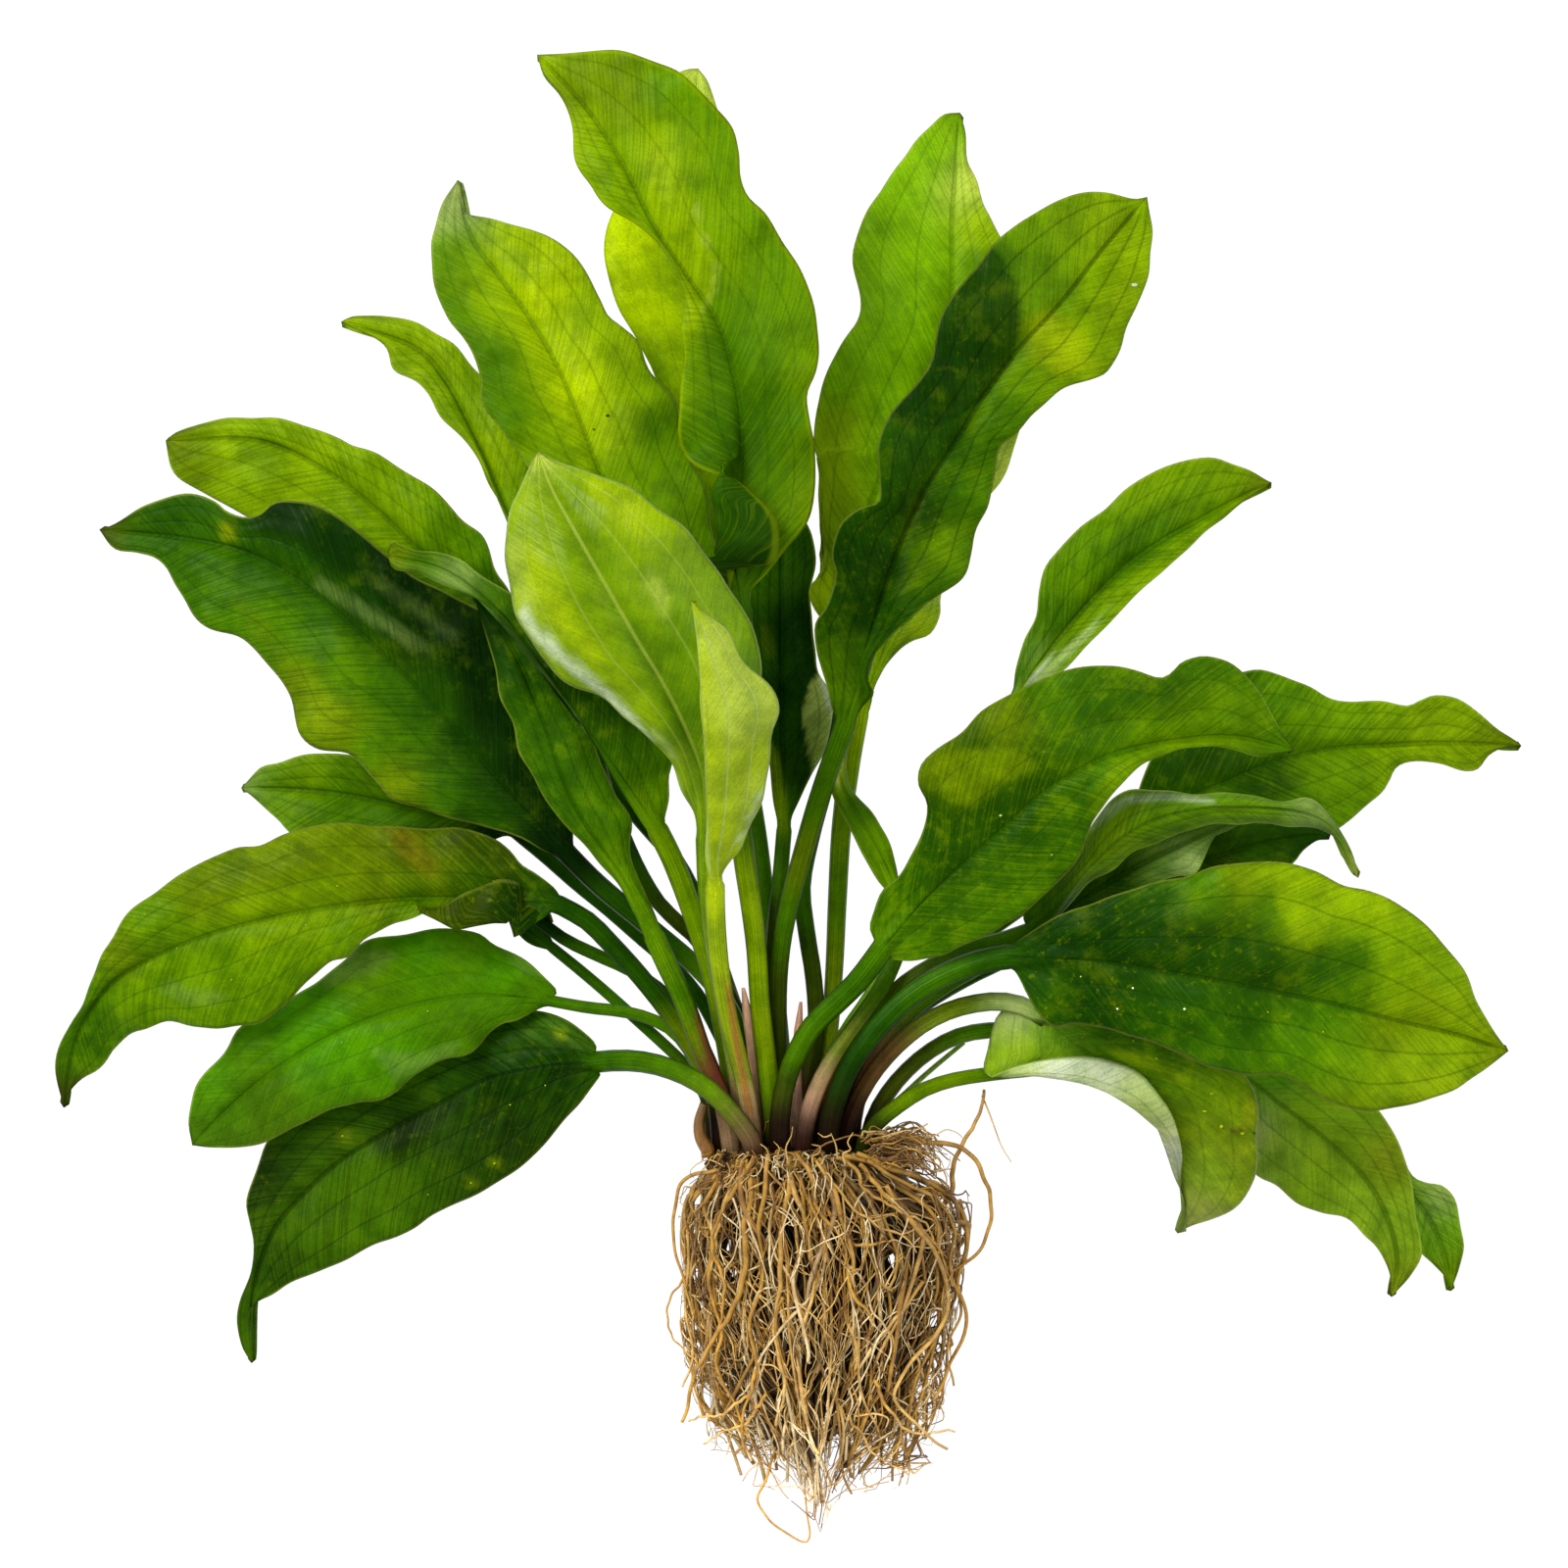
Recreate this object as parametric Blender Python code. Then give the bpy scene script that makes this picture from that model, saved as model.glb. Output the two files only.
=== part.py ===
"""Echinodorus plant with bare roots, lying on its back on a flat surface.

The crown is at the origin's side of the frame, the leaves spread toward +Y and the roots
trail toward -Y. Coordinates in the tables are millimetres, read from above: X to the right,
Y away from the roots, Z up from the surface. The origin is on the surface, under the top of
the root ball.
"""
from collections import namedtuple

import bmesh
import bpy
import numpy as np
from mathutils import Vector

MM = 0.001

# Driving dimensions, in millimetres
CROWN_TOP_Y = 16.0
CROWN_DEPTH = 6.6
CROWN_CENTER = (-3.2, 44.5)
CROWN_HALF = (23.0, 19.5)
BLADE_THICKNESS = 0.9
RIB_THICKNESS = 1.5
ROOT_TOP_Y = 9.0
ROOT_HALF_DEPTH = 30.0
ROOT_MIDDLE = 34.0
ROOT_END_DEPTH = 4.2

# How a leaf's sections change from the round stalk to the thin blade
FOOT_SHARE = 0.08
BANK_SHARE = 0.15
LAST_SHARE = 0.985
ROLL_BLEND = 2.0

# How finely a leaf is faceted
STALK_RINGS = 6
RING_SPACING = 13.0
CURVE_STEPS = 12
STRAND_RINGS = 12
SHARP_ANGLE = 0.7

Tone = namedtuple("Tone", "colour roughness")
PALE = Tone((0.42, 0.55, 0.05), 0.35)
BRIGHT = Tone((0.22, 0.42, 0.03), 0.35)
MIDDLE = Tone((0.12, 0.30, 0.02), 0.38)
DARK = Tone((0.04, 0.14, 0.01), 0.35)

# A leaf: its stalk from the crown to the blade's foot, then the blade's midrib and its two
# margins from the foot to the tip. Left is to the left of someone looking along the midrib
# to the tip. Heights and lifts are spread evenly along their line; a lift raises a margin
# above the midrib, an arch raises the middle of a half blade, and a roll is a stretch
# (start, end, reach, height) over which the blade folds beyond its margin. A bank turns the
# midrib's back to the right by so many degrees, for a blade whose left half is folded under.
Leaf = namedtuple(
    "Leaf",
    "name tone radius stalk stalk_z rib rib_z left right lift_left lift_right arch"
    " roll_left roll_right bank",
    defaults=((0, 0), (0, 0), (1.5, 1.5), None, None, 0.0),
)

LEAVES = [
    Leaf(
        "leaf_left_large", DARK, (2.1, 2.6),
        stalk=[(-15.3, 16.4), (-14.8, 28), (-15, 40), (-19, 53), (-27, 63), (-40, 74), (-52, 84),
               (-60, 92)],
        stalk_z=(36, 38, 39, 42, 47),
        rib=[(-60, 92), (-75, 108), (-95, 131), (-118, 153), (-132, 164), (-145, 170), (-160, 173),
             (-180, 175)],
        rib_z=(47, 51, 51, 44, 30),
        left=[(-66, 93), (-72, 96), (-82, 99), (-90, 101.5), (-98, 103.5), (-105, 106), (-110, 112),
              (-116, 117.5), (-124, 119), (-128, 122), (-130, 127), (-133, 136), (-137, 141),
              (-143, 147), (-151, 149.5), (-156, 153.5), (-160, 160), (-165, 167), (-170, 169),
              (-176, 170)],
        right=[(-59, 98), (-61, 106), (-65, 114), (-68, 124), (-70, 135), (-73, 146), (-80, 153),
               (-91, 159), (-100, 163.5), (-107, 169), (-117, 177), (-124, 181), (-130, 182.3),
               (-135, 182), (-139, 179), (-143, 178.2), (-147, 179.5), (-150, 182), (-155, 184),
               (-160, 183.8), (-168, 181), (-176, 176.5)],
        lift_left=(0, -2, -3, 0, 0), lift_right=(0, 2, 1, 3, 0),
    ),
    Leaf(
        "leaf_left_upper", MIDDLE, (1.8, 2.2),
        stalk=[(-6.8, 16.4), (-7.5, 27), (-11, 38), (-16, 49), (-20, 60), (-24, 72), (-28, 82),
               (-33, 91), (-40, 99), (-50, 111), (-58, 123), (-64, 136)],
        stalk_z=(30.5, 26.5, 25, 24, 22),
        rib=[(-64, 136), (-74, 150), (-86, 161), (-98, 169.5), (-108, 179), (-122, 190),
             (-140, 198), (-163.5, 198)],
        rib_z=(22, 19, 16, 11, 4),
        left=[(-70, 138), (-82, 143), (-98, 151), (-115, 161), (-130, 171), (-145, 180),
              (-157, 186), (-162, 191)],
        right=[(-68, 146), (-75, 159), (-79, 165), (-82, 173.5), (-88, 178), (-94, 185),
               (-100, 189), (-108, 194), (-115, 196.5), (-120, 199), (-133, 203), (-143, 204.2),
               (-150, 203.5), (-160, 200.5)],
        lift_left=(0, -1, -4, -3, 0), lift_right=(0, 1, 2, 0, 0),
    ),
    Leaf(
        "leaf_top_left_slender", BRIGHT, (1.8, 2.0),
        stalk=[(-9.9, 16.4), (-11, 28), (-13, 40), (-17, 52), (-22, 62), (-27, 70), (-33, 75.5),
               (-38, 81), (-44, 92), (-51, 110), (-56, 130), (-62, 150)],
        stalk_z=(35.5, 31.5, 31.5, 32, 30),
        rib=[(-62, 150), (-70, 166), (-76, 181), (-80, 190), (-86, 203), (-92, 214), (-100, 222),
             (-118.5, 228.5)],
        rib_z=(30, 25, 19, 12, 4),
        left=[(-69, 158), (-74, 172), (-80, 186), (-85, 196), (-92.5, 203.7), (-98.7, 212.5),
              (-105, 216), (-107.5, 222.5)],
        right=[(-60, 164), (-63, 180), (-68, 193), (-75, 206), (-82, 215), (-86, 219), (-92, 224),
               (-100, 228.5), (-114, 230)],
        lift_left=(0, 1, 2, 1, 0), lift_right=(0, -2, -2, 0, 0),
    ),
    Leaf(
        "leaf_top_left", BRIGHT, (2.1, 2.4),
        stalk=[(-12, 16.4), (-11.5, 30), (-10.8, 48), (-11.8, 66), (-13.5, 82), (-16.5, 98),
               (-21, 113), (-27, 131), (-33, 150)],
        stalk_z=(41.5, 43.2, 43.8, 44.3, 45),
        rib=[(-33, 150), (-42, 170), (-52, 190), (-57, 203), (-63, 217), (-70, 229), (-78, 240),
             (-85, 250), (-88.5, 264.5)],
        rib_z=(45, 46, 42, 34, 22),
        left=[(-44, 162), (-56, 176), (-66, 187), (-70, 190), (-76, 199), (-82, 207), (-82.5, 213),
              (-84, 219), (-87, 224), (-91, 229), (-94, 236), (-95, 245), (-94.5, 252), (-92, 259)],
        right=[(-26, 156), (-22, 165), (-23, 175), (-25, 185), (-30, 195), (-32, 206), (-35, 210),
               (-39, 216), (-42, 223), (-46, 226.5), (-50, 229.5), (-52, 234), (-55, 240),
               (-60, 246), (-66, 250.5), (-76, 253.5), (-84, 255.3), (-87, 256.5), (-89, 260)],
        lift_left=(0, 2, 3, 1, 0), lift_right=(0, -1, -2, 1, 0),
    ),
    Leaf(
        "leaf_top_center", BRIGHT, (2.3, 3.0),
        stalk=[(-7.1, 16.4), (-8.2, 28), (-9.8, 42), (-11.2, 55), (-12, 68), (-13.5, 80),
               (-15.3, 92), (-17, 110), (-17.5, 125), (-17, 140), (-16, 154)],
        stalk_z=(52.5, 54.5, 57, 60, 62),
        rib=[(-16, 154), (-17.5, 165), (-17.5, 178), (-16, 190), (-16, 203), (-18, 215), (-22, 228),
             (-30, 240), (-38, 252), (-46, 268), (-56, 283), (-68, 296)],
        rib_z=(62, 62, 63, 60, 48),
        left=[(-14, 158), (-11, 162.5), (-7.5, 167), (-6, 172), (-6.5, 177), (-9, 181), (-13, 184),
              (-18, 187), (-24, 189), (-28.5, 191.5), (-31, 194.5), (-32, 199), (-31.5, 205),
              (-31, 215), (-30, 226), (-32, 238), (-35, 245), (-40, 250), (-49, 256.5), (-54, 262),
              (-58, 268), (-59.5, 279), (-62, 285), (-66, 290), (-67.3, 293.5)],
        right=[(-15, 158), (-10, 163), (-5, 169), (1, 177), (3, 185), (3, 195), (1.5, 202),
               (1, 209), (3, 215), (4, 222), (3, 231), (0, 239), (-5, 248), (-10, 255),
               (-14, 259.5), (-16, 265), (-16.5, 271), (-18, 277), (-22, 282), (-28, 288),
               (-33, 292), (-40, 294.8), (-50, 297), (-60, 296.3)],
        lift_left=(0, 9, 5, 2, 2, 1, 0), lift_right=(0, 1, 2, -2, 1, 2, 0),
        roll_left=(0.0, 0.27, 15, 5),
    ),
    Leaf(
        "leaf_top_behind", PALE, (1.8, 2.0),
        stalk=[(-4.6, 16.4), (-5, 36), (-6.8, 58), (-9, 78), (-11.5, 98), (-15, 118), (-19, 140),
               (-22, 165)],
        stalk_z=(36, 34, 31.5, 30, 29),
        rib=[(-22, 165), (-26, 190), (-28, 215), (-29, 240), (-28, 265), (-27, 293.3)],
        rib_z=(29, 27, 24, 17, 7),
        left=[(-29, 178), (-33, 192), (-34, 204), (-37, 213), (-42, 222), (-47, 231), (-50, 240),
              (-51, 248), (-49, 256), (-44, 268), (-38, 280), (-33, 291), (-30, 293)],
        right=[(-14, 180), (-10, 200), (-8, 220), (-9, 240), (-15, 258), (-19, 272), (-21.5, 281),
               (-22.5, 284), (-24.5, 290)],
        lift_left=(0, 1, 2, 0, 0), lift_right=(0, -1, -2, 0, 0),
    ),
    Leaf(
        "leaf_top_right", BRIGHT, (2.0, 2.4),
        stalk=[(-2.2, 16.4), (-0.5, 28), (2.2, 40), (3.2, 50), (2.5, 61), (0.8, 72), (-0.2, 84),
               (0, 97), (1.5, 110), (4, 125), (6.5, 138), (9, 150)],
        stalk_z=(41, 41.5, 42.5, 44, 46),
        rib=[(9, 150), (12, 165), (17, 180), (23, 195), (29, 208), (34, 220), (37.5, 232),
             (38, 240), (38, 255), (39, 268), (40, 282)],
        rib_z=(46, 42, 34, 24, 9),
        left=[(5, 152), (2.5, 155), (1.3, 159), (3, 163), (6, 168), (6.7, 175), (6.5, 184),
              (4, 191), (2.5, 198), (4, 209), (6, 215), (9, 221), (13.5, 228), (14.5, 234),
              (12.5, 243), (13.5, 250), (16, 256), (20, 262), (25, 269), (29, 275), (33, 279),
              (36, 281.5)],
        right=[(14, 156), (22, 168), (32, 183), (42, 198), (50, 212), (54, 225), (56, 237),
               (52, 247), (48, 254), (46, 258), (44, 264), (42, 270), (41.5, 277)],
        lift_left=(0, 4, 1, 0, 0), lift_right=(0, -2, -2, 0, 0),
        roll_left=(0.08, 0.36, 3.4, 2),
    ),
    Leaf(
        "leaf_upper_right_dark", DARK, (2.0, 2.7),
        stalk=[(-6.3, 16.4), (-6.2, 30), (-6.4, 44), (-6.5, 58), (-5.5, 70), (-3, 82), (0, 93),
               (3, 104), (6, 115), (9, 125)],
        stalk_z=(46.5, 49, 52, 57, 62),
        rib=[(9, 125), (12, 133), (16, 145), (20, 158), (25, 172), (31, 185), (38, 196), (46, 209),
             (55, 221), (66, 233), (76, 246), (87.5, 259.5)],
        rib_z=(62, 71, 75, 73, 62),
        left=[(6, 130), (4, 136), (3, 143), (3, 150), (6, 156), (8, 163), (7, 168), (8, 173),
              (10, 177), (14, 180), (19, 182), (19, 190), (19, 197), (22.5, 205), (30, 213.5),
              (32.5, 218), (35, 229), (40, 237), (45, 243), (50, 249), (60, 256), (66, 258.8),
              (72, 260.5), (78, 260.3), (84, 259)],
        right=[(12, 127.5), (15, 130), (18, 133), (16.5, 136), (17, 141), (21, 146), (26, 151),
               (30, 155), (36, 159), (41, 163), (43, 169), (45, 177), (48, 186), (49, 191),
               (50, 196), (55, 200.5), (60, 205), (66, 210.5), (75, 213.5), (78, 216), (82, 225),
               (86, 234), (88, 241), (89, 249), (88, 256)],
        lift_left=(0, 4, 5, 2, 2, 0), lift_right=(0, 2, -3, 1, -2, 0),
    ),
    Leaf(
        "leaf_right_upper", BRIGHT, (2.0, 2.3),
        stalk=[(-0.4, 16.4), (1.2, 26), (4.7, 35), (9.4, 43), (15, 51), (20, 58.5), (24, 68),
               (27, 80), (31, 92), (37, 104), (44, 116), (52, 128)],
        stalk_z=(58, 58.5, 57, 54, 51),
        rib=[(52, 128), (58, 138), (65, 147), (73, 156.5), (82, 165.5), (92, 172.5), (102, 178),
             (112, 183.5), (119.5, 187)],
        rib_z=(51, 53, 53, 48, 38),
        left=[(53.5, 134), (54.3, 141), (56, 147), (59.5, 154), (61, 164), (65, 169.5), (70, 175),
              (77, 180.5), (82, 185), (88, 189), (95, 192), (101, 192.8), (107, 192.3),
              (113, 190.5), (118, 187.7)],
        right=[(57, 132), (63, 136.5), (67, 139.5), (72, 145), (78, 151), (85, 158.5), (92, 164.5),
               (98, 170), (103, 175), (108, 178.5), (113, 182.5), (118, 186)],
        lift_left=(0, 2, 2, 1, 0), lift_right=(0, 5, 6, 3, 0),
    ),
    Leaf(
        "leaf_right_far", MIDDLE, (2.0, 2.2),
        stalk=[(6.2, 16.4), (7.4, 25), (10.5, 34), (15, 43), (20.5, 51), (27.5, 58.5), (35.5, 65),
               (44, 70.5), (54, 77.5), (64, 85), (74, 92.5), (84, 100)],
        stalk_z=(46, 44.5, 42.5, 40.5, 38),
        rib=[(84, 100), (100, 107.5), (108, 110.5), (120, 115.5), (135, 119), (150, 120),
             (165, 120.5), (184, 119.8)],
        rib_z=(38, 34, 27, 16, 2),
        left=[(86, 110), (92, 122), (100, 131), (107, 136.5), (115, 139.2), (121, 138),
              (127, 135.5), (133, 132.5), (140, 131.3), (148, 131.3), (154, 130), (158, 131.5),
              (162, 132.8), (167, 132), (172, 128.5), (177, 124.5), (182, 121.5)],
        right=[(95, 97), (108, 94), (120, 94), (130, 95.5), (138, 99.5), (146, 106.5), (149, 111),
               (152, 114.5), (157, 115.8), (163, 115), (169, 113.3), (173, 114), (176, 117.5),
               (180, 119.5)],
        lift_left=(0, 2, 3, 4, 0), lift_right=(0, -2, -3, 1, 0),
    ),
    Leaf(
        "leaf_right_front", MIDDLE, (2.3, 3.0),
        stalk=[(-6.2, 16.4), (-6, 25), (-4.8, 33), (-2, 41), (2, 48), (8, 54), (14, 60), (20, 68)],
        stalk_z=(58, 60, 64, 70),
        rib=[(20, 68), (30, 80), (40, 89), (50, 98), (60, 107), (70, 113.5), (80, 118), (95, 121),
             (110, 122), (125, 118.5)],
        rib_z=(70, 79, 84, 80, 66),
        left=[(17, 73), (18, 78), (20, 83), (24, 86.5), (27, 91), (30, 97), (31, 104), (29.2, 110),
              (30, 115), (34, 119), (40, 123), (45, 128.5), (52, 132.5), (60, 136.5), (68, 139.3),
              (78, 140), (84, 139), (90, 137), (93, 138), (96, 141), (101, 142.5), (106, 141.8),
              (110, 140), (114, 136), (118, 130), (122, 123)],
        right=[(22, 65.8), (28, 65), (35, 66), (40, 68.5), (45, 71), (50, 73.5), (56, 77.5),
               (60, 80.5), (64, 84), (68, 88), (71, 94), (74, 101), (78, 107), (82, 112), (88, 116),
               (95, 118.6), (103, 119.4), (110, 118.3), (116, 116.8), (121, 117.7)],
        lift_left=(0, 3, 3, 2, 4, 0), lift_right=(0, -4, -4, 1, 3, 0),
    ),
    Leaf(
        "leaf_right_arched", BRIGHT, (2.0, 2.5),
        stalk=[(3.1, 16.4), (5, 25), (8.2, 34), (12.5, 43), (17.8, 50.5), (23.5, 57), (30, 61.8),
               (37, 65.4), (44.5, 68.3), (51, 70), (58, 72.5)],
        stalk_z=(51.8, 51.8, 53, 56.5, 61),
        rib=[(58, 72.5), (65, 80), (72, 88), (80, 95.5), (90, 101), (102, 103.5), (115, 103.8),
             (127, 102.5), (135, 98), (141.5, 86)],
        rib_z=(61, 68, 72, 68, 46),
        left=[(56, 76), (57, 79.5), (61, 83), (66, 87), (70, 91), (72, 97), (74, 101), (77, 106),
              (82, 108), (90, 108.8), (97, 108.5), (105, 107), (113, 107), (121, 106), (127, 106.6),
              (131, 105), (135, 101), (139, 95), (141, 89)],
        right=[(62, 74), (70, 81), (76, 87), (84, 92.5), (93, 96.5), (103, 99), (112, 99.8),
               (122, 99.8), (130, 98.8), (135, 96.5), (138.5, 92)],
        lift_left=(0, -3, -4, -3, -2, 0), lift_right=(0, -5, -6, -5, -3, 0),
        arch=(2.0, 1.0),
    ),
    Leaf(
        "leaf_right_under", MIDDLE, (1.9, 2.2),
        stalk=[(12, 16.4), (13, 26), (15.5, 34.5), (20, 43), (26, 50.5), (33, 56.5), (41, 61.5),
               (50, 66.5), (64, 75.5)],
        stalk_z=(45.5, 46.5, 48.5, 52),
        rib=[(64, 75.5), (74, 82.5), (84, 88.5), (94, 93.5), (103, 97.5), (111, 101)],
        rib_z=(52, 55, 56, 54),
        left=[(66, 81), (72, 88), (80, 94), (90, 99), (100, 102)],
        right=[(70, 78), (80, 80), (88, 84.3), (95, 86.2), (99.3, 86.8), (101, 90), (104, 95),
               (107, 98.5)],
        lift_left=(0, -2, -2, 0), lift_right=(0, 1, 3, 0),
    ),
    Leaf(
        "leaf_right_under_low", MIDDLE, (1.7, 2.0),
        stalk=[(9.3, 16.4), (10.8, 25), (14, 33.5), (19, 42), (25.5, 49.5), (33.5, 55.5), (43, 61),
               (53, 66), (72, 77)],
        stalk_z=(40.5, 41, 42.5, 45),
        rib=[(72, 77), (86, 84), (100, 90), (112, 93.5), (123, 96), (134.5, 97)],
        rib_z=(45, 46, 46, 42),
        left=[(78, 86), (92, 95), (106, 100), (120, 100.5), (130, 99)],
        right=[(84, 77.5), (98, 80), (112, 84), (121, 87.3), (125.3, 90), (127.5, 93), (131, 95.5)],
        lift_left=(0, -1, -2, 0), lift_right=(0, -2, -2, 0),
        arch=(1.0, 1.0),
    ),
    Leaf(
        "leaf_right_broad", DARK, (2.3, 3.2),
        stalk=[(6, 16.4), (7.2, 26), (10.5, 35.5), (15.2, 43.5), (21.2, 50.8), (28.3, 57),
               (36.5, 61.7), (45, 64.8), (52, 66)],
        stalk_z=(57, 61, 64.5, 67),
        rib=[(52, 66), (60, 66), (75, 65), (90, 62.5), (105, 60), (120, 57), (135, 54), (150, 50),
             (165, 46.5), (179.5, 42)],
        rib_z=(67, 73, 76, 73, 62),
        left=[(55, 70), (60, 74), (68, 78), (75, 80), (82, 82.6), (90, 85.5), (97, 86.8), (105, 89),
              (115, 90.3), (123, 90), (130, 88), (137, 84.5), (143, 83), (150, 80), (156, 76),
              (162, 70), (168, 62), (172, 54), (175.5, 47.5)],
        right=[(53.5, 63.5), (55, 60.5), (57, 56.5), (60, 51.5), (64, 48), (70, 48.6), (78, 47.5),
               (85, 45.5), (93, 43), (98, 40), (103, 37.5), (110, 36.3), (118, 36), (124, 35),
               (130, 31.5), (137, 28), (143, 26.8), (150, 27.5), (157, 29), (164, 31.5), (170, 35),
               (175, 38.5)],
        lift_left=(0, 2, 4, 3, 1, 0), lift_right=(0, -2, -4, 0, 2, 0),
        arch=(2.5, 2.0),
    ),
    Leaf(
        "leaf_right_curled", MIDDLE, (2.0, 2.4),
        stalk=[(10.3, 16.4), (11.5, 24), (14.5, 31), (19, 38), (25, 44.5), (32, 49.8), (40, 53.2),
               (49, 54.6), (56, 53.4), (62, 50)],
        stalk_z=(50.8, 51, 51.5, 51.5, 51),
        rib=[(62, 50), (66.5, 46), (73, 41), (80, 36.8), (86, 31), (91, 23.5), (94.5, 14),
             (96.3, 4), (96.5, -4.5)],
        rib_z=(51, 49, 44, 36, 14),
        left=[(70, 53), (80, 54), (92, 50), (102, 45), (110, 39), (115, 32), (116.2, 25),
              (115.5, 20.5), (116, 14), (115, 9), (111, 3), (105, -1), (99.5, -3)],
        right=[(57, 52), (53, 54), (50, 52), (48, 48), (47, 42), (46, 37.5), (47.3, 34.8),
               (51, 36.3), (57, 38.5), (65, 40), (72, 40.8), (80, 39.5), (86, 36), (90, 32),
               (94, 25), (96.3, 17), (97, 10), (96.8, 2)],
        lift_left=(0, 1, 1, 1, 1, 0), lift_right=(0, -4, 5, 8, 4, 0),
        roll_right=(0.42, 0.84, 7.5, 5),
    ),
    Leaf(
        "leaf_right_low", MIDDLE, (1.9, 2.2),
        stalk=[(16.2, 16.4), (17, 22), (19.8, 28.5), (24.5, 35), (31, 41), (38.5, 45.3), (46, 47),
               (54, 47), (64, 45.7), (76, 44.8), (88, 43.2), (98, 41)],
        stalk_z=(48, 44, 40, 37, 36),
        rib=[(98, 41), (112, 35.5), (122, 28), (133, 19.5), (143, 10), (149, 0), (152, -11),
             (150.7, -21.5)],
        rib_z=(36, 31, 24, 15, 4),
        left=[(110, 43.5), (122, 42), (134, 36), (143, 29.5), (148, 25.5), (152, 19), (155, 10),
              (157, 2), (158, -6), (158, -11), (155.5, -16), (152.5, -19.5)],
        right=[(100, 33), (105, 24), (110, 16), (116, 10), (120, 7), (126, 3), (132, 0.5),
               (140, -2), (144, -5), (147, -9), (150, -15)],
        lift_left=(0, -2, -1, 1, 0), lift_right=(0, -2, -2, 1, 0),
    ),
    Leaf(
        "leaf_right_lowest", MIDDLE, (1.8, 1.8),
        stalk=[(14.6, 16.4), (16, 20.5), (19.8, 24.6), (25, 28.6), (31, 32.2), (38, 34.5),
               (46, 35.8), (57, 37), (70, 38), (85, 39), (100, 38.5), (115, 37), (128, 34)],
        stalk_z=(55.5, 47, 33, 23, 18),
        rib=[(128, 34), (136, 27), (145, 18), (153, 8), (160, -1), (164, -10), (166, -20)],
        rib_z=(18, 14, 8, 1.5),
        left=[(138, 32), (147, 24), (153, 15), (156, 10), (160, 8.3), (164, 7), (167, 3),
              (168.5, -4), (169.3, -9), (168, -14)],
        right=[(132, 25), (140, 16), (147, 7), (152, -2), (158, -10), (161, -13), (164.5, -16.5)],
        lift_left=(0, 0, 1, 0), lift_right=(0, 0, 1, 0),
        arch=(1.0, 1.0),
    ),
    Leaf(
        "leaf_left_broad", MIDDLE, (2.1, 2.5),
        stalk=[(-21, 16.4), (-22, 27), (-24.5, 35), (-28, 42), (-32.5, 49), (-37.5, 55.8),
               (-43, 62.5), (-49, 69), (-55, 75), (-62, 79)],
        stalk_z=(47.3, 47.5, 47.5, 46.5, 45),
        rib=[(-62, 79), (-75, 80.3), (-92, 81), (-110, 80), (-130, 77), (-150, 72), (-165, 66),
             (-178, 58), (-186, 45), (-189.5, 27)],
        rib_z=(45, 44, 41, 30, 8),
        left=[(-66, 82), (-71, 84.5), (-77, 85.8), (-83, 84), (-90, 80.5), (-98, 76.5), (-105, 74),
              (-112, 70), (-116, 66.5), (-121, 64.5), (-128, 58), (-132, 54), (-136, 50.5),
              (-140, 48.5), (-147, 48.2), (-154, 48), (-160, 49), (-165, 48.8), (-171, 46.5),
              (-176, 42), (-179, 38), (-184, 35), (-188, 31)],
        right=[(-63.5, 83), (-68, 87), (-72, 89.5), (-75, 93), (-79, 96), (-85, 98), (-91, 99.2),
               (-100, 99), (-108, 99.3), (-116, 100), (-125, 99.3), (-133, 97), (-139, 94.3),
               (-145, 93.8), (-152, 91.5), (-158, 87), (-165, 83), (-171, 78), (-176, 71),
               (-180, 66), (-182, 60), (-184, 54), (-188, 49), (-190.5, 43), (-191.5, 36)],
        lift_left=(0, 6, 0, -3, -1, 0), lift_right=(0, 1, 0, 0, 2, 0),
        roll_left=(0.0, 0.26, 10.5, 3),
        arch=(1.5, 2.5),
    ),
    Leaf(
        "leaf_left_small", MIDDLE, (1.7, 1.8),
        stalk=[(-12.2, 16.4), (-13.5, 26), (-17, 36), (-21.5, 46), (-27, 56), (-34, 64), (-42, 71),
               (-50, 78), (-58, 84.5), (-66, 91.5), (-74, 98)],
        stalk_z=(31, 30, 28, 26, 24),
        rib=[(-74, 98), (-88, 101), (-102, 104), (-116, 107), (-130, 108.5), (-144, 109)],
        rib_z=(24, 22, 18, 12),
        left=[(-84, 94), (-98, 91), (-112, 91), (-124, 94), (-131, 97.5), (-135, 101), (-139, 105)],
        right=[(-82, 103), (-92, 108.5), (-102, 113), (-112, 116.5), (-118, 117.7), (-123, 118),
               (-128, 117.5), (-134, 115.3), (-139, 114)],
        lift_left=(0, -1, 0, 0), lift_right=(0, 1, 2, 0),
    ),
    Leaf(
        "leaf_left_bright", BRIGHT, (1.6, 1.5),
        stalk=[(-22.6, 16.4), (-24, 26), (-26, 34), (-29, 41.5), (-33.5, 47), (-39, 50),
               (-46, 51.9), (-55, 52.9), (-64, 54.5)],
        stalk_z=(41.7, 41, 39.5, 37, 34),
        rib=[(-64, 54.5), (-78, 56), (-90, 55.5), (-105, 52), (-120, 46), (-135, 37), (-147, 27),
             (-156.5, 17.5)],
        rib_z=(34, 34, 32, 26, 15),
        left=[(-67, 53), (-73, 49.5), (-77, 48.3), (-82, 44), (-86, 41.5), (-92, 39.5), (-98, 36),
              (-104, 31.5), (-109, 28.8), (-115, 28.2), (-121, 27), (-127, 24), (-133, 20.5),
              (-139, 18), (-145, 16.7), (-151, 16.8)],
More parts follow.
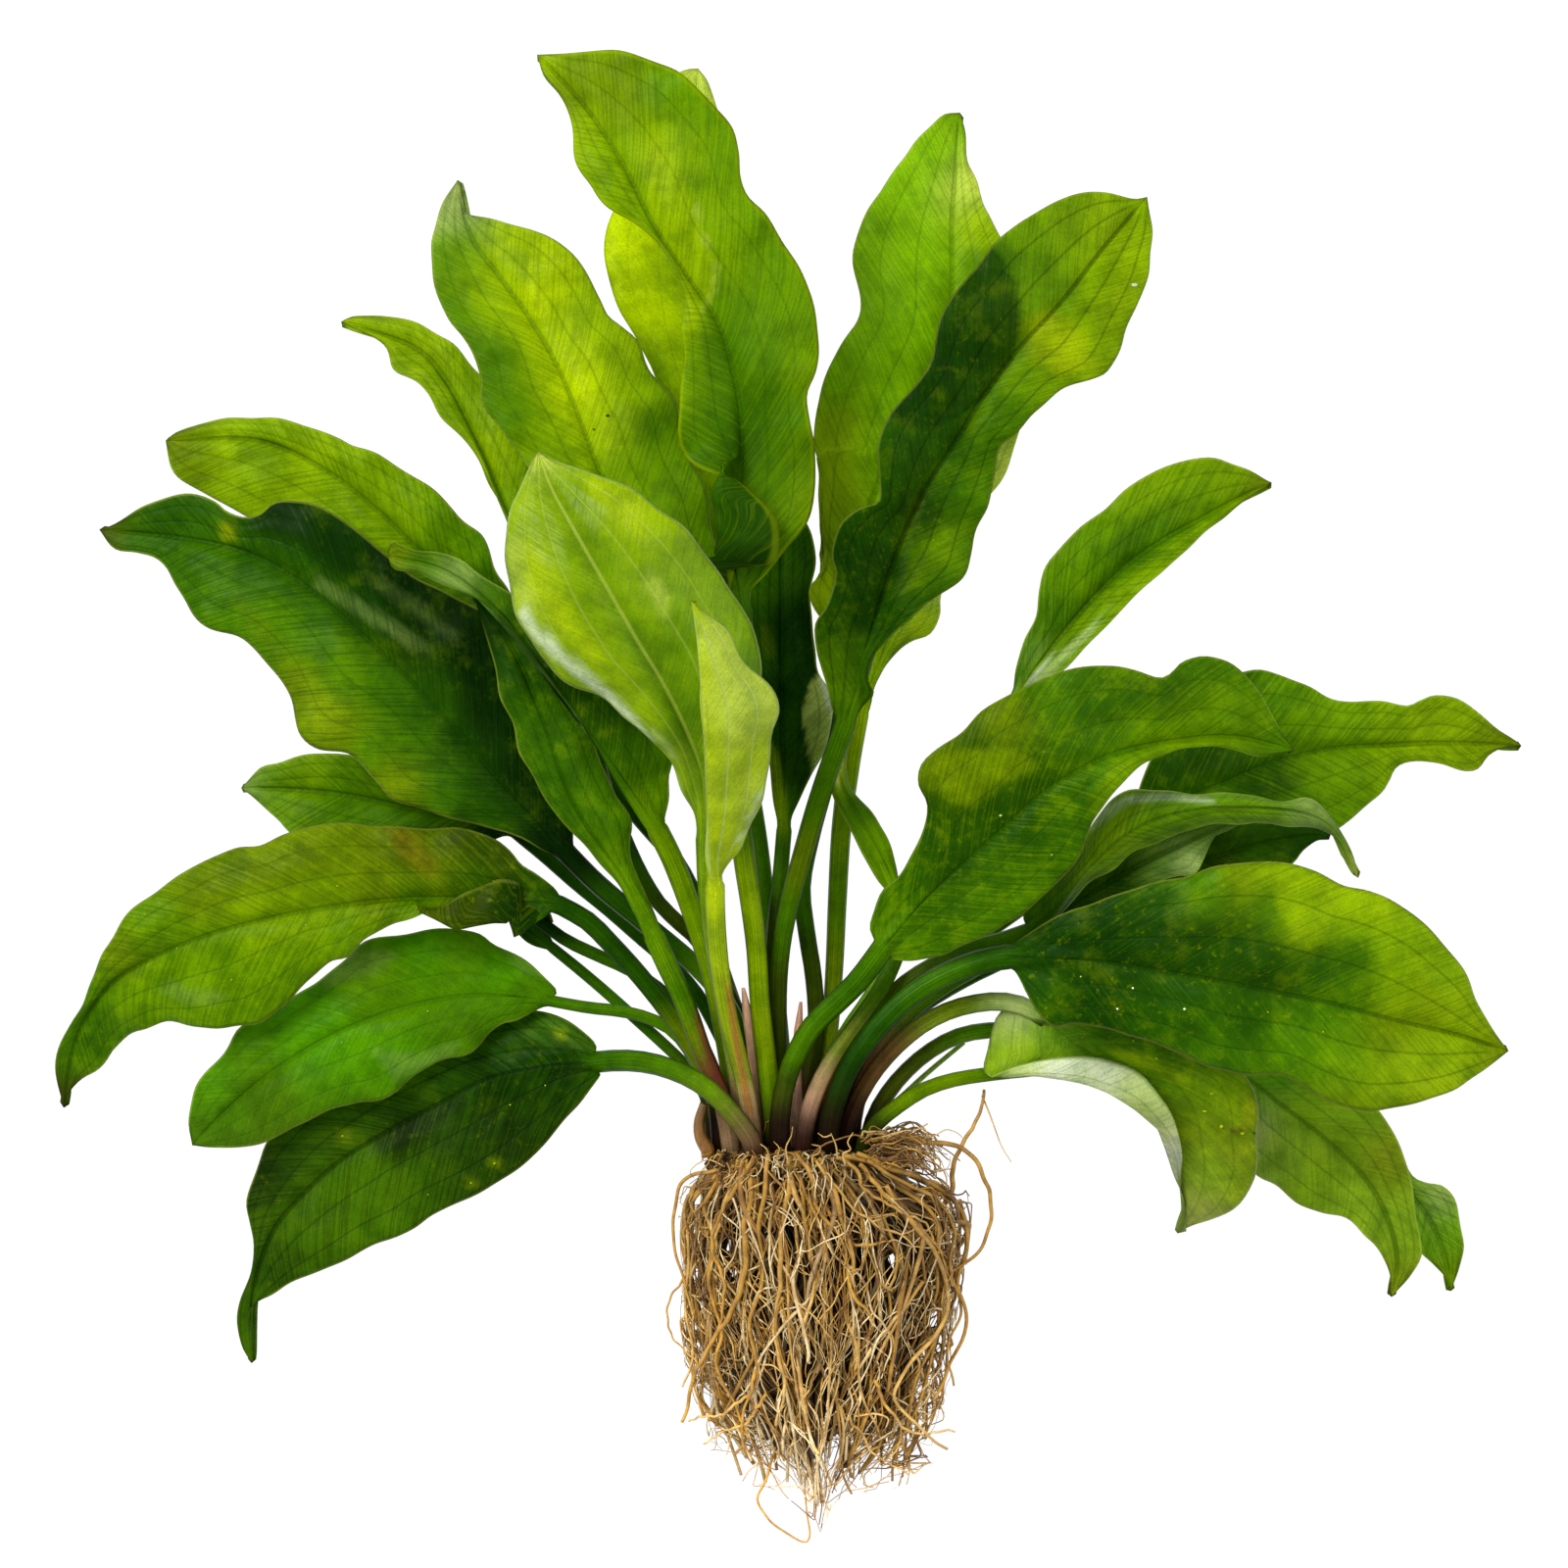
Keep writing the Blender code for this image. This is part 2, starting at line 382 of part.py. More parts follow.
        right=[(-63, 57), (-66, 60.5), (-70, 64), (-75, 67.5), (-79, 69.5), (-83, 72), (-90, 72.8),
               (-98, 72.3), (-106, 71), (-113, 69), (-118, 65), (-124, 60), (-130, 56.5),
               (-137, 51), (-143, 48), (-147, 43), (-152, 37), (-156, 30), (-157.5, 24)],
        lift_left=(0, -1, -1, 1, 0), lift_right=(0, -3, -4, -4, 0),
        arch=(2.0, 2.0),
    ),
    Leaf(
        "leaf_left_lowest", DARK, (2.3, 2.8),
        stalk=[(-12.2, 16.4), (-14, 20.5), (-19, 27), (-24, 32), (-30, 35.8), (-38, 38.6),
               (-46, 39.5), (-53, 39)],
        stalk_z=(58, 60.2, 59.5, 49, 36),
        rib=[(-53, 39), (-65, 38), (-80, 35), (-92, 29), (-105, 22), (-118, 14), (-128, 5),
             (-136, -5), (-141, -20), (-141.5, -38.5)],
        rib_z=(36, 27, 20, 11, 2),
        left=[(-52, 36), (-56, 30), (-61, 24), (-67, 17), (-74, 11), (-80, 7), (-88, 3),
              (-95, -0.5), (-100, -4), (-109, -7.5), (-118, -12), (-127, -16), (-135, -20),
              (-140, -23), (-142, -28), (-142.5, -34)],
        right=[(-53, 43), (-56, 46.5), (-61, 50), (-68, 52), (-78, 51.5), (-92, 49), (-106, 44),
               (-118, 37), (-128, 29), (-136, 20), (-139, 15), (-141.5, 9), (-142.8, 3), (-142, -2),
               (-141, -8), (-142, -15), (-144, -22), (-145, -28), (-144, -34)],
        lift_left=(0, 0, 1, 1, 0), lift_right=(0, -3, -3, 0, 0),
    ),
    Leaf(
        "leaf_front_pale_large", PALE, (2.2, 2.5),
        stalk=[(-15.6, 16.4), (-15.8, 24), (-16.6, 33), (-18.2, 44), (-20.3, 55), (-22.3, 66),
               (-23.8, 76), (-24.6, 86), (-25, 96)],
        stalk_z=(47.2, 51, 57, 66, 77),
        rib=[(-25, 96), (-26, 112), (-30, 124), (-36, 136), (-42, 146), (-50, 160), (-58, 174),
             (-64, 185), (-67.5, 194.5)],
        rib_z=(77, 92, 98, 98, 90),
        left=[(-26.5, 99), (-28, 103), (-31, 108), (-34, 114), (-37, 120), (-42, 125), (-48, 129),
              (-55, 133), (-62, 137), (-66, 142), (-71, 149), (-74.5, 158), (-76, 165), (-76, 172),
              (-74, 181), (-70, 190)],
        right=[(-19, 104), (-14, 114), (-11.5, 127), (-11, 139), (-12, 148), (-15, 154), (-19, 160),
               (-22, 165), (-26, 170), (-32, 176), (-38, 181), (-45, 185), (-53, 189), (-60, 191),
               (-65, 193)],
        lift_left=(0, -2, -5, -4, 0), lift_right=(0, -1, -3, -2, 0),
        arch=(3.0, 2.5),
    ),
    Leaf(
        "leaf_front_pale_small", PALE, (2.2, 2.5),
        stalk=[(-12.7, 16.4), (-13.1, 22), (-14.3, 30), (-16.6, 40), (-19.1, 50), (-21.2, 62),
               (-22.3, 74), (-22.5, 84)],
        stalk_z=(52.8, 59, 70, 86),
        rib=[(-22.5, 84), (-24.3, 94), (-25, 107), (-25.5, 120), (-26.3, 133), (-27.2, 146),
             (-28.5, 156.5)],
        rib_z=(86, 108, 118, 120),
        left=[(-23.5, 95), (-22.5, 108), (-21.5, 120), (-22.5, 133), (-25.5, 146)],
        right=[(-20, 85.5), (-18.5, 89), (-15, 96), (-12, 102), (-9, 112), (-7.5, 122), (-7, 129),
               (-9, 135), (-14, 140), (-18, 146), (-22, 151)],
        lift_left=(0, -7, -8, 0), lift_right=(0, -5, -6, 0),
        arch=(0.5, 2.5),
        bank=42,
    ),
    Leaf(
        "leaf_front_folded", BRIGHT, (2.1, 2.8),
        stalk=[(-17.4, 16.4), (-18, 28), (-19.4, 40), (-21.5, 52), (-24, 63), (-27, 73), (-30, 82),
               (-33.5, 91), (-37, 98)],
        stalk_z=(41.7, 45, 50, 57, 66),
        rib=[(-37, 98), (-45, 110), (-57, 127), (-68, 142), (-80, 156), (-92, 164.5), (-106, 168)],
        rib_z=(66, 77, 80, 77, 70),
        left=[(-40, 102), (-44, 110), (-49, 113.8), (-53, 121), (-60, 132), (-65, 142), (-70, 147),
              (-75, 151), (-82, 156), (-90, 160), (-98, 163.5), (-104, 164.5)],
        right=[(-33, 103), (-33.8, 110), (-34, 118), (-40, 130), (-50, 142), (-62, 151), (-74, 158),
               (-82, 163), (-87, 167), (-93, 169), (-98, 169.3), (-102, 170.5), (-105, 172)],
        lift_left=(0, -2, -1, 0), lift_right=(0, -3, -2, 2, 0),
        arch=(1.0, 1.0),
    ),
    Leaf(
        "leaf_front_dark", DARK, (2.2, 2.8),
        stalk=[(-18.2, 16.4), (-20, 27), (-23, 35), (-26, 42), (-28.6, 49.5), (-31.5, 57),
               (-35, 64.5), (-38.5, 72), (-42.5, 80), (-46, 86)],
        stalk_z=(53, 54, 56, 58, 61),
        rib=[(-46, 86), (-51, 93), (-57, 102), (-62, 113), (-66, 125), (-71, 138), (-77, 149),
             (-84, 158)],
        rib_z=(61, 65, 66, 65, 62),
        left=[(-52, 92), (-60, 99), (-67, 107), (-72, 118), (-76, 130), (-80, 144)],
        right=[(-43, 89), (-44, 95), (-45, 102), (-48, 108), (-51, 115), (-55, 125), (-60, 132),
               (-65, 140), (-72, 148)],
        lift_left=(0, -3, -4, -2, 0), lift_right=(0, -2, -3, -1, 0),
        arch=(1.0, 1.5),
    ),
    Leaf(
        "leaf_inner_narrow", PALE, (1.7, 1.8),
        stalk=[(0.5, 16.4), (1.2, 24), (3.5, 32), (7, 40), (11.5, 48), (17, 56), (21.5, 65),
               (24.5, 74), (24, 82)],
        stalk_z=(46.3, 46.5, 47.5, 49, 51),
        rib=[(24, 82), (19, 94), (13, 104), (9.3, 112), (9.3, 120), (11.5, 129), (16, 140)],
        rib_z=(51, 52, 52.5, 53),
        left=[(20, 84), (15, 92), (11, 100), (7.2, 107), (6.3, 115), (7.2, 123), (11, 133)],
        right=[(24, 87), (22, 95), (19, 101), (14, 106), (11.2, 110), (11.3, 116), (12.5, 124),
               (15, 133)],
        lift_left=(0, 1, 1, 0), lift_right=(0, -2, -2, 0),
        arch=(0.6, 0.6),
    ),
    Leaf(
        "leaf_center_dark", DARK, (1.8, 2.0),
        stalk=[(-7.1, 16.4), (-7.6, 32), (-7.8, 46), (-8, 60), (-7.4, 74), (-6, 86), (-5, 98)],
        stalk_z=(41.2, 40, 38, 36),
        rib=[(-5, 98), (-5, 110), (-5.5, 125), (-5.5, 140), (-5.5, 155), (-5.5, 168), (-3.5, 182)],
        rib_z=(36, 36, 35, 33),
        left=[(-7.5, 104), (-9, 116), (-11, 130), (-13, 145), (-14, 158), (-11, 170)],
        right=[(-2, 104), (1.5, 114), (3.5, 119), (6.3, 126), (6.7, 130), (4.3, 137), (3.5, 143),
               (2.5, 150), (2, 158), (3, 168), (1, 176)],
        lift_left=(0, 1, 1, 0), lift_right=(0, 2, 0, 0),
        arch=(1.0, 1.0),
    ),
    Leaf(
        "leaf_upper_right_hidden", PALE, (1.9, 2.7),
        stalk=[(4, 16.4), (5.2, 32), (6.8, 48), (7.9, 64), (8.6, 80), (9.6, 98), (11.6, 114),
               (14, 128)],
        stalk_z=(40.7, 38.5, 38.5, 40, 43),
        rib=[(14, 128), (19, 140), (25, 155), (32, 170), (40, 185), (48, 200), (58, 214)],
        rib_z=(43, 48, 53, 54),
        left=[(13, 138), (16, 152), (22, 168), (30, 183), (39, 197), (49, 208)],
        right=[(16.3, 131), (19, 137), (23, 142.5), (28, 147), (32.5, 149.5), (35, 153.5),
               (35.5, 158), (39, 167), (44, 178), (49.5, 187), (52.5, 192), (54.5, 197.5),
               (57, 206)],
        lift_left=(0, 1, 1, 0), lift_right=(0, -2, -1, 0),
        arch=(1.0, 1.0),
    ),
    Leaf(
        "leaf_left_under_small", MIDDLE, (1.5, 1.4),
        stalk=[(-21, 16.4), (-22, 22), (-24.2, 28), (-27, 34), (-31, 39), (-36, 43.8), (-42, 49.2),
               (-49, 55.5), (-56, 61.5), (-64, 68)],
        stalk_z=(36.6, 35, 32, 29, 27),
        rib=[(-64, 68), (-70, 72.5), (-78, 78), (-88, 82), (-101, 84)],
        rib_z=(27, 25, 22),
        left=[(-67, 68), (-70.5, 69.3), (-73, 71.8), (-76, 76), (-85, 78.5), (-94, 80.5)],
        right=[(-65, 71.5), (-70, 78), (-79, 85), (-90, 87.5)],
        lift_left=(0, -1, 0), lift_right=(0, 1, 0),
        arch=(0.6, 0.6),
    ),
    Leaf(
        "leaf_left_under_narrow", MIDDLE, (1.6, 1.6),
        stalk=[(-17.6, 16.4), (-18.6, 24), (-21, 32), (-24.2, 40), (-28, 47.5), (-33, 54),
               (-39, 59.3), (-46, 63.3), (-53, 66.4), (-61, 70.3), (-68, 75.5)],
        stalk_z=(30.8, 31, 32, 33, 34),
        rib=[(-68, 75.5), (-78, 81), (-90, 85), (-104, 86.5), (-118, 85)],
        rib_z=(34, 34, 32),
        left=[(-73, 77.5), (-84, 80), (-98, 81.5)],
        right=[(-64.6, 73.7), (-64.2, 76), (-69, 83), (-80, 90), (-97, 92)],
        lift_left=(0, -1, 0), lift_right=(0, 0, 0),
        arch=(0.6, 0.6),
    ),
]

# Thin pieces at the crown: name, colour, centre line (x, y, z), radius at the foot and tip
SHOOTS = [
    ("bare_stalk", (0.42, 0.45, 0.08), 0.9, 0.6,
     [(14.8, 16.4, 40.5), (16.5, 21, 38), (20.5, 26, 34), (26, 31, 31.5), (32, 36.5, 30.5), (41, 44, 30.5)]),
    ("young_shoot", (0.55, 0.32, 0.22), 1.1, 0.25,
     [(-1.6, 16.4, 51.6), (-1.8, 26, 52.5), (-1.9, 38, 53), (-1.3, 47, 53.2), (-0.7, 54.5, 53.2)]),
    ("pink_shoot", (0.60, 0.30, 0.22), 1.1, 0.3,
     [(-10.6, 16.4, 47), (-11.2, 28, 49), (-12.6, 40, 51.5), (-14.1, 50, 53.5), (-15.4, 58, 55.5)]),
    ("dry_sheath", (0.20, 0.09, 0.03), 1.2, 0.4,
     [(-24.2, 16.4, 49.8), (-26.2, 20, 50.8), (-26.6, 24, 51.8), (-25.4, 28.5, 52.8)]),
]

# The root ball seen from above: how far the roots reach down at each x
ROOT_TIPS = [(-33, -46), (-28, -54), (-24, -58), (-19, -58), (-15, -66), (-9, -66), (-4, -69),
             (1, -73), (4, -78), (8, -73), (14, -68), (20, -67), (26, -66), (31, -60), (36, -60), (42, -40)]
# Share of the way down, centre x and half width
ROOT_WIDTHS = [(0.0, 3, 27), (0.06, 4.5, 34), (0.16, 5.5, 36.5), (0.33, 5.5, 36), (0.5, 5, 35.5),
               (0.68, 4, 34.5), (0.85, 4, 33.5), (1.0, 4.5, 28)]
# Loose roots that stand clear of the ball
STRANDS = [
    (0.8, [(30, -2, 40), (37.5, 6, 42), (38.3, 12, 43), (40, 17.5, 43), (43.5, 23, 42), (45.8, 28, 41),
           (45.9, 31.5, 39.5)]),
    (0.7, [(31, 12, 44), (37, 16.8, 46), (42, 15.5, 46), (46, 10.5, 44), (47.7, 4.5, 41), (47.2, -3, 38),
           (44, -10, 36), (36, -16, 34)]),
    (0.8, [(-24, 2, 44), (-30, 9.5, 46), (-33, 4, 45), (-33.2, -4, 43), (-31.5, -14, 40), (-28, -26, 36)]),
    (0.6, [(-27, -10, 30), (-32.5, -19, 29), (-35, -26, 28), (-33, -32, 27), (-27, -38, 27)]),
    (0.6, [(-6, -56, 10), (-9, -67, 9), (-12, -73, 8), (-9.5, -77.5, 7), (-5, -81, 6.5), (0.5, -84.3, 6),
           (1.2, -79, 6), (0.5, -70, 6.5), (1, -60, 8)]),
]
SHOULDER = ((30.5, 13.5, 32), (10.5, 7, 12))


def clear_scene():
    for item in list(bpy.data.objects):
        bpy.data.objects.remove(item, do_unlink=True)


def make_material(name, colour, roughness):
    material = bpy.data.materials.new(name)
    material.use_nodes = True
    shader = material.node_tree.nodes["Principled BSDF"]
    shader.inputs["Base Color"].default_value = (*colour, 1.0)
    shader.inputs["Roughness"].default_value = roughness
    shader.inputs["Metallic"].default_value = 0.0
    return material


def smooth_line(points):
    """A dense polyline on the Catmull-Rom curve through the points."""
    p = np.array(points, float)
    p = np.vstack([2 * p[0] - p[1], p, 2 * p[-1] - p[-2]])
    t = np.linspace(0, 1, CURVE_STEPS, endpoint=False)[:, None]
    spans = []
    for a, b, c, d in zip(p, p[1:], p[2:], p[3:]):
        spans.append(0.5 * (2 * b + (c - a) * t + (2 * a - 5 * b + 4 * c - d) * t**2
                            + (3 * b - a - 3 * c + d) * t**3))
    return np.vstack(spans + [p[-2:-1]])


def along(line, shares):
    """Points at the given shares of a polyline's length, measured in X and Y."""
    steps = np.linalg.norm(np.diff(line[:, :2], axis=0), axis=1)
    reached = np.concatenate([[0], np.cumsum(steps)])
    reached /= reached[-1]
    return np.column_stack([np.interp(shares, reached, axis) for axis in line.T])


def profile(values, shares):
    """Values spread evenly over 0..1, read smoothly at the given shares."""
    knots = smooth_line([(10 * i / (len(values) - 1), value) for i, value in enumerate(values)])
    return np.interp(shares, knots[:, 0] / 10, knots[:, 1])


def unit(vectors):
    return vectors / np.linalg.norm(vectors, axis=-1, keepdims=True)


def smooth_step(x):
    x = np.clip(x, 0, 1)
    return x * x * (3 - 2 * x)


def roll_reach(roll, shares):
    """How far the fold reaches beyond the margin, 0 outside its stretch."""
    if roll is None:
        return np.zeros_like(shares)
    start, end, reach, _ = roll
    half = (end - start) / 2
    return reach * smooth_step(1.35 * (1 - np.abs(shares - start - half) / half))


def directions(line):
    """The unit direction of a polyline at each of its points."""
    steps = unit(np.diff(line, axis=0))
    return unit(np.vstack([steps[:1], steps[:-1] + steps[1:], steps[-1:]]))


def half_blade(leaf, side, shares, frame, spans):
    """The margin of one half blade, and the points between midrib and margin over and under
    it. Each section is a quadratic curve whose middle is raised by the arch, or thrown past
    the margin where the blade is rolled. Side is 1 for the left half and -1 for the right."""
    rib, top, tangent, flat, up = frame
    edge, lifts, roll = (leaf.left, leaf.lift_left, leaf.roll_left)
    arch = leaf.arch[0]
    if side < 0:
        edge, lifts, roll = (leaf.right, leaf.lift_right, leaf.roll_right)
        arch = leaf.arch[1]
    outward = side * flat
    margin = along(smooth_line([leaf.rib[0], *edge, leaf.rib[-1]]), shares)
    margin += outward[:, :2] * (leaf.radius[1] * np.clip(1 - shares / FOOT_SHARE, 0, 1))[:, None]
    margin = np.column_stack([margin, rib[:, 2] + profile(lifts, shares)])
    reach = roll_reach(roll, shares)
    over = np.sum((margin - top)[:, :2] * outward[:, :2], axis=1)
    fold = np.maximum(over + reach, 0)
    far = fold + np.sqrt(fold * reach)
    blend = smooth_step(reach / ROLL_BLEND)[:, None]
    middle = (top + margin) / 2
    rolled = top + outward * far[:, None]
    rolled[:, 2] = middle[:, 2]
    control = middle + (rolled - middle) * blend
    control[:, 2] += 2 * arch * np.sin(np.pi * shares) ** 0.6
    if roll is not None:
        control[:, 2] += 2 * roll[3] * blend[:, 0]
    foot = np.clip(1 - shares / FOOT_SHARE, 0, 1)[:, None]
    depth = rib_depth(leaf, shares)[:, None]
    over_points, under_points = [], []
    for t in np.arange(1, spans) / spans:
        point = (1 - t) ** 2 * top + 2 * t * (1 - t) * control + t**2 * margin
        slope = (1 - t) * (control - top) + t * (margin - control)
        normal = unit(side * np.cross(tangent, slope))
        inward = unit(normal * (1 - foot) + up * foot)
        share = (1 - t) ** (4 - 3 * foot)
        over_points.append(point)
        under_points.append(point - inward * (BLADE_THICKNESS + (depth - BLADE_THICKNESS) * share))
    return margin, over_points, under_points


def rib_depth(leaf, shares):
    """How deep the leaf is under its midrib: the stalk's thickness, fading to the rib's."""
    fade = np.clip(1 - shares / 0.4, 0, 1) ** 1.3
    return RIB_THICKNESS + (2 * leaf.radius[1] - RIB_THICKNESS) * fade


def leaf_rings(leaf, spans, stalk_rings, blade_rings):
    """Rings of points from the stalk's foot to the tip. A ring starts at the left margin, runs
    over the top to the right margin and comes back under the blade."""
    stalk_shares = np.linspace(0, 1, stalk_rings, endpoint=False)
    stalk = along(smooth_line(leaf.stalk), stalk_shares)
    stalk = np.column_stack([stalk, profile(leaf.stalk_z, stalk_shares)])
    shares = np.append(np.linspace(0, 1, blade_rings, endpoint=False), LAST_SHARE)
    rib = along(smooth_line(leaf.rib), shares)
    rib = np.column_stack([rib, profile(leaf.rib_z, shares)])
    tangent = directions(np.vstack([stalk, rib]))
    tangent[0] = (0, 1, 0)
    flat = unit(np.column_stack([-tangent[:, 1], tangent[:, 0], np.zeros(len(tangent))]))
    up = np.cross(tangent, flat)

    rings = []
    angles = np.arange(4 * spans) * np.pi / (2 * spans)
    for i, share in enumerate(stalk_shares):
        radius = leaf.radius[0] + (leaf.radius[1] - leaf.radius[0]) * share
        ring = [np.cos(angle) * flat[i] + np.sin(angle) * up[i] for angle in angles]
        rings.append([stalk[i] + radius * offset for offset in ring])

    tangent, flat, up = tangent[stalk_rings:], flat[stalk_rings:], up[stalk_rings:]
    bank = np.radians(leaf.bank) * smooth_step(shares / BANK_SHARE)[:, None]
    flat, up = flat * np.cos(bank) - up * np.sin(bank), up * np.cos(bank) + flat * np.sin(bank)
    top = rib + up * (leaf.radius[1] * np.clip(1 - shares / 0.25, 0, 1) ** 1.5)[:, None]
    under = top - up * rib_depth(leaf, shares)[:, None]
    frame = (rib, top, tangent, flat, up)
    left, left_over, left_under = half_blade(leaf, 1, shares, frame, spans)
    right, right_over, right_under = half_blade(leaf, -1, shares, frame, spans)
    for i in range(len(shares)):
        ring = [left[i]]
        ring += [points[i] for points in reversed(left_over)]
        ring += [top[i]]
        ring += [points[i] for points in right_over]
        ring += [right[i]]
        ring += [points[i] for points in reversed(right_under)]
        ring += [under[i]]
        ring += [points[i] for points in left_under]
        rings.append(ring)
    tip = np.append(leaf.rib[-1], leaf.rib_z[-1])
    return rings, tip


def leaf_faces(count, size, tip):
    """Triangles over the rings, mirrored about the midrib and between top and underside, so
    that a twisted blade keeps its thickness."""
    quarter = size // 4
    faces = [tuple(reversed(range(size)))]
    for i in range(count - 1):
        for k in range(size):
            a, b = i * size + k, i * size + (k + 1) % size
            c, d = b + size, a + size
            faces += [(a, b, c), (a, c, d)] if k // quarter in (0, 2) else [(a, b, d), (b, c, d)]
    last = (count - 1) * size
    faces += [(last + k, last + (k + 1) % size, tip) for k in range(size)]
    return faces


def add_object(name, points, faces, material):
    mesh = bpy.data.meshes.new(name)
    mesh.from_pydata([Vector(p) * MM for p in points], [], faces)
    mesh.shade_smooth()
    mesh.set_sharp_from_angle(angle=SHARP_ANGLE)
    item = bpy.data.objects.new(name, mesh)
    bpy.context.collection.objects.link(item)
    if material is not None:
        mesh.materials.append(material)
    return item


def add_leaf(leaf):
    spans = 3 if leaf.roll_left or leaf.roll_right else 2
    length = np.linalg.norm(np.diff(np.array(leaf.rib), axis=0), axis=1).sum()
    blade_rings = int(np.clip(round(length / RING_SPACING), 4, 11))
    rings, tip = leaf_rings(leaf, spans, STALK_RINGS, blade_rings)
    points = [point for ring in rings for point in ring] + [tip]
    faces = leaf_faces(len(rings), len(rings[0]), len(points) - 1)
    return add_object(leaf.name, points, faces, make_material(leaf.name, *leaf.tone))


def tube(centres, radii, sides):
    """Points and faces of a round bar along the centres, closed at both ends."""
    centres = np.array(centres, float)
    forward = directions(centres)
    side = unit(np.cross(forward, np.roll(forward, 1, axis=1) + (0.1, 0.2, 0.7)))
    for i in range(1, len(side)):
        side[i] = unit(side[i - 1] - forward[i] * np.dot(side[i - 1], forward[i]))
    other = np.cross(forward, side)
    angles = np.arange(sides) * 2 * np.pi / sides
    points = []
    for centre, radius, u, v in zip(centres, radii, side, other):
        points += [centre + radius * (np.cos(a) * u + np.sin(a) * v) for a in angles]
    faces = [tuple(reversed(range(sides)))]
    for i in range(len(centres) - 1):
        for k in range(sides):
            a, b = i * sides + k, i * sides + (k + 1) % sides
            faces.append((a, b, b + sides, a + sides))
    last = (len(centres) - 1) * sides
    faces.append(tuple(range(last, last + sides)))
    return points, faces


def add_shoot(name, colour, foot_radius, tip_radius, line):
    centres = along_space(smooth_line(line), np.linspace(0, 1, 7))
    radii = np.linspace(foot_radius, tip_radius, len(centres))
    points, faces = tube(centres, radii, 8)
    for i in range(8):
        points[i][1] = line[0][1]
    return add_object(name, points, faces, make_material(name, colour, 0.45))


def along_space(line, shares):
    """Points at the given shares of a polyline's length in space."""
    steps = np.linalg.norm(np.diff(line, axis=0), axis=1)
    reached = np.concatenate([[0], np.cumsum(steps)]) / steps.sum()
    return np.column_stack([np.interp(shares, reached, axis) for axis in line.T])


def add_rhizome():
    """A short thick disc of old crown tissue, lofted along Y with rounded rims."""
    back = CROWN_TOP_Y - CROWN_DEPTH
    rims = [(back, 0.86), (back + 1.2, 0.97), (back + 3.0, 1.0)]
    stations = [*rims, (CROWN_TOP_Y - 1.0, 0.99), (CROWN_TOP_Y, 0.93)]
    sides = 24
    points = []
    for y, scale in stations:
        for k in range(sides):
            angle = 2 * np.pi * k / sides
            x = CROWN_CENTER[0] + CROWN_HALF[0] * scale * np.cos(angle)
            z = CROWN_CENTER[1] + CROWN_HALF[1] * scale * np.sin(angle)
            points.append((x, y, z))
    faces = [tuple(range(sides))]
    for i in range(len(stations) - 1):
        for k in range(sides):
            a, b = i * sides + k, i * sides + (k + 1) % sides
            faces.append((a, a + sides, b + sides, b))
    last = (len(stations) - 1) * sides
    faces.append(tuple(reversed(range(last, last + sides))))
    return add_object("rhizome", points, faces, make_material("rhizome", (0.10, 0.05, 0.02), 0.6))


def add_root_ball():
    """The tangle of roots as one body: a flattened, fluted bag that lies flat on the surface,
    with the loose roots that stand clear of it joined on."""
    sides = 28
    tips = np.array(ROOT_TIPS, float)
    points = []
    for share, centre, half in ROOT_WIDTHS:
        middle = ROOT_MIDDLE * (1 - share) + ROOT_END_DEPTH * share
        shoulder = 0.72 + 0.28 * min(1, share / 0.06)
        depth = ROOT_HALF_DEPTH * (1 - share**2.2) * shoulder + ROOT_END_DEPTH
        for k in range(sides):
            angle = 2 * np.pi * k / sides
            flute = 1 + (0.03 if k % 2 else -0.03)
            x = centre + half * flute * np.cos(angle)
            z = max(0.0, middle + depth * flute * np.sin(angle))
            reach = np.interp(x, tips[:, 0], tips[:, 1])
            points.append((x, ROOT_TOP_Y + (reach - ROOT_TOP_Y) * share, z))
    faces = [tuple(reversed(range(sides)))]
    rings = len(ROOT_WIDTHS)
    for i in range(rings - 1):
        for k in range(sides):
            a, b = i * sides + k, i * sides + (k + 1) % sides
            faces.append((a, b, b + sides, a + sides))
    end = len(points)
    last = (rings - 1) * sides
    points.append(np.mean(points[last:], axis=0))
    faces += [(last + k, last + (k + 1) % sides, end) for k in range(sides)]
    material = make_material("root_ball", (0.35, 0.20, 0.07), 0.7)
    ball = add_object("root_ball", points, faces, material)

    pieces = []
    for i, (radius, line) in enumerate(STRANDS):
        centres = along_space(smooth_line(line), np.linspace(0, 1, STRAND_RINGS))
        bar = tube(centres, [radius] * STRAND_RINGS, 6)
        pieces.append(add_object(f"loose_root_{i + 1}", *bar, None))
    centre, radii = SHOULDER
    mesh = bpy.data.meshes.new("root_shoulder")
    form = bmesh.new()
    bmesh.ops.create_icosphere(form, subdivisions=2, radius=1.0)
    for vertex in form.verts:
        vertex.co = Vector([(c + r * v) * MM for c, r, v in zip(centre, radii, vertex.co)])
    form.to_mesh(mesh)
    form.free()
    pieces.append(bpy.data.objects.new("root_shoulder", mesh))
    bpy.context.collection.objects.link(pieces[-1])
    for piece in pieces:
        piece.hide_render = True
        piece.display_type = "WIRE"
        union = ball.modifiers.new(piece.name, "BOOLEAN")
        union.operation = "UNION"
        union.solver = "EXACT"
        union.object = piece
    return ball


clear_scene()
add_rhizome()
for leaf in LEAVES:
    add_leaf(leaf)
for shoot in SHOOTS:
    add_shoot(*shoot)
add_root_ball()
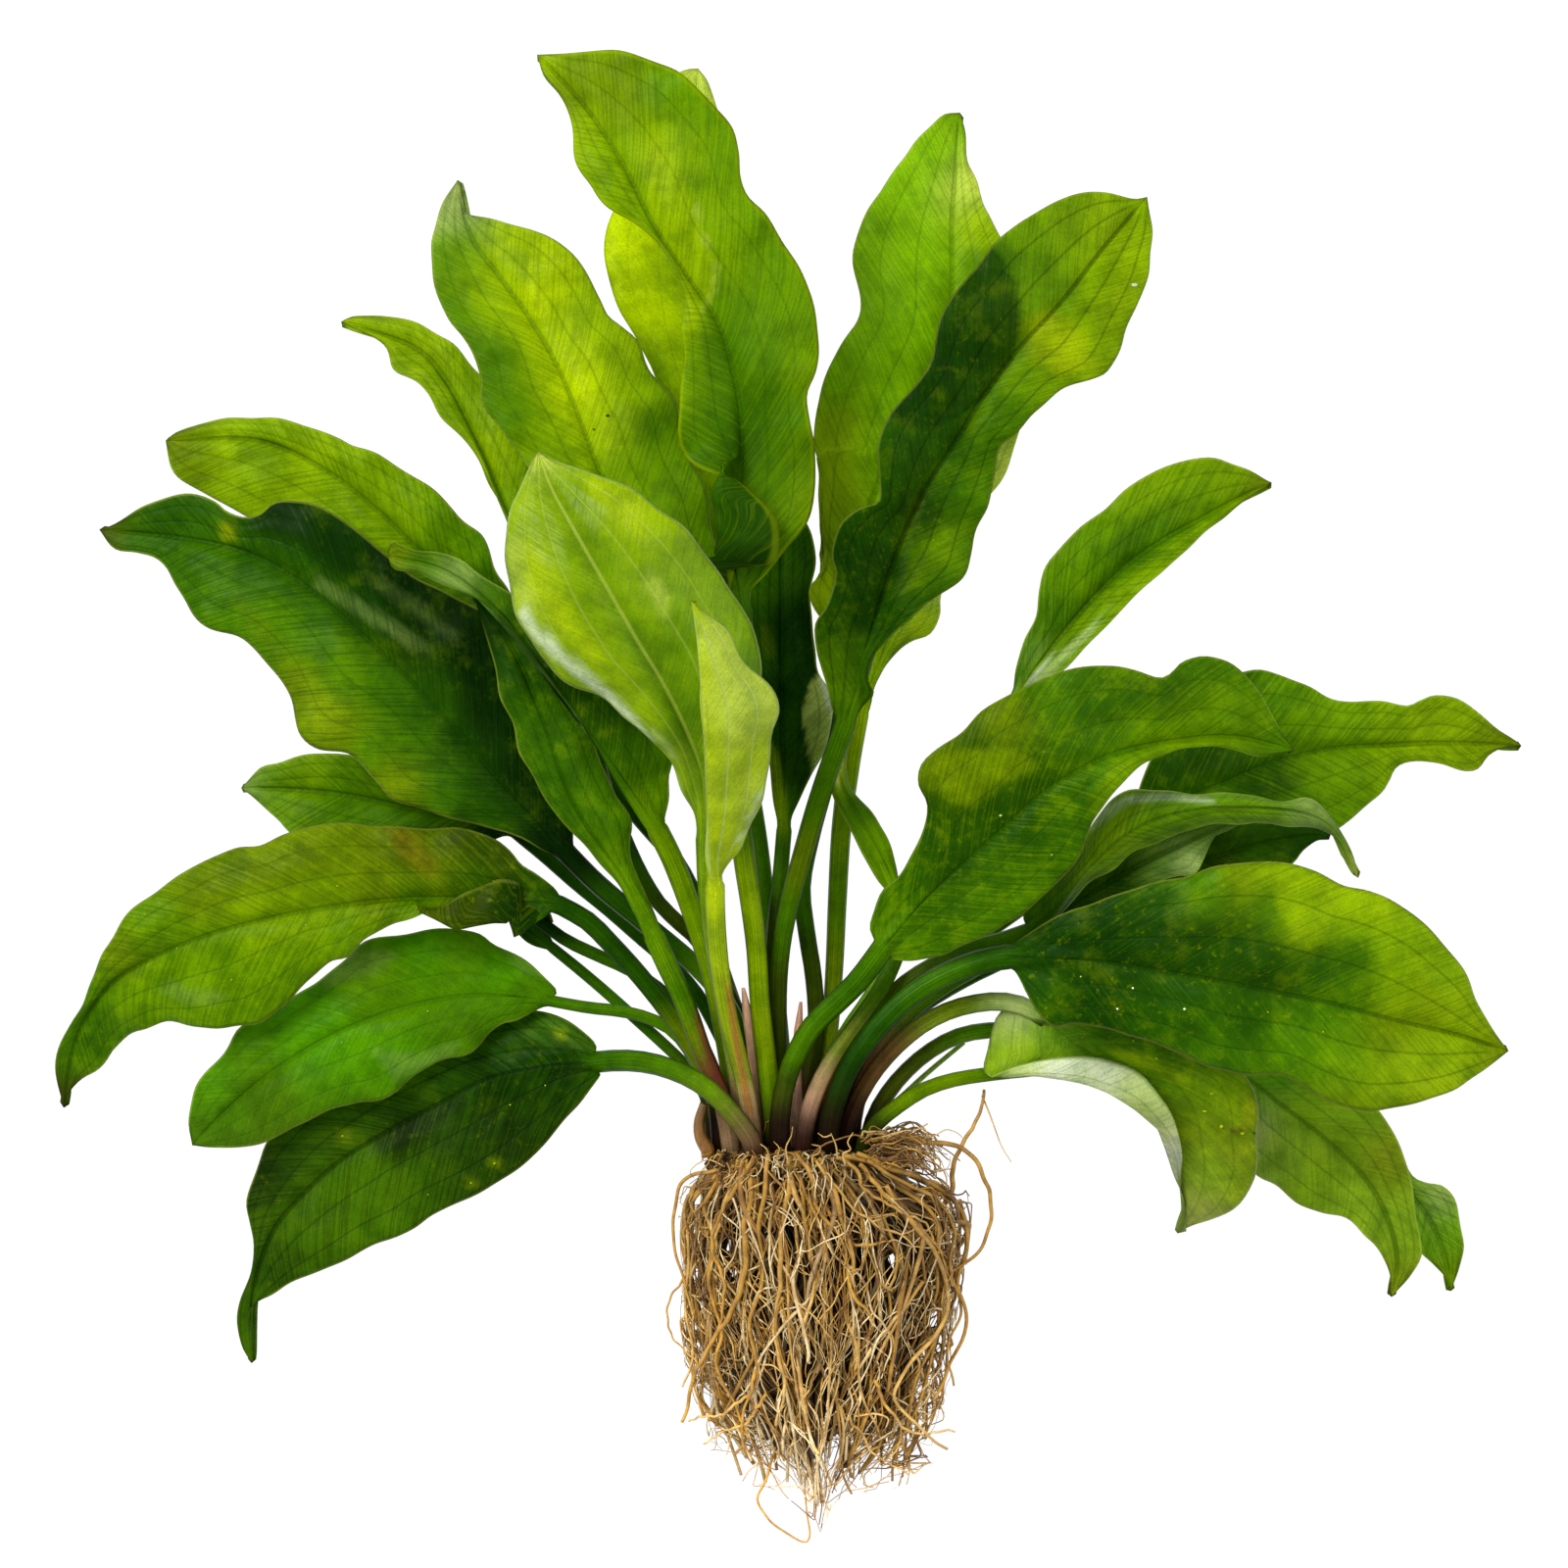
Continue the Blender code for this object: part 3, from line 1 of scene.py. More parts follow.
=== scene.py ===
"""Looks of the echinodorus plant that lies on its back: fine leaf blades with veins, the
tangle of roots, the crown, and a bright plain studio. Tables are in millimetres in the
part's own frame: X to the right, Y away from the roots, Z up from the surface."""
from typing import NamedTuple

import bpy
import numpy as np
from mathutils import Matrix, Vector


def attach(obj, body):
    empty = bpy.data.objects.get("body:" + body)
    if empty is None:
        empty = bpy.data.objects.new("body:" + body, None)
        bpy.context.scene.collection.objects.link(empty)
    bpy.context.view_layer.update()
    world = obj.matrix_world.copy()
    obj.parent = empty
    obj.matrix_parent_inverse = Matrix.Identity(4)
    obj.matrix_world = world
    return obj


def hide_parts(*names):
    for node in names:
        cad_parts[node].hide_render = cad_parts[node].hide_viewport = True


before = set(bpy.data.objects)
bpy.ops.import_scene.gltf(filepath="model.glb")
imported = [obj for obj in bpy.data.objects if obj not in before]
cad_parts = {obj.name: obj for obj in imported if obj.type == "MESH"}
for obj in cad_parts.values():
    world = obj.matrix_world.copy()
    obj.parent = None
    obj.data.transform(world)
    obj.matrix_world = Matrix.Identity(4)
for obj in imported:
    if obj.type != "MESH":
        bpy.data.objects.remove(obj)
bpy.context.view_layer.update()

MM = 0.001

# Camera: the photo's frame is 400 mm wide, and its middle is at this X and Y
VIEW_WIDTH = 400.0
VIEW_CENTER = (-5.0, 110.0)
FOCUS_HEIGHT = 45.0
CAMERA_HEIGHT = 9000.0
SENSOR_WIDTH = 36.0

# Lighting
FLOOR_HALF = 6000.0
FLOOR_Z = -0.6
FLOOR_ALBEDO = 0.06
FLOOR_GLOW = 1.0
KEY_STRENGTH = 3.0
FILL_STRENGTH = 0.9
# The sky's strength goes from side to top between these two heights of the view's direction
SKY_LOW, SKY_HIGH, SKY_SIDE, SKY_TOP = 0.05, 0.85, 0.8, 0.6

# How a leaf's sections change from the round stalk to the thin blade, as in the solids: over
# these first shares of the blade's length it turns flat and banks
FOOT_SHARE = 0.08
BANK_SHARE = 0.15
# The last even ring of a blade, and one more just before its tip point
LAST_SHARE = 0.985
TIP_SHARE = 0.9935
# A fold is full where it reaches this far beyond the margin
ROLL_BLEND = 2.0
RIB_THICKNESS = 1.5
# Straight steps between two points of a line
CURVE_STEPS = 12

# The fine blade
THICKNESS = 0.42
STALK_SPACING = 4.0
BLADE_SPACING = 1.4
# How far a stalk's foot reaches on into the crown, and how much wider it is there
STALK_EXTRA = 1.6
STALK_FLARE = 0.15
STALK_RIDGES = 7
RIDGE_HEIGHT = 0.045
# A half blade narrower than this takes its midrib's way up, because its own isn't certain
NARROW_WIDTH = 4.0
# Places of a half blade's points from the midrib (0) to the margin (1), and its main veins
LEVELS = np.array([0, 0.035, 0.075, 0.13, 0.2, 0.28, 0.36, 0.44, 0.53, 0.63, 0.72, 0.81, 0.89,
                   0.95, 1.0])
VEINS = (0.36, 0.72)
VEIN_HALF_WIDTH = 0.9
VEIN_GROOVE = 0.12
VEIN_RIDGE_BELOW = 0.25
RIB_GROOVE = 0.35
RIB_GROOVE_WIDTH = 1.4
# Waves: lengths of the margin's ruffles, and the broad swells' lengths along and across the
# blade, with a minus sign for one that slants the other way
RUFFLE_LENGTHS = (19, 11.5)
SWELL_LENGTHS = ((41, 55), (23, -31))
SWELL_HEIGHT = 0.55
SECOND_WAVE = 0.6
QUILT_HEIGHT = 0.25

# The least half width of a blade away from its foot
LEAST_WIDTH = 0.3
# From this share of the length on, a folded margin lies at least so far over its crest
FOLD_START = 0.165
FOLD_GAP = 1.5


class Leaf(NamedTuple):
    """A leaf: its stalk from the crown to the blade's foot, then the blade's midrib and its two
    margins from the foot to the tip. Left is to the left of someone looking along the midrib
    to the tip. Heights and lifts are spread evenly along their line."""
    name: str
    # The stalk's radius at the crown and at the blade's foot
    radius: tuple
    stalk: list
    stalk_z: tuple
    rib: list
    rib_z: tuple
    left: list
    right: list
    # A lift raises a margin above the midrib
    lift_left: tuple = (0, 0)
    lift_right: tuple = (0, 0)
    # An arch raises the middle of the left and of the right half blade
    arch: tuple = (1.5, 1.5)
    # A roll is a stretch over which the blade folds beyond its margin: start, end, reach, height
    roll_left: tuple = None
    roll_right: tuple = None
    # A bank turns the midrib's back to the right by so many degrees, for a blade whose left half
    # is folded under
    bank: float = 0.0


LEAVES = [
    Leaf("leaf_left_large", (2.1, 2.6),
         stalk=[(-15.3, 16.4), (-14.8, 28), (-15, 40), (-19, 53), (-27, 63), (-40, 74), (-52, 84),
             (-60, 92)],
         stalk_z=(36, 38, 39, 42, 47),
         rib=[(-60, 92), (-75, 108), (-95, 131), (-118, 153), (-132, 164), (-145, 170), (-160, 173),
             (-180, 175)],
         rib_z=(47, 51, 51, 44, 30),
         left=[(-66, 93), (-72, 96), (-82, 99), (-90, 101.5), (-98, 103.5), (-105, 106), (-110, 112),
             (-116, 117.5), (-124, 119), (-128, 122), (-130, 127), (-133, 136), (-137, 141), (-143, 147),
             (-151, 149.5), (-156, 153.5), (-160, 160), (-165, 167), (-170, 169), (-176, 170)],
         right=[(-59, 98), (-61, 106), (-65, 114), (-68, 124), (-70, 135), (-73, 146), (-80, 153),
             (-91, 159), (-100, 163.5), (-107, 169), (-117, 177), (-124, 181), (-130, 182.3), (-135, 182),
             (-139, 179), (-143, 178.2), (-147, 179.5), (-150, 182), (-155, 184), (-160, 183.8),
             (-168, 181), (-176, 176.5)],
         lift_left=(0, -2, -3, 0, 0), lift_right=(0, 2, 1, 3, 0)),
    Leaf("leaf_left_upper", (1.8, 2.2),
         stalk=[(-6.8, 16.4), (-7.5, 27), (-11, 38), (-16, 49), (-20, 60), (-24, 72), (-28, 82), (-33, 91),
             (-40, 99), (-50, 111), (-58, 123), (-64, 136)],
         stalk_z=(30.5, 26.5, 25, 24, 22),
         rib=[(-64, 136), (-74, 150), (-86, 161), (-98, 169.5), (-108, 179), (-122, 190), (-140, 198),
             (-163.5, 198)],
         rib_z=(22, 19, 16, 11, 4),
         left=[(-70, 138), (-82, 143), (-98, 151), (-115, 161), (-130, 171), (-145, 180), (-157, 186),
             (-162, 191)],
         right=[(-68, 146), (-75, 159), (-79, 165), (-82, 173.5), (-88, 178), (-94, 185), (-100, 189),
             (-108, 194), (-115, 196.5), (-120, 199), (-133, 203), (-143, 204.2), (-150, 203.5),
             (-160, 200.5)],
         lift_left=(0, -1, -4, -3, 0), lift_right=(0, 1, 2, 0, 0)),
    Leaf("leaf_top_left_slender", (1.8, 2.0),
         stalk=[(-9.9, 16.4), (-11, 28), (-13, 40), (-17, 52), (-22, 62), (-27, 70), (-33, 75.5), (-38, 81),
             (-44, 92), (-51, 110), (-56, 130), (-62, 150)],
         stalk_z=(35.5, 31.5, 31.5, 32, 30),
         rib=[(-62, 150), (-70, 166), (-76, 181), (-80, 190), (-86, 203), (-92, 214), (-100, 222),
             (-118.5, 228.5)],
         rib_z=(30, 25, 19, 12, 4),
         left=[(-69, 158), (-74, 172), (-80, 186), (-85, 196), (-92.5, 203.7), (-98.7, 212.5), (-105, 216),
             (-107.5, 222.5)],
         right=[(-60, 164), (-63, 180), (-68, 193), (-75, 206), (-82, 215), (-86, 219), (-92, 224),
             (-100, 228.5), (-114, 230)],
         lift_left=(0, 1, 2, 1, 0), lift_right=(0, -2, -2, 0, 0)),
    Leaf("leaf_top_left", (2.1, 2.4),
         stalk=[(-12, 16.4), (-11.5, 30), (-10.8, 48), (-11.8, 66), (-13.5, 82), (-16.5, 98), (-21, 113),
             (-27, 131), (-33, 150)],
         stalk_z=(41.5, 43.2, 43.8, 44.3, 45),
         rib=[(-33, 150), (-42, 170), (-52, 190), (-57, 203), (-63, 217), (-70, 229), (-78, 240),
             (-85, 250), (-88.5, 264.5)],
         rib_z=(45, 46, 42, 34, 22),
         left=[(-44, 162), (-56, 176), (-66, 187), (-70, 190), (-76, 199), (-82, 207), (-82.5, 213),
             (-84, 219), (-87, 224), (-91, 229), (-94, 236), (-95, 245), (-94.5, 252), (-92, 259)],
         right=[(-26, 156), (-22, 165), (-23, 175), (-25, 185), (-30, 195), (-32, 206), (-35, 210),
             (-39, 216), (-42, 223), (-46, 226.5), (-50, 229.5), (-52, 234), (-55, 240), (-60, 246),
             (-66, 250.5), (-76, 253.5), (-84, 255.3), (-87, 256.5), (-89, 260)],
         lift_left=(0, 2, 3, 1, 0), lift_right=(0, -1, -2, 1, 0)),
    Leaf("leaf_top_center", (2.3, 3.0),
         stalk=[(-7.1, 16.4), (-8.2, 28), (-9.8, 42), (-11.2, 55), (-12, 68), (-13.5, 80), (-15.3, 92),
             (-17, 110), (-17.5, 125), (-17, 140), (-16, 154)],
         stalk_z=(52.5, 54.5, 57, 60, 62),
         rib=[(-16, 154), (-17.5, 165), (-17.5, 178), (-16, 190), (-16, 203), (-18, 215), (-22, 228),
             (-30, 240), (-38, 252), (-46, 268), (-56, 283), (-68, 296)],
         rib_z=(62, 62, 63, 60, 48),
         left=[(-14, 158), (-11, 162.5), (-7.5, 167), (-6, 172), (-6.5, 177), (-9, 181), (-13, 184),
             (-18, 187), (-24, 189), (-28.5, 191.5), (-31, 194.5), (-32, 199), (-31.5, 205), (-31, 215),
             (-30, 226), (-32, 238), (-35, 245), (-40, 250), (-49, 256.5), (-54, 262), (-58, 268),
             (-59.5, 279), (-62, 285), (-66, 290), (-67.3, 293.5)],
         right=[(-15, 158), (-10, 163), (-5, 169), (1, 177), (3, 185), (3, 195), (1.5, 202), (1, 209),
             (3, 215), (4, 222), (3, 231), (0, 239), (-5, 248), (-10, 255), (-14, 259.5), (-16, 265),
             (-16.5, 271), (-18, 277), (-22, 282), (-28, 288), (-33, 292), (-40, 294.8), (-50, 297),
             (-60, 296.3)],
         lift_left=(0, 9, 5, 2, 2, 1, 0), lift_right=(0, 1, 2, -2, 1, 2, 0), roll_left=(0.0, 0.27, 15, 5)),
    Leaf("leaf_top_behind", (1.8, 2.0),
         stalk=[(-4.6, 16.4), (-5, 36), (-6.8, 58), (-9, 78), (-11.5, 98), (-15, 118), (-19, 140),
             (-22, 165)],
         stalk_z=(36, 34, 31.5, 30, 29),
         rib=[(-22, 165), (-26, 190), (-28, 215), (-29, 240), (-28, 265), (-27, 293.3)],
         rib_z=(29, 27, 24, 17, 7),
         left=[(-29, 178), (-33, 192), (-34, 204), (-37, 213), (-42, 222), (-47, 231), (-50, 240),
             (-51, 248), (-49, 256), (-44, 268), (-38, 280), (-33, 291), (-30, 293)],
         right=[(-14, 180), (-10, 200), (-8, 220), (-9, 240), (-15, 258), (-19, 272), (-21.5, 281),
             (-22.5, 284), (-24.5, 290)],
         lift_left=(0, 1, 2, 0, 0), lift_right=(0, -1, -2, 0, 0)),
    Leaf("leaf_top_right", (2.0, 2.4),
         stalk=[(-2.2, 16.4), (-0.5, 28), (2.2, 40), (3.2, 50), (2.5, 61), (0.8, 72), (-0.4, 84), (2, 97),
             (5.5, 110), (9.3, 124), (10.3, 138), (9, 150)],
         stalk_z=(41, 41.5, 42.5, 44, 46),
         rib=[(9, 150), (12, 165), (17, 180), (23, 195), (29, 208), (34, 220), (37.5, 232), (38, 240),
             (38, 255), (39, 268), (40, 282)],
         rib_z=(46, 42, 34, 24, 9),
         left=[(5, 152), (2.5, 155), (1.3, 159), (3, 163), (6, 168), (6.7, 175), (6.5, 184), (4, 191),
             (2.5, 198), (4, 209), (6, 215), (9, 221), (13.5, 228), (14.5, 234), (12.5, 243), (13.5, 250),
             (16, 256), (20, 262), (25, 269), (29, 275), (33, 279), (36, 281.5)],
         right=[(14, 156), (22, 168), (32, 183), (42, 198), (50, 212), (54, 225), (56, 237), (52, 247),
             (48, 254), (46, 258), (44, 264), (42, 270), (41.5, 277)],
         lift_left=(0, 4, 1, 0, 0), lift_right=(0, -2, -2, 0, 0), roll_left=(0.08, 0.36, 3.4, 2)),
    Leaf("leaf_upper_right_dark", (2.0, 2.7),
         stalk=[(-6.3, 16.4), (-6.2, 30), (-6.4, 44), (-6.5, 58), (-5.5, 70), (-3, 82), (0, 93), (3.2, 104),
             (6.9, 115), (10.6, 125)],
         stalk_z=(46.5, 49, 52, 57, 62),
         rib=[(10.6, 125), (13, 133), (16, 145), (20, 158), (25, 172), (31, 185), (38, 196), (46, 209),
             (55, 221), (66, 233), (76, 246), (87.5, 259.5)],
         rib_z=(62, 71, 75, 73, 62),
         left=[(7.6, 129), (6.2, 134), (4.2, 140.5), (3, 146), (3, 151), (6, 156), (8, 163), (7, 168),
             (8, 173), (10, 177), (14, 180), (19, 182), (19, 190), (19, 197), (22.5, 205), (30, 213.5),
             (32.5, 218), (35, 229), (40, 237), (45, 243), (50, 249), (60, 256), (66, 258.8), (72, 260.5),
             (78, 260.3), (84, 259)],
         right=[(12, 127.5), (15, 130), (18, 133), (16.5, 136), (17, 141), (21, 146), (26, 151), (30, 155),
             (36, 159), (41, 163), (43, 169), (45, 177), (48, 186), (49, 191), (50, 196), (55, 200.5),
             (60, 205), (66, 210.5), (75, 213.5), (78, 216), (82, 225), (86, 234), (88, 241), (89, 249),
             (88, 256)],
         lift_left=(0, 4, 5, 2, 2, 0), lift_right=(0, 2, -3, 1, -2, 0)),
    Leaf("leaf_right_upper", (2.0, 2.3),
         stalk=[(-0.4, 16.4), (1.2, 26), (4.7, 35), (9.4, 43), (15, 51), (20, 58.5), (24, 68), (27, 80),
             (31, 92), (37, 104), (44, 116), (52, 128)],
         stalk_z=(58, 58.5, 57, 54, 51),
         rib=[(52, 128), (58, 138), (65, 147), (73, 156.5), (82, 165.5), (92, 172.5), (102, 178),
             (112, 183.5), (119.5, 187)],
         rib_z=(51, 53, 53, 48, 38),
         left=[(53.5, 134), (54.3, 141), (56, 147), (59.5, 154), (61, 164), (65, 169.5), (70, 175),
             (77, 180.5), (82, 185), (88, 189), (95, 192), (101, 192.8), (107, 192.3), (113, 190.5),
             (118, 187.7)],
         right=[(57, 132), (63, 136.5), (67, 139.5), (72, 145), (78, 151), (85, 158.5), (92, 164.5),
             (98, 170), (103, 175), (108, 178.5), (113, 182.5), (118, 186)],
         lift_left=(0, 2, 2, 1, 0), lift_right=(0, 5, 6, 3, 0)),
    Leaf("leaf_right_far", (2.0, 2.2),
         stalk=[(6.2, 16.4), (7.4, 25), (10.5, 34), (15, 43), (20.5, 51), (27.5, 58.5), (35.5, 65),
             (44, 70.5), (54, 77.5), (64, 85), (74, 92.5), (84, 100)],
         stalk_z=(46, 44.5, 42.5, 40.5, 38),
         rib=[(84, 100), (100, 107.5), (108, 110.5), (120, 115.5), (135, 119), (150, 120), (165, 120.5),
             (184, 119.8)],
         rib_z=(38, 34, 27, 16, 2),
         left=[(86, 110), (92, 122), (100, 131), (107, 136.5), (115, 139.2), (121, 138), (127, 135.5),
             (133, 132.5), (140, 131.3), (148, 131.3), (154, 130), (158, 131.5), (162, 132.8), (167, 132),
             (172, 128.5), (177, 124.5), (182, 121.5)],
         right=[(95, 97), (108, 94), (120, 94), (130, 95.5), (138, 99.5), (146, 106.5), (149, 111),
             (152, 114.5), (157, 115.8), (163, 115), (169, 113.3), (173, 114), (176, 117.5), (180, 119.5)],
         lift_left=(0, 2, 3, 4, 0), lift_right=(0, -2, -3, 1, 0)),
    Leaf("leaf_right_front", (2.3, 3.0),
         stalk=[(-6.2, 16.4), (-6, 25), (-4.8, 33), (-2, 41), (2, 48), (8, 54), (14, 60), (20, 68)],
         stalk_z=(58, 60, 64, 70),
         rib=[(20, 68), (30, 80), (40, 89), (50, 98), (60, 107), (70, 113.5), (80, 118), (95, 121),
             (110, 122), (125, 118.5)],
         rib_z=(70, 79, 84, 80, 66),
         left=[(17, 73), (18, 78), (20, 83), (24, 86.5), (27, 91), (30, 97), (31, 104), (29.2, 110),
             (30, 115), (34, 119), (40, 123), (45, 128.5), (52, 132.5), (60, 136.5), (68, 139.3), (78, 140),
             (84, 139), (90, 137), (93, 138), (96, 141), (101, 142.5), (106, 141.8), (110, 140), (114, 136),
             (118, 130), (122, 123)],
         right=[(22, 65.8), (28, 65), (35, 66), (40, 68.5), (45, 71), (50, 73.5), (56, 77.5), (60, 80.5),
             (64, 84), (68, 88), (71, 94), (74, 101), (78, 107), (82, 112), (88, 116), (95, 118.6),
             (103, 119.4), (110, 118.3), (116, 116.8), (121, 117.7)],
         lift_left=(0, 3, 3, 2, 4, 0), lift_right=(0, -4, -4, 1, 3, 0)),
    Leaf("leaf_right_arched", (2.0, 2.5),
         stalk=[(3.1, 16.4), (5, 25), (8.2, 34), (12.5, 43), (17.8, 50.5), (23.5, 57), (30, 61.8),
             (37, 65.4), (44.5, 68.3), (51, 70), (58, 72.5)],
         stalk_z=(51.8, 51.8, 53, 56.5, 61),
         rib=[(58, 72.5), (65, 80), (72, 88), (80, 95.5), (90, 101), (102, 103.5), (115, 103.8),
             (127, 102.5), (135, 98), (141.5, 86)],
         rib_z=(61, 68, 72, 68, 46),
         left=[(56, 76), (57, 79.5), (61, 83), (66, 87), (70, 91), (72, 97), (74, 101), (77, 106),
             (82, 108), (90, 108.8), (97, 108.5), (105, 107), (113, 107), (121, 106), (127, 106.6),
             (131, 105), (135, 101), (139, 95), (141, 89)],
         right=[(62, 74), (70, 81), (76, 87), (84, 92.5), (93, 96.5), (103, 99), (112, 99.8), (122, 99.8),
             (130, 98.8), (135, 96.5), (138.5, 92)],
         lift_left=(0, -3, -4, -3, -2, 0), lift_right=(0, -5, -6, -5, -3, 0), arch=(2.0, 1.0)),
    Leaf("leaf_right_under", (1.9, 2.2),
         stalk=[(12, 16.4), (13, 26), (15.5, 34.5), (20, 43), (26, 50.5), (33, 56.5), (41, 61.5),
             (50, 66.5), (64, 75.5)],
         stalk_z=(45.5, 46.5, 48.5, 52),
         rib=[(64, 75.5), (74, 82.5), (84, 88.5), (94, 93.5), (103, 97.5), (111, 101)],
         rib_z=(52, 55, 56, 54),
         left=[(66, 81), (72, 88), (80, 94), (90, 99), (100, 102)],
         right=[(70, 78), (80, 80), (88, 84.3), (95, 86.2), (99.3, 86.8), (101, 90), (104, 95),
             (107, 98.5)],
         lift_left=(0, -2, -2, 0), lift_right=(0, 1, 3, 0)),
    Leaf("leaf_right_under_low", (1.7, 2.0),
         stalk=[(9.3, 16.4), (10.8, 25), (14, 33.5), (19, 42), (25.5, 49.5), (33.5, 55.5), (43, 61),
             (53, 66), (72, 77)],
         stalk_z=(40.5, 41, 42.5, 45),
         rib=[(72, 77), (86, 84), (100, 90), (112, 93.5), (123, 96), (134.5, 97)],
         rib_z=(45, 46, 46, 42),
         left=[(78, 86), (92, 95), (106, 100), (120, 100.5), (130, 99)],
         right=[(84, 77.5), (98, 80), (112, 84), (121, 87.3), (125.3, 90), (127.5, 93), (131, 95.5)],
         lift_left=(0, -1, -2, 0), lift_right=(0, -2, -2, 0), arch=(1.0, 1.0)),
    Leaf("leaf_right_broad", (2.3, 3.2),
         stalk=[(6, 16.4), (7.2, 26), (10.5, 35.5), (15.2, 43.5), (21.2, 50.8), (28.3, 57), (36.5, 61.7),
             (45, 64.8), (52, 66)],
         stalk_z=(57, 61, 64.5, 67),
         rib=[(52, 66), (60, 66), (75, 65), (90, 62.5), (105, 60), (120, 57), (135, 54), (150, 50),
             (165, 46.5), (179.5, 42)],
         rib_z=(67, 73, 76, 73, 62),
         left=[(55, 70), (60, 74), (68, 78), (75, 80), (82, 82.6), (90, 85.5), (97, 86.8), (105, 89),
             (115, 90.3), (123, 90), (130, 88), (137, 84.5), (143, 83), (150, 80), (156, 76), (162, 70),
             (168, 62), (172, 54), (175.5, 47.5)],
         right=[(53.5, 63.5), (55, 60.5), (57, 56.5), (60, 51.5), (64, 48), (70, 48.6), (78, 47.5),
             (85, 45.5), (93, 43), (98, 40), (103, 37.5), (110, 36.3), (118, 36), (124, 35), (130, 31.5),
             (137, 28), (143, 26.8), (150, 27.5), (157, 29), (164, 31.5), (170, 35), (175, 38.5)],
         lift_left=(0, 2, 4, 3, 1, 0), lift_right=(0, -2, -4, 0, 2, 0), arch=(2.5, 2.0)),
    Leaf("leaf_right_curled", (2.0, 2.4),
         stalk=[(10.3, 16.4), (11.5, 24), (14.5, 31), (19, 38), (25, 44.5), (32, 49.8), (40, 53.2),
             (49, 54.6), (56, 53.4), (62, 50)],
         stalk_z=(50.8, 51, 51.5, 51.5, 51),
         rib=[(62, 50), (66.5, 46), (73, 41), (80, 36.8), (86, 31), (91, 23.5), (94.5, 14), (96.3, 4),
             (96.5, -4.5)],
         rib_z=(51, 49, 44, 36, 14),
         left=[(70, 53), (80, 54), (92, 50), (102, 45), (110, 39), (115, 32), (116.2, 25), (115.5, 20.5),
             (116, 14), (115, 9), (111, 3), (105, -1), (99.5, -3)],
         right=[(57, 52), (53, 54), (50, 52), (48, 48), (47, 42), (46, 37.5), (47.3, 34.8), (51, 36.3),
             (57, 38.5), (65, 40), (72, 40.8), (80, 39.5), (86, 36), (90, 32), (94, 25), (96.3, 17),
             (97, 10), (96.8, 2)],
         lift_left=(0, 1, 1, 1, 1, 0), lift_right=(0, -4, 5, 8, 4, 0)),
    Leaf("leaf_right_low", (1.9, 2.2),
         stalk=[(16.2, 16.4), (17, 22), (19.8, 28.5), (24.5, 35), (31, 41), (38.5, 45.3), (46, 47),
             (54, 47), (64, 45.7), (76, 44.8), (88, 43.2), (98, 41)],
         stalk_z=(48, 44, 40, 37, 36),
         rib=[(98, 41), (112, 35.5), (122, 28), (133, 19.5), (143, 10), (149, 0), (152, -11),
             (150.7, -21.5)],
         rib_z=(36, 31, 24, 15, 4),
         left=[(110, 43.5), (122, 42), (134, 36), (143, 29.5), (148, 25.5), (152, 19), (155, 10), (157, 2),
             (158, -6), (158, -11), (155.5, -16), (152.5, -19.5)],
         right=[(100, 33), (105, 24), (110, 16), (116, 10), (120, 7), (126, 3), (132, 0.5), (140, -2),
             (144, -5), (147, -9), (150, -15)],
         lift_left=(0, -2, -1, 1, 0), lift_right=(0, -2, -2, 1, 0)),
    Leaf("leaf_right_lowest", (1.8, 1.8),
         stalk=[(14.6, 16.4), (16, 20.5), (19.8, 24.6), (25, 28.6), (31, 32.2), (38, 34.5), (46, 35.8),
             (57, 37), (70, 38), (85, 39), (100, 38.5), (115, 37), (128, 34)],
         stalk_z=(55.5, 47, 33, 23, 18),
         rib=[(128, 34), (136, 27), (145, 18), (153, 8), (160, -1), (164, -10), (166, -20)],
         rib_z=(18, 14, 8, 1.5),
         left=[(138, 32), (147, 24), (153, 15), (156, 10), (160, 8.3), (164, 7), (167, 3), (168.5, -4),
             (169.3, -9), (168, -14)],
         right=[(132, 25), (140, 16), (147, 7), (152, -2), (158, -10), (161, -13), (164.5, -16.5)],
         lift_left=(0, 0, 1, 0), lift_right=(0, 0, 1, 0), arch=(1.0, 1.0)),
    Leaf("leaf_left_broad", (2.1, 2.5),
         stalk=[(-21, 16.4), (-22, 27), (-24.5, 35), (-28, 42), (-32.5, 49), (-37.5, 55.8), (-43, 62.5),
             (-49, 69), (-55, 75), (-62, 79)],
         stalk_z=(47.3, 47.5, 47.5, 46.5, 45),
         rib=[(-62, 79), (-75, 80.3), (-92, 81), (-110, 80), (-130, 77), (-150, 72), (-165, 66), (-178, 58),
             (-186, 45), (-189.5, 27)],
         rib_z=(45, 44, 41, 30, 8),
         left=[(-66, 82), (-71, 84.5), (-77, 85.8), (-83, 84), (-90, 80.5), (-98, 76.5), (-105, 74),
             (-112, 70), (-116, 66.5), (-121, 64.5), (-128, 58), (-132, 54), (-136, 50.5), (-140, 48.5),
             (-147, 48.2), (-154, 48), (-160, 49), (-165, 48.8), (-171, 46.5), (-176, 42), (-179, 38),
             (-184, 35), (-188, 31)],
         right=[(-63.5, 83), (-68, 87), (-72, 89.5), (-75, 93), (-79, 96), (-85, 98), (-91, 99.2),
             (-100, 99), (-108, 99.3), (-116, 100), (-125, 99.3), (-133, 97), (-139, 94.3), (-145, 93.8),
             (-152, 91.5), (-158, 87), (-165, 83), (-171, 78), (-176, 71), (-180, 66), (-182, 60),
             (-184, 54), (-188, 49), (-190.5, 43), (-191.5, 36)],
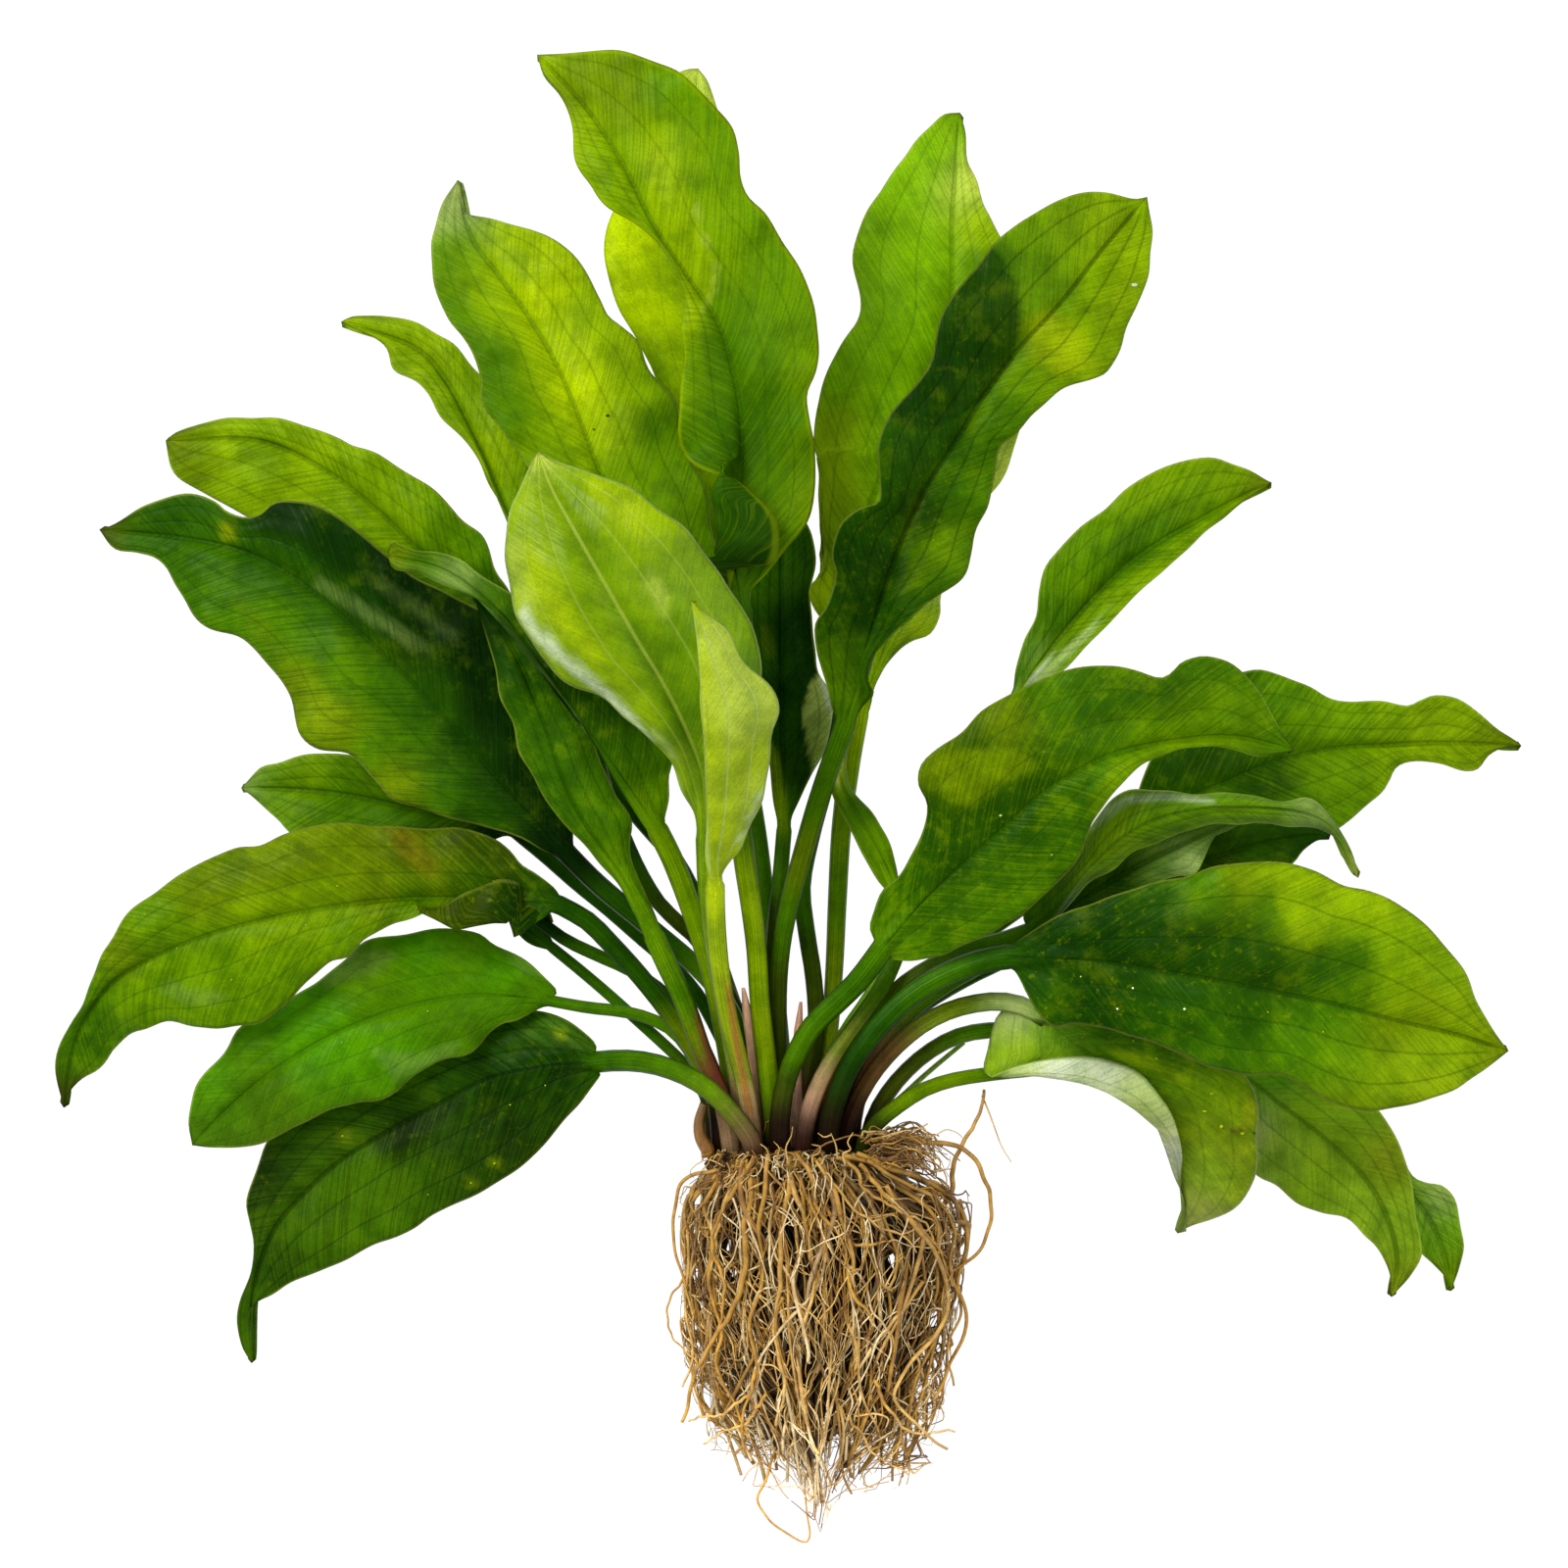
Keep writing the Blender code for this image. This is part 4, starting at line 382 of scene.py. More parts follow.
         lift_left=(0, 6, 0, -3, -1, 0), lift_right=(0, 1, 0, 0, 2, 0), roll_left=(0.0, 0.26, 10.5, 3),
         arch=(1.5, 2.5)),
    Leaf("leaf_left_small", (1.7, 1.8),
         stalk=[(-12.2, 16.4), (-13.5, 26), (-17, 36), (-21.5, 46), (-27, 56), (-34, 64), (-42, 71),
             (-50, 78), (-58, 84.5), (-66, 91.5), (-74, 98)],
         stalk_z=(31, 30, 28, 26, 24),
         rib=[(-74, 98), (-88, 101), (-102, 104), (-116, 107), (-130, 108.5), (-144, 109)],
         rib_z=(24, 22, 18, 12),
         left=[(-84, 94), (-98, 91), (-112, 91), (-124, 94), (-131, 97.5), (-135, 101), (-139, 105)],
         right=[(-82, 103), (-92, 108.5), (-102, 113), (-112, 116.5), (-118, 117.7), (-123, 118),
             (-128, 117.5), (-134, 115.3), (-139, 114)],
         lift_left=(0, -1, 0, 0), lift_right=(0, 1, 2, 0)),
    Leaf("leaf_left_bright", (1.6, 1.5),
         stalk=[(-22.6, 16.4), (-24, 26), (-26, 34), (-29, 41.5), (-33.5, 47), (-39, 50), (-46, 51.9),
             (-55, 52.9), (-64, 54.5)],
         stalk_z=(41.7, 41, 39.5, 37, 34),
         rib=[(-64, 54.5), (-78, 56), (-90, 55.5), (-105, 52), (-120, 46), (-135, 37), (-147, 27),
             (-156.5, 17.5)],
         rib_z=(34, 34, 32, 26, 15),
         left=[(-67, 53), (-73, 49.5), (-77, 48.3), (-82, 44), (-86, 41.5), (-92, 39.5), (-98, 36),
             (-104, 31.5), (-109, 28.8), (-115, 28.2), (-121, 27), (-127, 24), (-133, 20.5), (-139, 18),
             (-145, 16.7), (-151, 16.8)],
         right=[(-63, 57), (-66, 60.5), (-70, 64), (-75, 67.5), (-79, 69.5), (-83, 72), (-90, 72.8),
             (-98, 72.3), (-106, 71), (-113, 69), (-118, 65), (-124, 60), (-130, 56.5), (-137, 51),
             (-143, 48), (-147, 43), (-152, 37), (-156, 30), (-157.5, 24)],
         lift_left=(0, -1, -1, 1, 0), lift_right=(0, -3, -4, -4, 0), arch=(2.0, 2.0)),
    Leaf("leaf_left_lowest", (2.3, 2.8),
         stalk=[(-12.2, 16.4), (-14, 20.5), (-19, 27), (-24, 32), (-30, 35.8), (-38, 38.6), (-46, 39.5),
             (-53, 39)],
         stalk_z=(58, 60.2, 59.5, 49, 36),
         rib=[(-53, 39), (-65, 38), (-80, 35), (-92, 29), (-105, 22), (-118, 14), (-128, 5), (-136, -5),
             (-141, -20), (-141.5, -38.5)],
         rib_z=(36, 27, 20, 11, 2),
         left=[(-52, 36), (-56, 30), (-61, 24), (-67, 17), (-74, 11), (-80, 7), (-88, 3), (-95, -0.5),
             (-100, -4), (-109, -7.5), (-118, -12), (-127, -16), (-135, -20), (-140, -23), (-142, -28),
             (-142.5, -34)],
         right=[(-53, 43), (-56, 46.5), (-61, 50), (-68, 52), (-78, 51.5), (-92, 49), (-106, 44),
             (-118, 37), (-128, 29), (-136, 20), (-139, 15), (-141.5, 9), (-142.8, 3), (-142, -2),
             (-141, -8), (-142, -15), (-144, -22), (-145, -28), (-144, -34)],
         lift_left=(0, 0, 1, 1, 0), lift_right=(0, -3, -3, 0, 0)),
    Leaf("leaf_front_pale_large", (2.2, 2.5),
         stalk=[(-15.6, 16.4), (-15.8, 24), (-16.6, 33), (-18.2, 44), (-20.3, 55), (-22.3, 66), (-23.8, 76),
             (-24.6, 86), (-25, 96)],
         stalk_z=(47.2, 51, 57, 66, 77),
         rib=[(-25, 96), (-26, 112), (-30, 124), (-36, 136), (-42, 146), (-50, 160), (-58, 174), (-64, 185),
             (-67.5, 194.5)],
         rib_z=(77, 92, 98, 98, 90),
         left=[(-26.5, 99), (-28, 103), (-31, 108), (-34, 114), (-37, 120), (-42, 125), (-48, 129),
             (-55, 133), (-62, 137), (-66, 142), (-71, 149), (-74.5, 158), (-76, 165), (-76, 172),
             (-74, 181), (-70, 190)],
         right=[(-19, 104), (-14, 114), (-11.5, 127), (-11, 139), (-12, 148), (-15, 154), (-19, 160),
             (-22, 165), (-26, 170), (-32, 176), (-38, 181), (-45, 185), (-53, 189), (-60, 191),
             (-65, 193)],
         lift_left=(0, -2, -5, -4, 0), lift_right=(0, -1, -3, -2, 0), arch=(3.0, 2.5)),
    Leaf("leaf_front_pale_small", (2.2, 2.5),
         stalk=[(-12.7, 16.4), (-13.1, 22), (-14.3, 30), (-16.6, 40), (-19.1, 50), (-21.2, 62), (-22.3, 74),
             (-22.5, 84)],
         stalk_z=(52.8, 59, 70, 86),
         rib=[(-22.5, 84), (-24.3, 94), (-25, 107), (-25.5, 120), (-26.3, 133), (-27.2, 146),
             (-28.5, 156.5)],
         rib_z=(86, 108, 118, 120),
         left=[(-23.5, 95), (-22.5, 108), (-21.5, 120), (-22.5, 133), (-25.5, 146)],
         right=[(-21.3, 86.5), (-19, 90), (-15.7, 95.5), (-12, 102), (-9, 112), (-7.5, 122), (-7, 129),
             (-9, 135), (-14, 140), (-18, 146), (-22, 151)],
         lift_left=(0, -7, -8, 0), lift_right=(0, -5, -6, 0), arch=(0.5, 2.5), bank=42),
    Leaf("leaf_front_folded", (2.1, 2.8),
         stalk=[(-17.4, 16.4), (-18, 28), (-19.4, 40), (-21.5, 52), (-24, 63), (-27, 73), (-30, 82),
             (-33.5, 91), (-37, 98)],
         stalk_z=(41.7, 45, 50, 57, 66),
         rib=[(-37, 98), (-45, 110), (-57, 127), (-68, 142), (-80, 156), (-92, 164.5), (-106, 168)],
         rib_z=(66, 77, 80, 77, 70),
         left=[(-42, 102), (-47.5, 110), (-50.5, 115), (-54, 121), (-60, 132), (-65, 142), (-70, 147),
             (-75, 151), (-82, 156), (-90, 160), (-98, 163.5), (-104, 164.5)],
         right=[(-35.4, 102), (-34.2, 106), (-33.9, 111), (-34, 118), (-40, 130), (-50, 142), (-62, 151),
             (-74, 158), (-82, 163), (-87, 167), (-93, 169), (-98, 169.3), (-102, 170.5), (-105, 172)],
         lift_left=(0, -2, -1, 0), lift_right=(0, -3, -2, 2, 0), arch=(1.0, 1.0)),
    Leaf("leaf_front_dark", (2.2, 2.8),
         stalk=[(-18.2, 16.4), (-20, 27), (-23, 35), (-26, 42), (-28.6, 49.5), (-31.5, 57), (-35, 64.5),
             (-38, 71)],
         stalk_z=(53, 54, 56, 58, 61),
         rib=[(-38, 71), (-42, 79), (-46, 86), (-51, 93), (-57, 102), (-62, 113), (-66, 125), (-71, 138),
             (-77, 149), (-84, 158)],
         rib_z=(61, 65, 66, 65, 62),
         left=[(-41, 74.5), (-46.5, 82.5), (-52.5, 91), (-60, 99), (-67, 107), (-72, 118), (-76, 130),
             (-80, 144)],
         right=[(-37.6, 75.5), (-40, 82), (-43, 90), (-44.4, 96.5), (-45, 102), (-48, 108), (-51, 115),
             (-55, 125), (-60, 132), (-65, 140), (-72, 148)],
         lift_left=(0, -3, -4, -2, 0), lift_right=(0, -2, -3, -1, 0), arch=(1.0, 1.5)),
    Leaf("leaf_inner_narrow", (1.7, 1.8),
         stalk=[(0.5, 16.4), (1.2, 24), (3.5, 32), (7, 40), (11.5, 48), (17, 56), (21.5, 65), (24.5, 74),
             (24, 82)],
         stalk_z=(46.3, 46.5, 47.5, 49, 51),
         rib=[(24, 82), (19, 94), (13, 104), (9.3, 112), (9.3, 120), (11.5, 129), (16, 140)],
         rib_z=(51, 52, 52.5, 53),
         left=[(20, 84), (15, 92), (11, 100), (7.2, 107), (6.3, 115), (7.2, 123), (11, 133)],
         right=[(24, 87), (22, 95), (19, 101), (14, 106), (11.2, 110), (11.3, 116), (12.5, 124), (15, 133)],
         lift_left=(0, 1, 1, 0), lift_right=(0, -2, -2, 0), arch=(0.6, 0.6)),
    Leaf("leaf_center_dark", (1.8, 2.0),
         stalk=[(-7.1, 16.4), (-7.6, 32), (-7.8, 46), (-8, 60), (-7.4, 74), (-6, 86), (-5, 98)],
         stalk_z=(41.2, 40, 38, 36),
         rib=[(-5, 98), (-5, 110), (-5.5, 125), (-5.5, 140), (-5.5, 155), (-5.5, 168), (-3.5, 182)],
         rib_z=(36, 36, 35, 33),
         left=[(-7.5, 104), (-9, 116), (-11, 130), (-13, 145), (-14, 158), (-11, 170)],
         right=[(-2, 104), (2, 112), (5, 117), (7.4, 123), (7.8, 129), (6.2, 134.5), (3.8, 139), (3, 144),
             (2.5, 150), (2, 158), (3, 168), (1, 176)],
         lift_left=(0, 1, 1, 0), lift_right=(0, 2, 0, 0), arch=(1.0, 1.0)),
    Leaf("leaf_upper_right_hidden", (1.9, 2.7),
         stalk=[(4, 16.4), (5.2, 32), (6.8, 48), (7.9, 64), (8.6, 80), (9.6, 98), (11.6, 114), (14, 128)],
         stalk_z=(40.7, 38.5, 38.5, 40, 43),
         rib=[(14, 128), (19, 140), (25, 155), (32, 170), (40, 185), (48, 200), (58, 214)],
         rib_z=(43, 48, 53, 54),
         left=[(13, 138), (16, 152), (22, 168), (30, 183), (39, 197), (49, 208)],
         right=[(16.3, 131), (19, 137), (23, 142.5), (28, 147), (32.5, 149.5), (35, 153.5), (35.5, 158),
             (39, 167), (44, 178), (49.5, 187), (52.5, 192), (54.5, 197.5), (57, 206)],
         lift_left=(0, 1, 1, 0), lift_right=(0, -2, -1, 0), arch=(1.0, 1.0)),
    Leaf("leaf_left_under_small", (1.5, 1.4),
         stalk=[(-21, 16.4), (-22, 22), (-24.2, 28), (-27, 34), (-31, 39), (-36, 43.8), (-42, 49.2),
             (-49, 55.5), (-56, 61.5), (-64, 68)],
         stalk_z=(36.6, 35, 32, 29, 27),
         rib=[(-64, 68), (-70, 72.5), (-78, 78), (-88, 82), (-101, 84)],
         rib_z=(27, 25, 22),
         left=[(-67, 68), (-70.5, 69.3), (-73, 71.8), (-76, 76), (-85, 78.5), (-94, 80.5)],
         right=[(-65, 71.5), (-70, 78), (-79, 85), (-90, 87.5)],
         lift_left=(0, -1, 0), lift_right=(0, 1, 0), arch=(0.6, 0.6)),
    Leaf("leaf_left_under_narrow", (1.6, 1.6),
         stalk=[(-17.6, 16.4), (-18.6, 24), (-21, 32), (-24.2, 40), (-28, 47.5), (-33, 54), (-39, 59.3),
             (-46, 63.3), (-53, 66.4), (-61, 70.3), (-68, 75.5)],
         stalk_z=(30.8, 31, 32, 33, 34),
         rib=[(-68, 75.5), (-78, 81), (-90, 85), (-104, 86.5), (-118, 85)],
         rib_z=(34, 34, 32),
         left=[(-73, 77.5), (-84, 80), (-98, 81.5)],
         right=[(-64.6, 73.7), (-64.2, 76), (-69, 83), (-80, 90), (-97, 92)],
         lift_left=(0, -1, 0), lift_right=(0, 0, 0), arch=(0.6, 0.6)),
]

# Thin pieces at the crown: radius and tone at the foot and at the tip, whether the tip is
# pointed, and the centre line (x, y, z)
SHOOTS = {
    "bare_stalk": ((0.9, 0.6), ("olive", "grass"), False, [
        (14.8, 16.4, 40.5), (16.5, 21, 38), (20.5, 26, 34), (26, 31, 31.5), (32, 36.5, 30.5),
        (41, 44, 30.5)]),
    "young_shoot": ((1.8, 1.0), ("blush", "pink"), True, [
        (-1.6, 16.4, 51.6), (-1.8, 26, 52.5), (-1.9, 38, 53), (-1.3, 47, 53.2), (-0.7, 54.5, 53.2)]),
    "pink_shoot": ((2.2, 1.2), ("pink", "blush"), True, [
        (-10.6, 16.4, 47), (-11.2, 28, 49), (-12.6, 40, 51.5), (-14.1, 50, 53.5), (-15.4, 58, 55.5)]),
    "dry_sheath": ((1.9, 1.1), ("root_brown", "umber"), False, [
        (-24.2, 16.4, 49.8), (-26.2, 20, 50.8), (-26.6, 24, 51.8), (-25.4, 28.5, 52.8)]),
}
# How many of a pointed shoot's last rings narrow to its tip
POINT_RINGS = 8

# The root ball seen from above: how far the roots reach down at each x
ROOT_TIPS = [(-33, -46), (-28, -54), (-24, -58), (-19, -58), (-15, -66), (-9, -66), (-4, -69),
             (1, -73), (4, -78), (8, -73), (14, -68), (20, -67), (26, -66), (31, -60), (36, -60), (42, -40)]
# How far up the fibrous shoulder at the right of the crown reaches at each x
TUFT_TOP = [(15, 22), (20, 25), (26, 25.5), (32, 23.5), (38, 19), (42, 14)]
# Share of the way down, centre x and half width
ROOT_WIDTHS = [(0.0, 3, 27), (0.06, 4.5, 34), (0.16, 5.5, 36.5), (0.33, 5.5, 36), (0.5, 5, 35.5),
               (0.68, 4, 34.5), (0.85, 4, 33.5), (1.0, 4.5, 28)]
# Loose roots that stand clear of the ball
STRANDS = [
    (1.3, [(32, -2, 40), (37.5, 6, 42), (38.3, 12, 43), (40, 17.5, 43), (43.5, 23, 42), (45.8, 28, 41),
           (45.9, 31.5, 39.5)]),
    (1.25, [(17, 19, 58), (23.8, 20.2, 57), (30, 18.8, 54), (35.6, 18, 50), (40, 17.2, 47), (44, 14.2, 45),
            (46.4, 9.5, 44), (47.7, 4.5, 41), (47.2, -3, 38), (44, -10, 36), (36, -16, 34)]),
    (0.95, [(-17, 13, 56), (-25.6, 11, 50), (-30.4, 8.6, 47), (-32.8, 4, 45), (-33.2, -4, 43),
            (-31.5, -14, 40), (-28, -26, 36)]),
    (0.6, [(-27, -10, 30), (-32.5, -19, 29), (-35, -26, 28), (-33, -32, 27), (-27, -38, 27)]),
    (0.6, [(-6, -56, 10), (-9, -67, 9), (-12, -73, 8), (-9.5, -77.5, 7), (-5, -81, 6.5), (0.5, -84.3, 6),
           (1.2, -79, 6), (0.5, -70, 6.5), (1, -60, 8)]),
]

# The crown, as in the solids: middle and half size in X and Z, then in Y
CROWN_CENTER = (-3.2, 44.5)
CROWN_HALF = (23.0, 19.5)
CROWN_Y = 13.0
CROWN_HALF_LENGTH = 4.2
CROWN_ROWS = 26
CROWN_SIDES = 96
# Stalks turn brown below this Y, over this length
CROWN_SHADE_TOP = 44.0
CROWN_SHADE_DEPTH = 30.0
# Stalks turn dark over this length, up to this far from their foot: their own dark base, and painted shade
# among the roots
FOOT_DARK_END = 17.0
FOOT_DARK_LENGTH = 12.0

# The root ball, as in the solids
ROOT_START_Y = 12.0
ROOT_HALF_DEPTH = 30.0
ROOT_MIDDLE = 34.0
ROOT_END_DEPTH = 4.2
# Openings through the tangle: middle and half width, seen from above
ROOT_HOLES = [(22.4, -13.6, 2.3, 5.0), (-19.5, -8, 1.5, 2.4), (-18.6, -15, 1.4, 2.0), (36, -14, 1.5, 2.6),
              (33.5, -27, 1.5, 2.6), (-25, -47, 1.8, 3.6), (7.5, -61, 1.6, 3.4), (29, -44, 1.3, 2.4),
              (-27.5, 4, 1.4, 2.6)]
# Short pale root stubs at the crown: radius and centre line
STUBS = [
    (0.26, [(45.5, 30.5, 40), (46.8, 27.5, 40), (48.5, 23, 39), (50.5, 17.6, 38), (53, 13.5, 37)]),
    (0.3, [(-4, 14, 66.5), (-4.5, 17.4, 68), (-3.2, 20.4, 69), (-2.8, 22.8, 69.5)]),
    (0.3, [(2.8, 11.5, 66), (2.2, 15, 67.5), (3.7, 16, 68.5), (4.2, 17.7, 69), (2, 18.3, 69)]),
    (0.3, [(8.6, 14.5, 66), (8.2, 18, 68.5), (6.9, 21.2, 70)]),
    (0.24, [(7, 20.7, 69.5), (5.2, 20.2, 69.5), (3.6, 21.2, 69)]),
    (0.34, [(10.6, 13, 66), (10, 15.8, 67.5), (11.9, 17, 69), (11.2, 18.9, 70), (12.6, 21.4, 70)]),
    (0.28, [(-16.2, 12, 60), (-15.8, 14, 61.5), (-14.6, 15.2, 62)]),
    (0.3, [(-8.5, 14, 66), (-9.4, 17, 68), (-11, 18.4, 68)]),
    (0.24, [(-7, 14.5, 66.5), (-6.2, 17.2, 68.5), (-7.6, 19, 69)]),
    (0.22, [(-20, 12.5, 56), (-24, 14.2, 54), (-27, 13.2, 53), (-28.9, 11.2, 52), (-28, 9.6, 51)]),
    (0.45, [(20, 20, 58), (25, 21.4, 57), (28.8, 21.9, 56), (31.6, 23.4, 55)]),
    (0.22, [(30, 19.4, 55), (33.8, 20.6, 54), (36.4, 21.9, 53), (39.4, 20.9, 52), (41.4, 18.6, 51)]),
    (0.26, [(23.8, 19.4, 56), (27.5, 17.5, 56), (28.8, 13.8, 56), (33.8, 11.2, 54), (36.9, 12.4, 53),
            (37.4, 15, 53)]),
    (0.22, [(28, 18, 56), (31, 17.2, 55), (32.8, 15.4, 54), (33.9, 11.6, 53)]),
]
# The loose roots are drawn at this share of their table's radii
STRAND_THINNING = 0.62
# How far a root drifts round the ball on its way down, in radians
ROOT_DRIFT = 0.45
# How many tubes of each kind the tangle has
# The core's tubes are dark: painted shade deep inside the tangle, between the outer roots
CORE_ROOTS = 120
MAIN_ROOTS = 172
CROSSING_ROOTS = 18
ROOTLETS = 1200
CROWN_FIBRES = 190
TUFT_FIBRES = 130
# A hollow in the tangle's upper side: middle and half size, and how much painted shade dims the roots in it
# and inside the tangle
ROOT_HOLLOW = (15.0, -14.5, 4.2, 8.5)
HOLLOW_SHADE = 0.7
DEPTH_SHADE = 0.82
# Painted shade round a root's sides: by how much, from which height on its section, and how softly
SIDE_SHADE = 0.74
SIDE_DARK_BELOW = -0.3
SIDE_DARK_SPAN = 1.15
# Roots are paler toward their tips: at these Y, by these factors
ROOT_TONE_PLACES = (-52.0, -20.0, 12.0)
ROOT_TONE_SHARES = (1.62, 1.22, 1.0)
# Leading roots on the upper side, drawn from above: radius, tone of the tip, centre line
LEADING_ROOTS = [
    (0.95, "root_gold", [(-15, 14), (-13.5, 6), (-14.8, -2.5), (-14.6, -10), (-16.5, -19), (-19.5, -27.5),
                         (-24, -33), (-27.5, -40), (-29, -47.5), (-31, -53)]),
    (0.85, "root_tan", [(-3.8, 15.5), (-4.2, 6.3), (-5.2, -2.5), (-5.6, -10), (-6.4, -19), (-7.4, -28),
                        (-6, -36), (-5, -44), (-7, -54)]),
    (0.75, "root_gold", [(-2, 16), (1.9, 9.5), (4, 1.3), (7.5, -3.8), (13.8, -7), (19, -7), (23, -6.5)]),
    (0.85, "root_gold", [(10, 15), (20, 12.8), (31, 9), (39, 2.5), (41.8, -6.3), (39.5, -18.8), (41.5, -28),
                         (37, -40), (33, -48)]),
    (0.65, "root_pale", [(-6, -22), (-3, -31), (-2, -38), (0, -47.5), (-2.5, -55), (1.2, -65), (3.4, -75)]),
    (0.8, "root_tan", [(21, 8), (27.5, -2), (34, -10), (36.8, -21.3), (33.8, -30), (28, -37.5), (23, -47),
                       (29, -54), (37, -60)]),
    (0.75, "root_gold", [(-20, 12), (-25.5, 2.5), (-22.8, -6), (-24.2, -18.8), (-21, -30), (-21.8, -40),
                         (-14.2, -56)]),
    (0.55, "root_tan", [(-12, -40), (-15, -47), (-21.3, -51), (-29.5, -53)]),
    (0.5, "root_tan", [(-10, -46), (-13.8, -52.5), (-20, -55.6), (-25.8, -59)]),
    (0.55, "root_tan", [(18, -42), (22.5, -51), (29.5, -56.8), (33.8, -55.6), (38.5, -56)]),
    (0.5, "root_tan", [(8, -44), (12.5, -53), (19, -62), (26.5, -66.5)]),
    (0.7, "root_gold", [(14, 13), (19.5, 7.5), (25, 0), (30, -3), (35, -10), (38, -18)]),
    (0.8, "root_gold", [(-12, 15), (-17.5, 7), (-22.2, -2), (-22.8, -10), (-20, -19), (-22, -30)]),
    (0.7, "root_tan", [(0, 6), (1.3, -8.8), (5.6, -18.8), (5, -30), (2.5, -42.5), (-1.3, -52.5), (-3, -62)]),
    (0.55, "root_pale", [(30, -17), (24, -26), (18, -33), (13.8, -41.3), (14.5, -48), (11, -57)]),
    (0.75, "root_tan", [(4, 15), (8.5, 6), (10, -3), (12.5, -12), (11, -24), (13.5, -36), (9.5, -48),
                        (6, -62)]),
    (0.7, "root_gold", [(-9, 15.5), (-9.5, 7), (-11.5, -4), (-10.5, -16), (-13.5, -28), (-12, -40),
                        (-15.5, -52), (-14.5, -62)]),
    (0.6, "root_tan", [(-17, 13), (-26.5, 8), (-30.4, 0), (-29, -12), (-30.6, -24), (-28, -34), (-31, -44)]),
    (0.6, "root_gold", [(16, 14), (24, 9), (33, 5), (38.4, -4), (37.6, -14), (40, -24), (37, -34),
                        (38.6, -44)]),
    (0.7, "root_gold", [(14, 15.5), (22.5, 12.6), (28.8, 10), (33.8, 8.1), (37.6, 5.5), (40.5, 0)]),
    (0.6, "root_tan", [(8.8, 14.6), (13.1, 11.9), (15, 8.1), (19.4, 3.8), (25, 1.2), (30, -1.4), (33.5, -7)]),
    (0.5, "root_tan", [(2, 14.8), (4.6, 11.9), (8.1, 8.1), (11.9, 2.5), (18.1, -1.9), (24, -4.6), (29, -9)]),
    (0.32, "root_pale", [(-2.4, 9), (3.8, 1.2), (9.4, -5), (11, -12)]),
    (0.75, "root_gold", [(-14, 14), (-22.5, 10), (-27.2, 4.4), (-30, -3.1), (-30.6, -12)]),
    (0.7, "root_tan", [(-12, 13), (-18.1, 7.5), (-20.6, 1.2), (-21.9, -4.4), (-23.5, -14)]),
    (0.5, "root_pale", [(-1, 14), (-7, 4), (-8.2, -8), (-2.6, -17), (-3.6, -27), (-0.4, -36)]),
    (0.5, "root_pale", [(5, 12), (2, 2), (7.5, -9), (14, -15), (17.5, -24), (22, -31), (20, -42)]),
]

# Half blades that are folded over: share of the length, margin, and the fold's crest with its
# height over the midrib
FOLDS = {
    ("leaf_right_curled", -1): [
        (0, 62, 50, 62, 50, 0), (0.02, 57, 52, 59.5, 51, 0), (0.045, 53, 54, 58, 51.5, 0),
        (0.07, 50, 52, 57.5, 49.5, 0), (0.095, 48, 48, 57.5, 47, 0), (0.125, 47, 42, 57.5, 43, 0),
        (0.155, 46, 37.5, 57.5, 40, 0), (0.18, 47.3, 34.9, 55, 37.6, 0), (0.205, 51, 36.8, 54.5, 36.4, 1),
        (0.235, 57, 39, 58.5, 36.6, 2), (0.28, 65, 40.4, 66, 35.2, 3), (0.335, 73, 40.6, 73.2, 33.2, 3),
        (0.4, 80.8, 38.8, 79.8, 30.2, 3), (0.47, 87, 35, 86, 26.6, 3), (0.56, 92.3, 28.7, 91, 21.9, 3),
        (0.64, 95.1, 22, 94.2, 17.4, 2.5), (0.74, 96.7, 15, 96.2, 12.4, 1.5), (0.83, 97, 8.4, 96.9, 7.6, 0.7),
        (0.92, 97.2, 2, 97, 1.6, 0.2), (1, 96.5, -4.5, 96.5, -4.5, 0),
    ],
}

